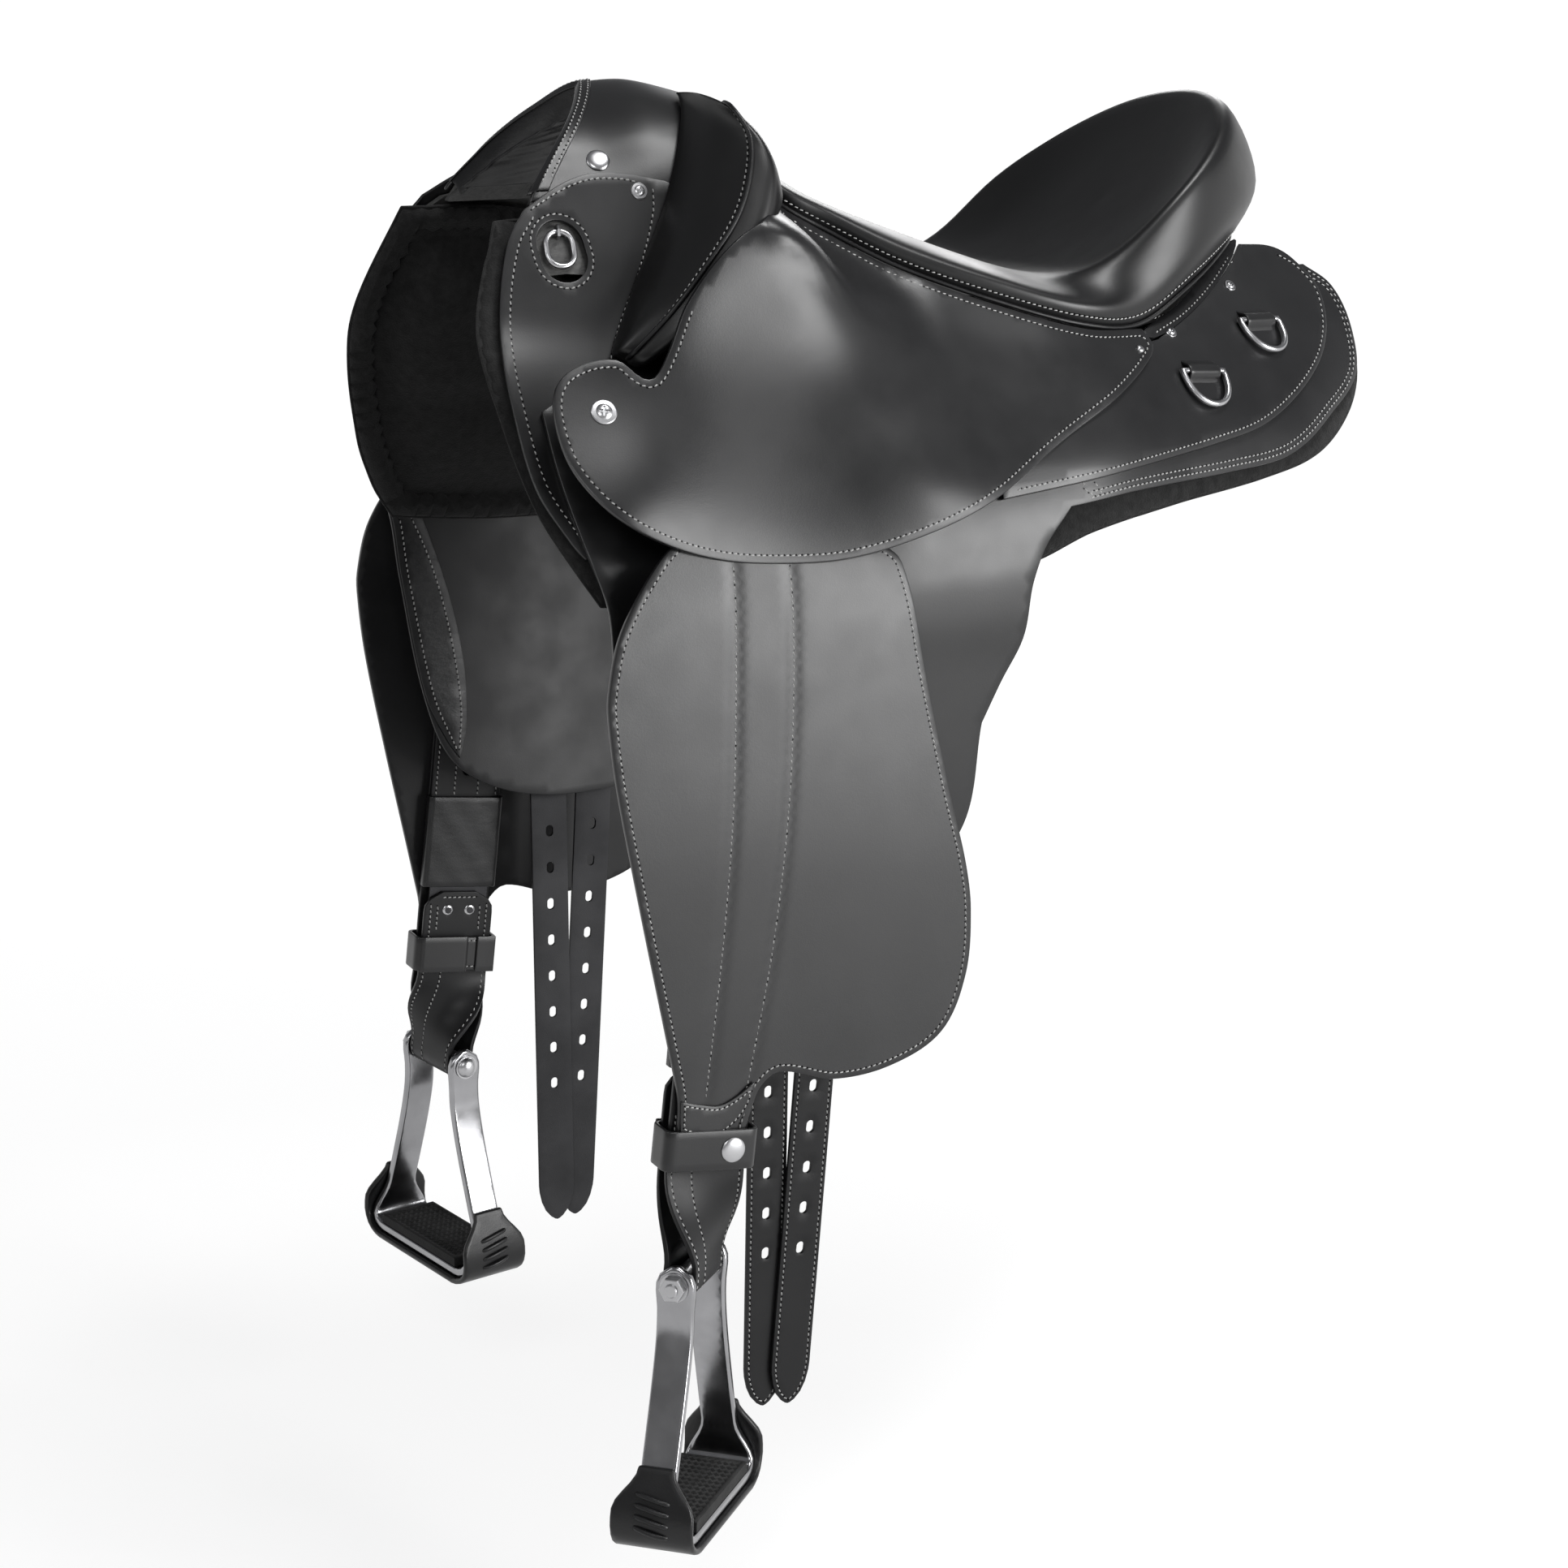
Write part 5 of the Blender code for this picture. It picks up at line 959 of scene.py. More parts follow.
def girth_point(which):
    """One strap, laid along its curve in side view, with its holes and its two rows."""
    top, low = GIRTH_PLACES[which]
    lean = math.atan2(low[0] - top[0], top[1] - low[1])
    length = math.hypot(low[0] - top[0], top[1] - low[1])
    half = [Vector((GIRTH_HALF, -d)) for d in np.linspace(0, length - GIRTH_TIP_L, 150)]
    half += [Vector((u, d - length)) for u, d in GIRTH_TIP]
    outline = half + [Vector((-p.x, p.y)) for p in half[-2::-1]]

    def place(u, v):
        x = top[0] + u * math.cos(lean) - v * math.sin(lean)
        z = top[1] + u * math.sin(lean) + v * math.cos(lean)
        return np.stack([x, -(through(*zip(*GIRTH_LINES[which]), z) + GIRTH_T / 2), z], 1)

    holes = [oval(0, -256 - 26 * k, 7.8, 5.2, 20) for k in range(8)]
    piece = sheet(f"girth_point_{which}_left", outline, place, GIRTH_T, STRAP, holes, grid=6, edge=0.5)
    darken_inside(piece, FLESH)
    both_sides(f"girth_point_{which}", piece, "smooth_leather", which + "_girth_{}")
    edge = sorted((p for p in inset_line(outline, 2.6) if p.y < -4), key=lambda p: -p.y)
    stitched(f"girth_{which}_stitches", place, [p for p in edge if p.x >= 0], [p for p in edge if p.x < 0],
             body_name=which + "_girth_{}")


for which in GIRTH_PLACES:
    girth_point(which)

# %% [markdown]
# The panels are stuffed serge bags: flat against the facing, a rolled border all round their inner
# face, and a crown that bears on the horse. The inner face is a depth below the outer one that depends
# on the distance from the edge, so extra rows of points follow the edge to draw the roll.

# %% Panels
PANEL_OUTLINE = ((-118, 60, True), (-139, 6), (-140, -28), (-127, -89), (-111, -124), (-97, -146, True),
    (-20, -152), (80, -150), (173, -140), (218, -125), (285, -115), (364, -107), (423, -97), (463, -77),
    (483, -54), (487, -25), (478, 2), (455, 16), (400, 6), (350, -14), (290, -22), (220, -20), (150, -8),
    (90, 16), (40, 34), (-20, 52), (-70, 60))
PANEL_RECESS = 9.1
BORDER_R = 7.0


def tree_zone(x, z):
    return ease(-120, -104, x) * (1 - ease(320, 360, x)) * ease(-65, -52, z)


def slab_piece(name, loop, outer, inner, finish, seeds, grid):
    """Closed slab between two faces given as half breadths, with rows of extra points inside its outline."""
    flat, tris = filled(loop, (), grid)
    rim = len(loop)
    added = np.array([tuple(p) for line in seeds for p in line])
    near = np.array([np.min(np.hypot(*(added - q).T)) for q in flat[rim:]])
    points = [Vector(p) for p in np.concatenate([flat[:rim], added, flat[rim:][near > 0.45 * grid]])]
    flat, tris = triangulated(points, [(i, (i + 1) % rim) for i in range(rim)])
    count = len(flat)
    x, z = flat[:, 0], flat[:, 1]
    points = np.concatenate([np.stack([x, -face(x, z), z], 1) for face in (outer, inner)])
    sides = dict.fromkeys(pair for a, b, c in tris for pair in ((a, b), (b, c), (c, a)))
    faces = list(tris) + [tuple(i + count for i in f[::-1]) for f in tris]
    faces += [(b, a, a + count, b + count) for a, b in sides if (b, a) not in sides]
    return welded(new_piece(name, points, faces, finish))


def panel_depth(x, z, loop):
    d = edge_distance(np.stack([x, z], 1), loop)
    share = np.clip(1 - d / BORDER_R, -1, 1)
    roll = 3.5 + 9.0 * np.sqrt(1 - share ** 2)
    crown = 4.5 + 20.5 * ease(2 * BORDER_R - 1.5, 60, d) ** 0.75
    return np.where(d < 2 * BORDER_R, np.maximum(roll, 4.5), crown)


panel_line = smooth_line(PANEL_OUTLINE, 5)
panel_rows = [inset_line(panel_line, d)[::2] for d in (0.7, 2, 4, 7, 10, 12, 13.4, 14.6, 17, 21)]


def panel_outer(x, z):
    d = edge_distance(np.stack([x, z], 1), panel_line)
    round_off = 3.2 * (1 - np.sqrt(1 - np.clip(1 - d / 5.0, 0, 1) ** 2))
    return body(x, z) - (0.2 + round_off + PANEL_RECESS * tree_zone(x, z)) * stretch(body, x, z)


def panel_inner(x, z):
    depth = panel_depth(x, z, panel_line) + 0.7 * PANEL_RECESS * tree_zone(x, z)
    return body(x, z) - depth * stretch(body, x, z)


panel = slab_piece("panel_left", panel_line, panel_outer, panel_inner, SERGE, panel_rows, 8)
finish_mesh(panel, rounded(0.8, 2, 55), angle=75)
both_sides("panel", panel, "serge")

# %% [markdown]
# A strip of felt shows between the facing and the stuffed panel along the front and the back edge.

# %% Felt layer
felt = sheet("panel_felt_left", inset_line(panel_line, -1.2), lay_on(lambda x, z: panel_outer(x, z) - 1.6),
             2.4, SERGE, grid=12, edge=0.8)
for piece in both_sides("panel_felt", felt, "serge", nodes=()):
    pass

# %% [markdown]
# The pommel is an arch about a level line. Its layers from outside in are the cover, the moulded tree,
# the steel gullet plate and the soft lining. Cover and lining are grids of points from front edge to back edge.

# %% Arch surfaces
MM_PER_DEGREE = 1.257
ARCH_RADIUS = {
    -100: ((0, 77), (30, 66), (60, 66), (90, 73)),
    -50: ((0, 83), (30, 71), (60, 69), (90, 74)),
    -10: ((0, 86), (30, 78), (60, 75), (90, 77)),
    25: ((0, 87), (30, 79), (60, 72), (90, 70)),
    50: ((0, 86), (30, 74), (60, 60), (90, 58)),
}
ARCH_FRONT = ((0, -99), (12, -91), (30, -76), (50, -59), (70, -45), (90, -34))


def folded(angle):
    return np.minimum(angle, 180 - angle)


def arch_radius(x, angle):
    x, angle = floats(x, angle)
    knots = sorted(ARCH_RADIUS.items())
    shape = x.shape
    radii = np.array([through(*zip(*k), folded(angle).ravel()) for _, k in knots])
    return through([s for s, _ in knots], radii, x.ravel()).reshape(shape)


def arch_point(x, angle, offset=0.0):
    """Points on the arch; the angle runs from level on the near side, 90 on top, to 180 on the off side."""
    x, angle = floats(x, angle)
    a, r = np.radians(angle), arch_radius(x, angle) + offset
    return np.stack([x, -r * np.cos(a), ARCH_Z + r * np.sin(a)], -1)


def arch_front(angle):
    return through(*zip(*ARCH_FRONT), folded(angle).ravel()).reshape(np.shape(angle))


def cover_back(angle):
    return 14 + 26 * ease(20, 90, folded(angle))


def arch_grid(first, last, low, offset, steps, turns):
    """Rows of points from a front line to a back line; lines are functions of the angle."""
    angle = np.linspace(low, 180 - low, turns)
    u = np.linspace(0, 1, steps)[:, None]
    x = first(angle)[None] + (last(angle) - first(angle))[None] * u
    offset = offset(u, angle[None]) if callable(offset) else offset
    return arch_point(x, np.repeat(angle[None], steps, 0), offset)


def skin(name, grid, finish):
    """Grid of points as a sheet of quads."""
    rows, cols = grid.shape[:2]
    corners = (r * cols + c for r in range(rows - 1) for c in range(cols - 1))
    faces = [(a, a + 1, a + cols + 1, a + cols) for a in corners]
    return new_piece(name, grid.reshape(-1, 3), faces, finish)


def arch_sheet(name, grid, thickness, finish, edge=0.8):
    """Grid made into leather or metal of even thickness on its inner side."""
    piece = turned_to(skin(name, grid, finish), lambda centre: Vector((0, 0, 1)))
    return thickened(piece, thickness, edge, 2, 40, 40)


# %% [markdown]
# The cover has a stitched binding round its front rim.

# %% Pommel cover
cover = arch_sheet("pommel_cover_leather", arch_grid(arch_front, cover_back, 8.5, 0.0, 26, 95), 3.0, HARNESS)
dress(cover, "saddle", "smooth_leather", "pommel_cover")


def binding_height(u, angle):
    return 0.9 - 3.4 * np.clip(0.28 - u, 0, 1) / 0.28


binding = arch_sheet("pommel_binding",
                     arch_grid(lambda a: arch_front(a) - 1.5, lambda a: arch_front(a) + 8.5, 13,
                               binding_height, 12, 91), 0.9, HARNESS, 0.3)
dress(binding, "saddle", "smooth_leather")


def arch_place(lift=0.0):
    return lambda x, s: arch_point(x, np.asarray(s) / MM_PER_DEGREE, lift)


def arch_row(x_of_angle, low, high, count=90):
    angle = np.linspace(low, high, count)
    return [Vector((x, a * MM_PER_DEGREE)) for x, a in zip(x_of_angle(angle), angle)]


rows = Stitching(away_from_arch=True)
for set_back, low in ((2.4, 17), (6.9, 19)):
    rows.row(arch_row(lambda a, d=set_back: arch_front(a) + d, low, 180 - low), arch_place(0.9))
rows.row(arch_row(lambda a: cover_back(a) - 3.5, 16, 164), arch_place(0.0))
dress(rows.make("pommel_stitches"), "saddle")
print("pommel stitches:", rows.count)

# %% [markdown]
# The lining is soft leather glued under the arch. It wrinkles where it is turned in, so its inner face
# gets a slow wave along the arch and a fine one across it.

# %% Gullet lining
def lining_wave(u, angle):
    return -16.85 + 0.35 * np.sin(angle * 0.55 + 6 * u) * np.sin(9 * u + angle * 0.07)


lining = arch_sheet("gullet_lining_leather",
                    arch_grid(lambda a: arch_front(a) + 0.6, lambda a: 8 + 0 * a, 14, lining_wave, 40, 121),
                    2.0, LINING, 0.5)
dress(lining, "saddle", "grained_leather", "gullet_lining")
rim = arch_sheet("gullet_rim",
                 arch_grid(lambda a: arch_front(a) - 0.2, lambda a: arch_front(a) + 4.0, 13.5,
                           -3.2, 4, 91), 14.4, LINING, 1.4)
dress(rim, "saddle", "grained_leather")
print("arch triangles:", len(cover.data.polygons) + len(lining.data.polygons))

# %% [markdown]
# The seat is drawn by five half rings from the seam in to the middle: the seam, the roll, the rim, the
# foot of the dip and its bottom. A smooth curve joins them both ways. Points marked with a gap take
# their breadth from the jockey they sit on.

# %% Seat surface
SEAT_BASE = ((39, 0, 110), (31, 34, 108), (33, 62, 91), (58, None, 66), (86, None, 50), (127, None, 28),
    (181, None, 8), (238, None, -8), (285, None, -11), (330, 108, 9), (372, 80, 27), (402, 45, 36),
    (416, 0, 39))
SEAT_ROLL = ((37, 0, 118), (26, 35, 118), (27, 63, 103), (58, None, 76), (86, None, 61), (127, None, 40),
    (181, None, 21), (238, None, 6), (287, None, 8), (338, 115, 38), (385, 88, 60), (421, 48, 71),
    (438, 0, 76))
SEAT_RIM = ((47, 0, 115), (46, 30, 109), (54, 54, 92), (74, 72, 74), (98, 82, 62), (135, 91, 47),
    (182, 99, 30), (228, 104, 18), (272, 113, 31), (318, 114, 68), (358, 95, 97), (389, 55, 119),
    (402, 0, 127))
SEAT_INNER = ((60, 0, 99), (65, 20, 91), (76, 38, 75), (95, 52, 65), (120, 60, 55), (152, 65, 44),
    (192, 69, 31), (235, 76, 17), (275, 84, 17), (310, 86, 38), (342, 72, 68), (365, 38, 92), (374, 0, 101))
SEAT_CENTRE = ((82, 0, 71), (88, 6, 68), (98, 9, 63), (115, 10, 57), (135, 10, 51), (160, 10, 43),
    (192, 10, 32), (225, 12, 20), (256, 14, 14), (282, 12, 18), (302, 10, 30), (314, 6, 39), (318, 0, 42))
SEAT_AROUND, SEAT_ACROSS = 72, 7
SEAT_RIM_ROWS, OFF_SIDE = 2 * SEAT_ACROSS + 1, np.array([1, -1, 1])


def catmull(table, at):
    """Points at positions counted in entries of a table."""
    table = np.asarray(table, float)
    i = np.clip(at.astype(int), 0, len(table) - 2)
    t = (at - i).reshape(at.shape + (1,) * (table.ndim - 1))
    p0, p1 = table[np.maximum(i - 1, 0)], table[i]
    p2, p3 = table[i + 1], table[np.minimum(i + 2, len(table) - 1)]
    return 0.5 * (2 * p1 + (p2 - p0) * t + (2 * p0 - 5 * p1 + 4 * p2 - p3) * t ** 2
                  + (3 * p1 - p0 - 3 * p2 + p3) * t ** 3)


def jockey_middle(x, z):
    return float(((jockey_inner(x, z) + jockey_outer(x, z)) / 2)[0])


def seat_half(points, out=0.0):
    placed = np.array([(x, y if y is not None else jockey_middle(x, base[2]) + out, z)
                       for (x, y, z), base in zip(points, SEAT_BASE)])
    full = np.concatenate([placed[1:2] * OFF_SIDE, placed, placed[-2:-1] * OFF_SIDE])
    return catmull(full, 1 + np.linspace(0, len(placed) - 1, SEAT_AROUND + 1))


def seat_surface():
    halves = np.array([seat_half(SEAT_BASE), seat_half(SEAT_ROLL, 3.0), seat_half(SEAT_RIM),
                       seat_half(SEAT_INNER), seat_half(SEAT_CENTRE)])
    rows = catmull(halves, np.linspace(0, 4, 4 * SEAT_ACROSS + 1))
    return np.concatenate([rows, rows[:, -2:0:-1] * OFF_SIDE], 1)


def ring_normals(grid):
    around = np.roll(grid, -1, 1) - np.roll(grid, 1, 1)
    n = unit(np.cross(around, np.gradient(grid, axis=0)))
    return n if n[len(grid) - 2, grid.shape[1] // 4, 2] > 0 else -n


def seat_layer(depth, first=0):
    """The seat lowered by a depth: square to the face near the rim, straight down inside."""
    low = SEAT.copy()
    low[:SEAT_RIM_ROWS] -= SEAT_N[:SEAT_RIM_ROWS] * depth
    low[SEAT_RIM_ROWS:, :, 2] -= depth / np.maximum(SEAT_N[SEAT_RIM_ROWS:, :, 2], 0.5)
    return low[first:]


def ring_faces(rows, count, shift=0, closed=False):
    """Quads between rings of points, each ring joined to the next."""
    return [(shift + r * count + k, shift + r * count + (k + 1) % count,
             shift + (r + 1) % rows * count + (k + 1) % count, shift + (r + 1) % rows * count + k)
            for r in range(rows if closed else rows - 1) for k in range(count)]


def seat_piece(name, upper, lower, finish):
    rows, count = upper.shape[:2]
    faces = []
    for shift in (0, rows * count):
        faces += ring_faces(rows, count, shift)
        last = shift + (rows - 1) * count
        faces += [tuple(dict.fromkeys((last + k, last + k + 1, last + (count - k - 1) % count,
                                       last + (count - k) % count))) for k in range(count // 2)]
    low = rows * count
    faces += [((k + 1) % count, k, low + k, low + (k + 1) % count) for k in range(count)]
    piece = new_piece(name, np.concatenate([upper.reshape(-1, 3), lower.reshape(-1, 3)]), faces, finish)
    first_calm = (rows - 1 - int(1.6 * SEAT_ACROSS)) * count
    bm = bmesh.new()
    bm.from_mesh(piece.data)
    calm = [v for v in bm.verts if v.index % (rows * count) >= first_calm]
    for _ in range(40):
        bmesh.ops.smooth_vert(bm, verts=calm, factor=0.5, use_axis_x=True, use_axis_y=True, use_axis_z=True)
    bm.to_mesh(piece.data)
    bm.free()
    return welded(piece)


SEAT = seat_surface()
SEAT_N = ring_normals(SEAT)
print("seat grid:", SEAT.shape)

# %% [markdown]
# Cover, foam and moulded seat follow one another. Only the cover shows.

# %% Seat cover and foam
cover = seat_piece("seat_leather", seat_layer(0.0), seat_layer(3.0), SEATING)
finish_mesh(cover, ("SMOOTH", {"factor": 0.5, "iterations": 6}), rounded(0.9, 2, 60), angle=60)
dress(cover, "saddle", "smooth_leather", "seat_cover")
foam = seat_piece("seat_foam_layer", seat_layer(3.4, SEAT_RIM_ROWS), seat_layer(12.4, SEAT_RIM_ROWS), FOAM)
dress(finish_mesh(foam, angle=60), "saddle", "foam", "seat_foam")
print("seat quads:", len(cover.data.polygons))

# %% [markdown]
# A round welt is sewn in between seat and jockey, with a row of stitches just above it. A tube
# is a ring of points moved along a path; a path that isn't closed gets rounded ends.

# %% Tubes, welt and seat stitches
TUBE_CAP = ((0.82, 0.45), (0.5, 0.78))


def tube(name, path, radius, finish, closed=False, sides=12):
    path = np.array([tuple(p) for p in path])
    run = unit((np.roll(path, -1, 0) - np.roll(path, 1, 0)) if closed else np.gradient(path, axis=0))
    side = np.cross(run[0], (0.21, 0.37, 0.9))
    sides_of = []
    for r in run:
        side = unit(side - r * (side @ r))
        sides_of.append(side)
    sides_of = np.array(sides_of)[:, None]
    a = np.linspace(0, 2 * np.pi, sides, endpoint=False)[None, :, None]
    rings = path[:, None] + radius * (np.cos(a) * sides_of + np.sin(a) * np.cross(run[:, None], sides_of))
    if not closed:
        front = [path[0] + (rings[0] - path[0]) * k - run[0] * radius * d for k, d in TUBE_CAP[::-1]]
        rear = [path[-1] + (rings[-1] - path[-1]) * k + run[-1] * radius * d for k, d in TUBE_CAP]
        rings = np.concatenate([front, rings, rear])
    rows = len(rings)
    faces = ring_faces(rows, sides, closed=closed)
    if not closed:
        faces += [tuple(range(sides)), tuple(range((rows - 1) * sides, rows * sides))[::-1]]
    return finish_mesh(welded(new_piece(name, rings.reshape(-1, 3), faces, finish)), angle=60)


def along_run(points, pitch):
    """Even steps along a line in space."""
    runs = travelled(points)
    at = np.linspace(0, runs[-1], max(3, int(runs[-1] / pitch)))
    return np.stack([np.interp(at, runs, points[:, i]) for i in range(3)], 1)


def space_row(stitching, points, normals):
    """Row of stitches along a line in space with an outward direction at each of its points."""
    here = along_run(points, STITCH_PITCH)
    runs = unit(np.gradient(here, axis=0))
    n = normals[[np.argmin(((points - p) ** 2).sum(1)) for p in here]]
    n = unit(n - runs * (n * runs).sum(1)[:, None])
    stitching.grains(here, n, runs)


welt_path = SEAT[0] + SEAT_N[0] * 0.6 + np.array([0, 0, 0.6])
dress(tube("seat_welt", welt_path, 1.5, LINING, closed=True), "saddle", "smooth_leather")
line, line_n = (grid[int(0.55 * SEAT_ACROSS), 10:62] for grid in (SEAT, SEAT_N))
rows = Stitching()
space_row(rows, line, line_n)
space_row(rows, line * OFF_SIDE, line_n * OFF_SIDE)
dress(rows.make("seat_stitches"), "saddle")
print("seat stitches:", rows.count)

# %% [markdown]
# A knee pad is lofted through cross sections that stand on the pommel cover above and on the facing
# below. Its front face ends in a piped edge, behind which the pad rolls over to its back.

# %% Knee pads
PAD_FRONT = ((17, 129), (16, 127), (2, 107), (-12, 81), (-26, 58), (-42, 34), (-56, 10), (-67, -10),
    (-66, -14))
PAD_PIPING = ((15, 100, 125), (13, 118, 122), (18, 131, 106), (12, 142, 84), (0, 150, 62), (-20, 156, 39),
    (-42, 157, 14), (-60, 147, -8), (-63, 137, -15))
PAD_RIM = ((22, 104, 118), (24, 127, 110), (27, 141, 92), (20, 151, 70), (6, 159, 50), (-15, 164, 30),
    (-36, 164, 6), (-57, 151, -13), (-62, 137, -17))
PAD_BACK = ((32, 80, 112), (37, 88, 104), (38, 112, 86), (35, 124, 71), (9, 138, 45), (-12, 144, 25),
    (-35, 144, 4), (-56, 137, -13), (-61, 134, -16))
PAD_REAR = ((34, 118), (38, 114), (38, 96), (36, 72), (11, 44), (-10, 24), (-33, 3), (-54, -13), (-60, -16))
PAD_LIFT, PAD_ALONG, PAD_FACE_ROWS = 1.3, 64, 15


def pad_seat(x, z):
    """What the pad rests on: the pommel cover above, the facing below."""
    low = layer(FACING_OUT + PAD_LIFT)(x, z)
    angle = np.full(len(x), 45.0)
    for _ in range(40):
        wanted = np.clip((z - ARCH_Z) / (arch_radius(x, angle) + PAD_LIFT), -0.999, 0.999)
        angle += 0.5 * (np.degrees(np.arcsin(wanted)) - angle)
    high = -arch_point(x, angle, PAD_LIFT)[..., 1]
    share = ease(72, 82, z)
    return np.stack([x, -(low * (1 - share) + high * share), z], 1)


def pad_sections():
    at = np.linspace(0, len(PAD_FRONT) - 1, PAD_ALONG)
    front, rear = catmull(PAD_FRONT, at), catmull(PAD_REAR, at)
    piping, rim, back = (catmull(t, at) * OFF_SIDE for t in (PAD_PIPING, PAD_RIM, PAD_BACK))
    tuck = np.interp(at, (0, 2, 4, 6.5, 8), (3, 5, 9, 9, 3))[:, None]
    back = back + tuck * np.array([0.62, 0, -0.4])
    rear = rear + tuck * np.array([0.95, -0.62])
    first, last = pad_seat(*front.T), pad_seat(*rear.T)
    crown = (first + piping) / 2 + np.array([-3.0, -4.0, 3.0])
    shoulder = (rim + back) / 2 + np.array([1.5, -4.0, -1.5])
    face = np.stack([first, (3 * first + piping) / 4 + [-2.0, -2.6, 2.0], crown,
                     (first + 3 * piping) / 4 + [-2.0, -3.0, 2.2], piping])
    roll = np.stack([piping, rim, shoulder, back, last])
    face = catmull(face, np.linspace(0, 4, PAD_FACE_ROWS))
    roll = catmull(roll, np.linspace(0, 4, 19))[1:]
    base = [pad_seat(*(rear + (front - rear) * s).T) for s in (0.25, 0.5, 0.75)]
    return np.concatenate([face, roll, np.stack(base)]), piping


sections, piping = pad_sections()
around, along = sections.shape[:2]
faces = [(c * along + r, ((c + 1) % around) * along + r, ((c + 1) % around) * along + r + 1, c * along + r + 1)
         for c in range(around) for r in range(along - 1)]
faces += [tuple(c * along for c in range(around)), tuple(c * along + along - 1 for c in range(around))[::-1]]
pad = welded(new_piece("knee_pad_left", sections.reshape(-1, 3), faces, SEATING))
finish_mesh(pad, ("SMOOTH", {"factor": 0.5, "iterations": 3}), rounded(1.0, 2, 60), angle=50)
both_sides("knee_pad", pad, "grained_leather")

face = sections[:PAD_FACE_ROWS]
face_n = unit(np.cross(np.gradient(face, axis=1), np.gradient(face, axis=0)))
face_n *= np.sign((face_n[PAD_FACE_ROWS // 2] * (-1, -0.6, 0.4)).sum(1).mean())
cord = tube("pad_piping_left", piping[2:-2] + (-0.4, -0.8, 0.4), 1.5, LINING)
rows = Stitching()
space_row(rows, face[-2][3:-3], face_n[-2][3:-3])
stitch_pair("pad_stitches", rows)
both_sides("pad_piping", cord, "grained_leather", nodes=())

# %% [markdown]
# Straps follow a path of frames: a middle point, the direction across the strap and the direction its
# show face looks. The strap is cut flat, holes and all, and then laid along the frames.

# %% Strap maker
def laid_strap(name, frames, half_widths, thickness, finish, holes=(), grid=6.0, edge=0.6, segments=2):
    """frames: list of (middle, across, face). Returns the piece, its place function and its length."""
    middle, across, face = (np.array([tuple(f[i]) for f in frames]) for i in range(3))
    s_at = travelled(middle)

    def blend(table, s):
        return np.stack([np.interp(s, s_at, table[:, i]) for i in range(3)], 1)

    def place(u, s, lift=0.0):
        u, s = floats(u, s)
        return blend(middle, s) + blend(across, s) * u[:, None] + unit(blend(face, s)) * (thickness / 2 + lift)

    steps = np.linspace(0, s_at[-1], max(8, int(s_at[-1] / 5)))
    half = list(zip(np.interp(steps, s_at, half_widths), steps))
    flat, tris = filled([Vector((-w, s)) for w, s in half] + [Vector(p) for p in half[::-1]], holes, grid)
    points = place(flat[:, 0], flat[:, 1])
    a, b, c = (points[list(k)] for k in zip(*tris))
    if (np.cross(b - a, c - a) * blend(face, flat[[t[0] for t in tris], 1])).sum() < 0:
        tris = [t[::-1] for t in tris]
    piece = thickened(new_piece(name, points, tris, finish), thickness, edge, segments, 55, 50)
    finish_mesh(piece, ("WEIGHTED_NORMAL", {"keep_sharp": True, "weight": 50}), angle=50)
    return piece, place, s_at[-1]


def strap_rows(stitching, place, first, last, *offsets):
    """Rows along a strap at constant offsets from its middle."""
    s = np.arange(first, last, STITCH_PITCH)
    for u in offsets:
        here = place(u, s)
        run, n = place(u, s + 1) - here, place(u, s, 1.0) - here
        side = place(u + 1.0, s) - here
        n = np.cross(side, run) * np.sign((np.cross(side, run) * n).sum(1))[:, None]
        stitching.grains(here, unit(n), run)


# %% [markdown]
# The stirrup leather runs up behind the fender, over the hanger, down again, through the buckle, and
# twists as it turns round the stirrup's bolt. Its lane is the fender's own surface at a fixed lean.

# %% Lane of the stirrup leather
STRAP_W, STRAP_T, STIRRUP_DROP = 50.0, 3.0, 539.5
STIRRUP_TURN = {"left": math.radians(47), "right": math.radians(78)}
INNER_END, LOWER_END, LOOP_TOP, LEATHER_RIVET = 412.0, 419.0, 446.0, 432.0
SLEEVE_SPAN, HOBBLE_SPAN = (352, 416), (451, 475)
OUTER_LEG = FENDER_T + LAYER_GAP + STRAP_T / 2
INNER_LEG = OUTER_LEG + STRAP_T + 2.0
PLATE_IN = INNER_LEG + STRAP_T / 2 + 0.4
LOWER_LEG = PLATE_IN + 2.0 + STRAP_T / 2
LOOP_DEPTH = (LOWER_LEG + OUTER_LEG) / 2
WRAP_R = 7.0 + 0.4 + STRAP_T / 2
LOOP_HALF_TOP = (LOWER_LEG - OUTER_LEG) / 2
LOOP_HALF = ((440, LOOP_HALF_TOP), (474, LOOP_HALF_TOP - 0.4), (492, 5.8), (516, 7.9), (539.5, WRAP_R))


def read_off(table, x):
    return float(through(*zip(*table), x)[0])


def step_up(low, high, x):
    return float(ease(low, high, x))


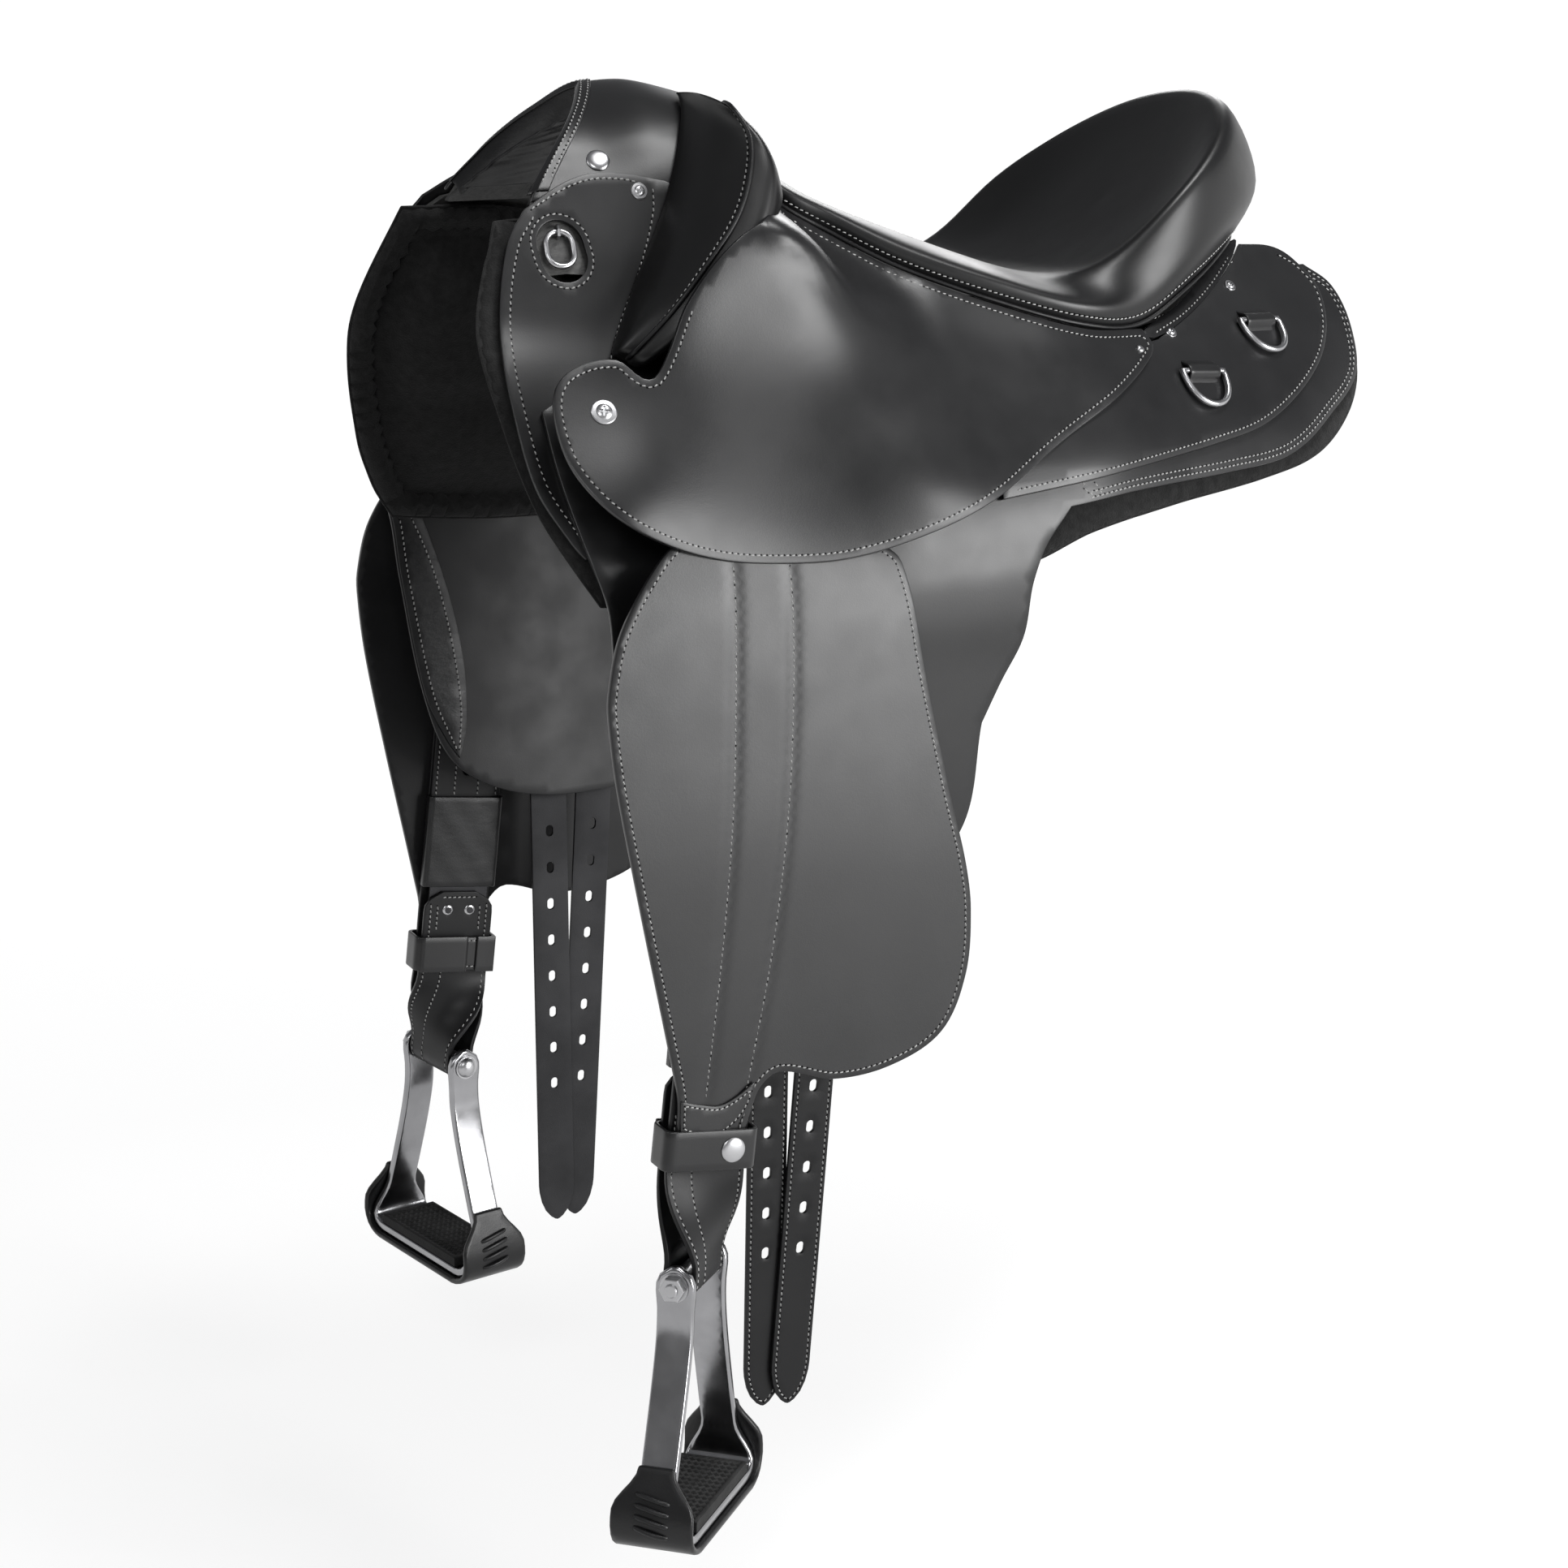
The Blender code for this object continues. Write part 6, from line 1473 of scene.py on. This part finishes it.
class Lane:
    """Directions along, across and out of the strap on one side."""

    def __init__(self, side):
        self.sign, self.turn = SIDES[side], STIRRUP_TURN[side]
        self.down = Vector((-math.sin(FENDER_LEAN), 0, -math.cos(FENDER_LEAN)))
        self.across = Vector((math.cos(FENDER_LEAN), 0, -math.sin(FENDER_LEAN)))
        self.out = Vector((0, self.sign, 0))

    def slope(self, length):
        return (read_off(FENDER_LINE, length + 1) - read_off(FENDER_LINE, length - 1)) / 2

    def at(self, length, u, depth):
        deep = read_off(FENDER_LINE, length) - depth * math.sqrt(1 + self.slope(length) ** 2)
        return self.down * length + self.across * u + self.out * deep

    def normal(self, length):
        return (self.out - self.down * self.slope(length)).normalized()

    def frame(self, length, depth, facing):
        return self.at(length, 0, depth), self.across, self.normal(length) * facing

    def twist(self, length):
        a = self.turn * step_up(478, 532, length)
        return (-self.across * math.cos(a) + self.out * math.sin(a),
                self.out * math.cos(a) + self.across * math.sin(a))

    def loop_middle(self, length):
        depth = LOOP_DEPTH - (LOOP_DEPTH - 7.8) * step_up(LOOP_TOP, 530, length)
        return self.down * length + self.out * (read_off(FENDER_LINE, length) - depth)

    def pin(self):
        return self.loop_middle(STIRRUP_DROP)


def inner_depth(length):
    at_hanger = 7.6 + 0.4 + STRAP_T / 2
    return at_hanger + (INNER_LEG - at_hanger) * step_up(180, 290, length)


def outer_depth(length):
    at_hanger = 0.4 + STRAP_T / 2
    return at_hanger + (OUTER_LEG - at_hanger) * step_up(55, 80, length)


def leather_frames(lane):
    """Inner leg up, over the hanger, down, round the stirrup bolt and up to the buckle."""
    frames = [lane.frame(s, inner_depth(s), -1) for s in np.arange(INNER_END, 49, -4.0)]
    top, normal = 42.0, lane.normal(42.0)
    deep, shallow = inner_depth(top), outer_depth(top)
    tangent = normal.cross(lane.across)
    if tangent.dot(lane.down) > 0:
        tangent.negate()
    for a in np.linspace(0, math.pi, 13):
        face = tangent * math.sin(a) - normal * math.cos(a)
        frames.append((lane.at(top, 0, (deep + shallow) / 2) + face * (deep - shallow) / 2, lane.across, face))
    frames += [lane.frame(s, outer_depth(s), 1) for s in np.arange(50, LOOP_TOP, 4.0)]
    turning = np.arange(LOOP_TOP + 4, 537, 3.0)

    def loop_side(length, sign):
        width, normal = lane.twist(length)
        return (lane.loop_middle(length) + normal * sign * read_off(LOOP_HALF, length), -width, normal * sign)

    frames += [loop_side(s, 1) for s in turning]
    width, normal = lane.twist(STIRRUP_DROP)
    for a in np.linspace(0, math.pi, 17):
        face = normal * math.cos(a) + lane.down * math.sin(a)
        frames.append((lane.pin() + face * WRAP_R, -width, face))
    frames += [loop_side(s, -1) for s in turning[::-1]]
    return frames + [lane.frame(s, LOWER_LEG, -1) for s in np.arange(LOOP_TOP, LOWER_END - 1, -3.0)]


def strap_length(frames):
    return sum((b[0] - a[0]).length for a, b in zip(frames, frames[1:]))


# %% [markdown]
# Each leather is two layers sewn together, so it gets rows of stitches beside its punched holes. Its
# end at the buckle is held by two rivets.

# %% Stirrup leathers
def round_hole(u, s, radius, count):
    return [Vector((u + radius * math.sin(a), s + radius * math.cos(a)))
            for a in np.linspace(0, 2 * math.pi, count, endpoint=False)]


def make_leather(side):
    lane = Lane(side)
    frames = leather_frames(lane)
    travel = strap_length(frames)
    widths = [STRAP_W / 2] * len(frames)
    widths[0], widths[1] = 17.0, 23.5
    for k, w in enumerate((12.0, 18.5, 22.3, 24.3), 1):
        widths[-k] = w
    holes = [round_hole(0, INNER_END - s, 3.6, 20) for s in (257, 282.5, 308, 333.5, 359, 384.5)]
    holes += [round_hole(u, travel - (LEATHER_RIVET - LOWER_END), 3.6 * 0.84, 20) for u in (-8, 8)]
    piece, place, length = laid_strap(f"leather_strap_{side}", frames, widths, STRAP_T, STRAP, holes, 5.5)
    dress(piece, f"fender_assembly_{side}", "smooth_leather", f"stirrup_leather_{side}")
    rows = Stitching()
    strap_rows(rows, place, INNER_END - SLEEVE_SPAN[0] + 2, 330, -21.8, -8.5, 8.5, 21.8)
    strap_rows(rows, place, length - 245, length - 34, -21.8, 21.8, -9.0)
    strap_rows(rows, place, length - 32, length - 8, -20.5, 20.5)
    strap_rows(rows, place, length - 26, length - 9, -15.5, 15.5)
    u, s = np.arange(-11, 12, STITCH_PITCH), length - 4.0
    here = place(u, s)
    rows.grains(here, place(u, s, 1.0) - here, place(u + 1, s) - here)
    dress(rows.make(f"leather_strap_stitches_{side}"), f"fender_assembly_{side}")
    print("leather", side, round(length), "mm, stitches:", rows.count)


for side in SIDES:
    make_leather(side)

# %% [markdown]
# The sleeve that hides the buckle and the hobble strap below it are closed bands: a rounded
# rectangle round the straps, given its width along the lane.

# %% Sleeves and hobble straps
SLEEVE_T, SLEEVE_ROOM, HOBBLE_T = 1.2, 1.1, 2.5


def rounded_box(half_a, half_b, radius, steps=8):
    corners = []
    for qa, qb, start in ((1, 1, 0), (-1, 1, 90), (-1, -1, 180), (1, -1, 270)):
        for k in range(steps + 1):
            a = math.radians(start + 90 * k / steps)
            corners.append((qa * (half_a - radius) + radius * math.cos(a),
                            qb * (half_b - radius) + radius * math.sin(a)))
    return corners


def band(name, lane, span, box, depth, thickness, finish, wave=0.0, edge=0.5):
    """Closed band round the lane between two lengths."""
    outline = np.array(rounded_box(*box))
    loop = np.vstack([outline, outline[:1]])
    runs = travelled(loop)
    at = np.linspace(0, runs[-1], 73)[:-1]
    across, deep = np.interp(at, runs, loop[:, 0]), np.interp(at, runs, loop[:, 1])
    grid = []
    for s in np.linspace(*span, max(5, int((span[1] - span[0]) / 4))):
        swell = wave / 10 * math.sin(s * 0.23)
        row = [tuple(lane.at(s, x, depth + y * (1 + swell * math.sin(x * 0.31)))) for x, y in zip(across, deep)]
        grid.append(row + row[:1])
    grid = np.array(grid)
    middle = Vector(grid.reshape(-1, 3).mean(0)) * MM
    piece = turned_to(skin(name, grid, finish), lambda centre: centre - middle)
    return thickened(welded(piece, 1e-6, False), thickness, edge, 2, 60, 50)


def make_bands(side):
    lane, assembly = Lane(side), f"fender_assembly_{side}"
    near, far = INNER_LEG - STRAP_T / 2 - SLEEVE_ROOM, LOWER_LEG - STRAP_T / 2
    box = (STRAP_W / 2 + 0.5 + SLEEVE_T, (far - near) / 2 + SLEEVE_T, 2.0)
    sleeve = band(f"sleeve_{side}", lane, SLEEVE_SPAN, box, (near + far) / 2, SLEEVE_T, WRAP, 0.3)
    dress(sleeve, f"sleeve_{side}", "grained_leather", f"buckle_sleeve_{side}")
    top, deep = -1.65, LOWER_LEG + STRAP_T / 2 + 0.4 + HOBBLE_T / 2
    box = (STRAP_W / 2 + 2.0 + HOBBLE_T, (deep - top + HOBBLE_T) / 2, 5.5)
    hobble = band(f"hobble_{side}", lane, HOBBLE_SPAN, box, (deep + top) / 2, HOBBLE_T, HARNESS, edge=0.7)
    dress(hobble, assembly, "smooth_leather", f"hobble_strap_{side}")
    rows = Stitching()
    inner_face = deep + HOBBLE_T / 2
    u = np.arange(-24, 25, STITCH_PITCH)
    for s in (HOBBLE_SPAN[0] + 2.8, HOBBLE_SPAN[1] - 2.8):
        rows.grains(np.array([tuple(lane.at(s, x, inner_face)) for x in u]),
                    np.tile(tuple(-lane.normal(s)), (len(u), 1)), np.tile(tuple(lane.across), (len(u), 1)))
    dress(rows.make(f"hobble_stitches_{side}"), assembly)
    for tag, first, last in (("strap", -26.5, 8.0), ("loop", 14.0, 28.0)):
        u = np.linspace(first, last, 25)
        depths = inner_face + 1.7 - 0.9 * (abs(2 * (u - first) / (last - first) - 1) > 0.93)
        grid = np.array([[tuple(lane.at(s, x, depth)) for x, depth in zip(u, depths)]
                         for s in np.linspace(HOBBLE_SPAN[0] - 0.6, HOBBLE_SPAN[1] + 0.6, 7)])
        piece = turned_to(skin(f"hobble_{tag}_{side}", grid, HARNESS), lambda centre: -lane.out)
        dress(thickened(piece, 1.7, 0.5), assembly, "smooth_leather")


for side in SIDES:
    make_bands(side)
print("bands done")

# %% [markdown]
# The stirrup is one flat bar of polished aluminium, bent to a shape that is narrow at the top and wide
# at the tread, with an eye at each end for the bolt.

# %% Stirrup frames and tread covers
STIRRUP_PATH = ((30, -12), (30, 0), (29.5, 14), (30.5, 30), (37, 55), (49, 90), (58, 115), (61.5, 129),
    (60.5, 138), (52, 143))
FLAT_S, EYE_R, BRANCH_HALF, COVER_HALF, BAR_T, COVER_T = 143.0, 12.0, 11.0, 25.0, 6.0, 4.0
TREAD_HALF_L, TREAD_HALF_W, LACE_HALF = 48, 21, 9.5


class Stirrup:
    """Point across its bolt (w), down (s) and through (t) on one side."""

    def __init__(self, side):
        lane = Lane(side)
        self.pin = lane.pin()
        self.wide = lane.twist(STIRRUP_DROP)[0]
        fall = Vector((0, 0, -1))
        self.fall = (fall - self.wide * fall.dot(self.wide)).normalized()
        self.through = self.wide.cross(self.fall)

    def at(self, w, s, t):
        return self.pin + self.wide * w + self.fall * s + self.through * t


def stirrup_line(first, outset):
    fine = open_line(STIRRUP_PATH)
    half = []
    for i, p in enumerate(fine):
        run = (fine[i + 1] - fine[max(i - 1, 0)]).normalized() if i < len(fine) - 1 else Vector((-1, 0))
        out = Vector((run.y, -run.x))
        if p.y >= first:
            half.append((p + out * outset, out))
    flat = [(Vector((w, FLAT_S + outset)), Vector((0, 1))) for w in range(44, -45, -8)]
    return half + flat + [(Vector((-p.x, p.y)), Vector((-o.x, o.y))) for p, o in reversed(half)]


def make_stirrup(side):
    stirrup = Stirrup(side)

    def frames(line):
        return [(stirrup.at(p.x, p.y, 0), stirrup.through, stirrup.wide * o.x + stirrup.fall * o.y)
                for p, o in line]

    line = stirrup_line(-100, 0)
    widths = [max(2.5, math.sqrt(max(0.0, EYE_R ** 2 - p.y ** 2))) if p.y < 0 else
              BRANCH_HALF + (EYE_R - BRANCH_HALF) * (1 - step_up(0, 16, p.y)) + 11 * step_up(112, 140, p.y)
              for p, _ in line]
    total = strap_length(frames(line))
    holes = [round_hole(0, s, 4.4, 24) for s in (EYE_R, total - EYE_R)]
    piece, *_ = laid_strap(f"stirrup_bar_{side}", frames(line), widths, BAR_T, ALUMINIUM, holes, 4.5, 2.0, 4)
    dress(piece, f"stirrup_{side}", "aluminium", f"stirrup_frame_{side}")

    outset = BAR_T / 2 + 0.4 + COVER_T / 2 + 0.2
    line = stirrup_line(100, outset)
    widths = [BRANCH_HALF + (COVER_HALF - BRANCH_HALF) * step_up(0, 0.6, min(p.y - 100, 40) / 40)
              for p, _ in line]
    cover, place, length = laid_strap(f"tread_leather_{side}", frames(line), widths, COVER_T, WRAP,
                                      grid=4.5, edge=1.5)
    dress(cover, f"stirrup_{side}", "grained_leather", f"tread_cover_{side}")
    make_laces(side, place, length)
    make_tread(side, stirrup)


def make_laces(side, place, length):
    """Thongs crossed over the outer side of the cover on both branches, each end sunk a little into the
    leather.
    """
    u = np.linspace(-LACE_HALF, LACE_HALF, 15)
    lift = 1.9 * np.clip(np.cos(u / LACE_HALF * math.pi / 2), 0, 1) ** 0.5 - 0.8
    for end in ("front", "back"):
        laces = []
        for k in range(4):
            s = np.linspace(16, 20, 15) + 6.2 * k
            s = s if end == "front" else length - s
            path = place(u, s) + (place(u, s, 1.0) - place(u, s)) * lift[:, None]
            laces.append(tube(f"tread_lace_{side}_{end}", path, 1.6, LINING, sides=8))
        dress(joined(*laces), f"stirrup_{side}", "grained_leather")


def make_tread(side, stirrup):
    """Rubber pad with zigzag ribs on its top, closed below."""
    top = FLAT_S - BAR_T / 2 - 0.4 - 7.0
    long, wide = 2 * TREAD_HALF_L + 1, 2 * TREAD_HALF_W + 1
    w, t = np.meshgrid(np.linspace(-TREAD_HALF_L, TREAD_HALF_L, long),
                       np.linspace(-TREAD_HALF_W, TREAD_HALF_W, wide), indexing="ij")
    ribs = np.abs(((t + 3.2 * np.abs(((w / 6) % 1) * 2 - 1)) / 4.2) % 1 * 2 - 1)
    rim = np.minimum(TREAD_HALF_L - np.abs(w), TREAD_HALF_W - np.abs(t))
    high = np.where(rim > 2.2, 1.3 * np.clip(ribs * 1.7 - 0.35, 0, 1), 1.3) - np.where(rim < 0.5, 0.7, 0)
    points = [tuple(stirrup.at(*spot)) for depth in (top + 1.3 - high, np.full(w.shape, top + 6.9))
              for spot in zip(w.ravel(), depth.ravel(), t.ravel())]
    faces, count = [], long * wide
    for i in range(long - 1):
        for a in range(i * wide, i * wide + wide - 1):
            b, c, d = a + 1, a + wide + 1, a + wide
            faces += [(a, b, c, d), (a + count, d + count, c + count, b + count)]
    ring = [i * wide for i in range(long)] + [(long - 1) * wide + j for j in range(1, wide)]
    ring += [i * wide + wide - 1 for i in range(long - 2, -1, -1)] + list(range(wide - 2, 0, -1))
    faces += [(a, b, b + count, a + count) for a, b in zip(ring, ring[1:] + ring[:1])]
    piece = finish_mesh(welded(new_piece(f"tread_rubber_{side}", points, faces, RUBBER)), angle=40)
    dress(piece, f"stirrup_{side}", "rubber", f"tread_pad_{side}")


for side in SIDES:
    make_stirrup(side)
print("stirrups done")

# %% [markdown]
# Turned parts are profiles spun about an axis: bolt heads, washers, conchos, screws and rivets. The nut
# has six sides, and each screw a cross cut with a Boolean.

# %% Turned parts and fasteners
BOLT_HEAD = ((-5.4, 0), (-5.2, 2.2), (-4.5, 4.3), (-3.2, 6.2), (-1.7, 7.1), (-0.9, 7.2), (-0.9, 8.3),
    (0, 8.3), (0, 4.0))
BOLT_END = ((0, 4.0), (0, 8.6), (0.9, 8.6), (0.9, 4.0), (7.0, 4.0), (7.6, 3.3), (7.6, 0))
NUT = ((0.9, 4.1), (0.9, 7.0), (1.4, 7.7), (5.6, 7.7), (6.1, 7.0), (6.1, 4.1))
CONCHO = ((0, 1.0), (0.9, 1.0), (1.35, 0.93), (1.75, 0.8), (2.05, 0.55), (2.2, 0.25), (2.25, 0))
WASHER = ((0, 1.0), (0.7, 1.0), (1.1, 0.92), (1.2, 0.64), (1.8, 0.52), (2.2, 0.26), (2.25, 0))
BOX_FACES = ((0, 1, 3, 2), (4, 6, 7, 5), (0, 4, 5, 1), (2, 3, 7, 6), (0, 2, 6, 4), (1, 5, 7, 3))


def spun(name, centre, axis, profile, finish, sides=32, start=None):
    """profile: (height along the axis, radius) pairs; a radius of 0 is a pole."""
    axis = Vector(axis).normalized()
    side = (start - axis * start.dot(axis)).normalized() if start else axis.orthogonal().normalized()
    up = axis.cross(side)
    points, rings, faces = [], [], []
    for high, radius in profile:
        turns = np.linspace(0, 2 * math.pi, sides, endpoint=False) if radius > 1e-6 else (0,)
        rings.append(list(range(len(points), len(points) + len(turns))))
        points += [tuple(Vector(centre) + axis * high + (side * math.cos(a) + up * math.sin(a)) * radius)
                   for a in turns]
    for low, high in zip(rings, rings[1:]):
        for k in range(sides):
            a, b = low[k % len(low)], low[(k + 1) % len(low)]
            c, d = high[(k + 1) % len(high)], high[k % len(high)]
            faces.append(tuple(dict.fromkeys((a, b, c, d))))
    for ring, turn in ((rings[0], -1), (rings[-1], 1)):
        if len(ring) > 1:
            faces.append(tuple(ring[::turn]))
    return finish_mesh(welded(new_piece(name, points, faces, finish)), angle=32)


def make_bolt(side):
    """Domed head and washer on one side, six sided nut and thread end on the other, sleeve between."""
    stirrup = Stirrup(side)
    pin, wide = stirrup.pin, stirrup.wide
    face = 30 + BAR_T / 2 + 0.2
    profile = [(h - face, r) for h, r in BOLT_HEAD] + [(-26, 4.0), (-25.6, 6.7), (25.6, 6.7), (26, 4.0)]
    profile += [(h + face, r) for h, r in BOLT_END]
    shaft = spun(f"bolt_{side}", pin, wide, profile, STEEL)
    nut = spun("nut", pin, wide, [(h + face, r) for h, r in NUT], STEEL, sides=6, start=stirrup.through)
    dress(joined(shaft, nut), f"stirrup_{side}", "bright_steel", f"stirrup_bolt_{side}")


def on_place(place, a, b, out_of=None):
    """Centre and outward normal at one spot of a surface."""
    a, b = floats(a, b)
    centre, normal = place(a, b)[0], normals_of(place, a, b)[0]
    wanted = (0, -1, 0) if out_of is None else centre - out_of
    return Vector(centre), Vector(normal * (1 if normal @ wanted > 0 else -1))


def fastener(name, spot, radius, profile, body_name="saddle", cross=False, depth=1.0):
    """Small fastening on the near side and its twin on the off side."""
    centre, normal = spot
    piece = spun(f"{name}_left", centre - normal * 0.3, normal, [(h * depth, r * radius) for h, r in profile],
                 STEEL, sides=28)
    if cross:
        top = max(h for h, _ in profile) * depth
        side = normal.orthogonal().normalized()
        side.rotate(Matrix.Rotation(0.5, 3, normal))
        for axis in (side, normal.cross(side)):
            other = normal.cross(axis)
            corners = [centre + normal * (top - 0.3 + k) + axis * 0.42 * radius * i + other * 0.11 * radius * j
                       for k in (-0.9, 0.8) for i in (-1, 1) for j in (-1, 1)]
            bar = welded(new_piece("cross_cut", [tuple(c) for c in corners], BOX_FACES, STEEL))
            finish_mesh(piece, ("BOOLEAN", {"operation": "DIFFERENCE", "object": bar, "solver": "EXACT"}),
                        angle=30)
            bpy.data.objects.remove(bar)
    both_sides(name, piece, "bright_steel", body_name, ())


for side in SIDES:
    make_bolt(side)
fastener("pommel_concho", on_place(arch_place(), -48, 26.6 * MM_PER_DEGREE, (-48, 0, ARCH_Z)), 6.9, CONCHO,
         depth=1.1)
fastener("facing_screw", on_place(facing_place, -31, 75.5), 5.2, WASHER, cross=True)
fastener("jockey_concho", on_place(jockey_place, -94, -38), 7.4, WASHER, cross=True, depth=1.2)
fastener("jockey_nail", on_place(jockey_place, 276, -24), 2.6, CONCHO, depth=0.9)
fastener("skirt_screw_front", on_place(skirt_place, 312, -17), 4.2, WASHER, cross=True)
fastener("skirt_screw_rear", on_place(skirt_place, 381, 6), 4.2, WASHER, cross=True)
lane = Lane("left")
fastener("hobble_concho", (lane.at(463, 13, -2.9), lane.normal(463)), 7.4, CONCHO, "fender_assembly_{}")
for tag, u in (("front", -8), ("rear", 8)):
    spot = (lane.at(LEATHER_RIVET, u, LOWER_LEG + STRAP_T / 2 - 0.6), -lane.normal(LEATHER_RIVET))
    fastener(f"strap_rivet_{tag}", spot, 3.9, CONCHO, "fender_assembly_{}", depth=0.8)

# %% [markdown]
# Dees and rings are bent wire. The dee's straight bar lies in a rolled leather keeper that comes
# up through the skirt; the front ring hangs in the facing's slot from a staple in the tree.

# %% Dees, keepers and front rings
DEES = {"front": (323, -41, 30, -2), "rear": (388.5, -15.5, 27, -1)}
DEE_W, DEE_H, WIRE, LIFT = 34.0, 24.0, 2.0, 2.4
KEEPER_ROLL = ((-9.5, -0.4), (-6.5, 1.6), (-4.4, 3.6), (-2.4, 4.9), (0, 5.3), (2.4, 4.9), (4.2, 3.2),
    (5.6, 1.2), (7.5, -0.4))


def frame_on(surface_place, x, z, dx, dz):
    centre, normal = on_place(surface_place, x, z)
    bar = on_place(surface_place, x + dx, z + dz)[0] - centre
    bar = (bar - normal * bar.dot(normal)).normalized()
    fall = normal.cross(bar)
    return centre, normal, (-fall if fall.z > 0 else fall), bar


for which, (x, z, dx, dz) in DEES.items():
    centre, normal, fall, bar = frame_on(skirt_place, x, z, dx, dz)
    centre = centre + normal * LIFT
    half = bar * DEE_W / 2
    path = [centre + half * k for k in np.linspace(1, -1, 9)]
    path += [centre - half * math.cos(a) + fall * DEE_H * math.sin(a) ** 0.8
             for a in np.linspace(0, math.pi, 34)[1:-1]]
    wire = tube(f"dee_wire_{which}_left", path, WIRE, STEEL, closed=True, sides=14)
    both_sides(f"dee_wire_{which}", wire, "bright_steel", which + "_dee_{}", (f"dee_{which}",))
    grid = [[tuple(centre - normal * (LIFT - high) + fall * along + bar * share)
             for share in np.linspace(-12.5, 12.5, 9)] for along, high in KEEPER_ROLL]
    grid = catmull(grid, np.linspace(0, len(KEEPER_ROLL) - 1, 33)).transpose(1, 0, 2)
    roll = turned_to(skin(f"dee_roll_{which}_left", grid, HARNESS), lambda centre: normal)
    thickened(roll, 1.5, 0.5, 2, 60, 50)
    both_sides(f"dee_roll_{which}", roll, "smooth_leather", nodes=(f"dee_keeper_{which}",))

centre, normal, fall, bar = frame_on(lay_on(layer(-0.4)), -85, 53.5, 4, 0)
path = [centre + normal * 2.6 + fall * (10.5 + a) + bar * b for a, b in rounded_box(10.5, 8.0, 7.8, 10)]
ring = tube("breast_ring_left", path, 1.7, STEEL, closed=True, sides=14)
both_sides("breast_ring", ring, "bright_steel", "ring_{}", ("front_ring",))

# %% [markdown]
# Behind the seat a narrow welted strip closes the gap between the cantle's foot and the rear skirt.

# %% Cantle strip
CANTLE_STRIP = ((287, -16), (330, -1), (372, 19), (404, 33), (392, 22), (365, 6), (330, -9), (296, -19))
strip_place = lay_on(layer(REAR_SKIRT_OUT + 1.3))
strip = sheet("cantle_strip_left", smooth_line(CANTLE_STRIP), strip_place, 1.2, LINING, grid=5, edge=0.3)
both_sides("cantle_strip", strip, "smooth_leather", nodes=())
stitched("cantle_strip_stitches", strip_place, open_line(((298, -16.5), (330, -6.8), (364, 8), (390, 23))))

# %% [markdown]
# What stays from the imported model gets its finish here: the moulded tree and seat, the steel plate,
# hangers, bolts, buckles and staples.

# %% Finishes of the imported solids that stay
KEPT = {"tree": MOULDING, "gullet_plate": STEEL, "tree_seat": MOULDING}
for side in SIDES:
    KEPT |= {f"{node}_{side}": STEEL for node in ("hanger", "hanger_bolt", "ring_staple")}
    # The buckles take the steel painted near black.
    KEPT[f"buckle_{side}"] = DARK_STEEL
for node, finish in KEPT.items():
    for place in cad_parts[node].material_slots:
        place.material = finish
print("kept solids:", len(KEPT))
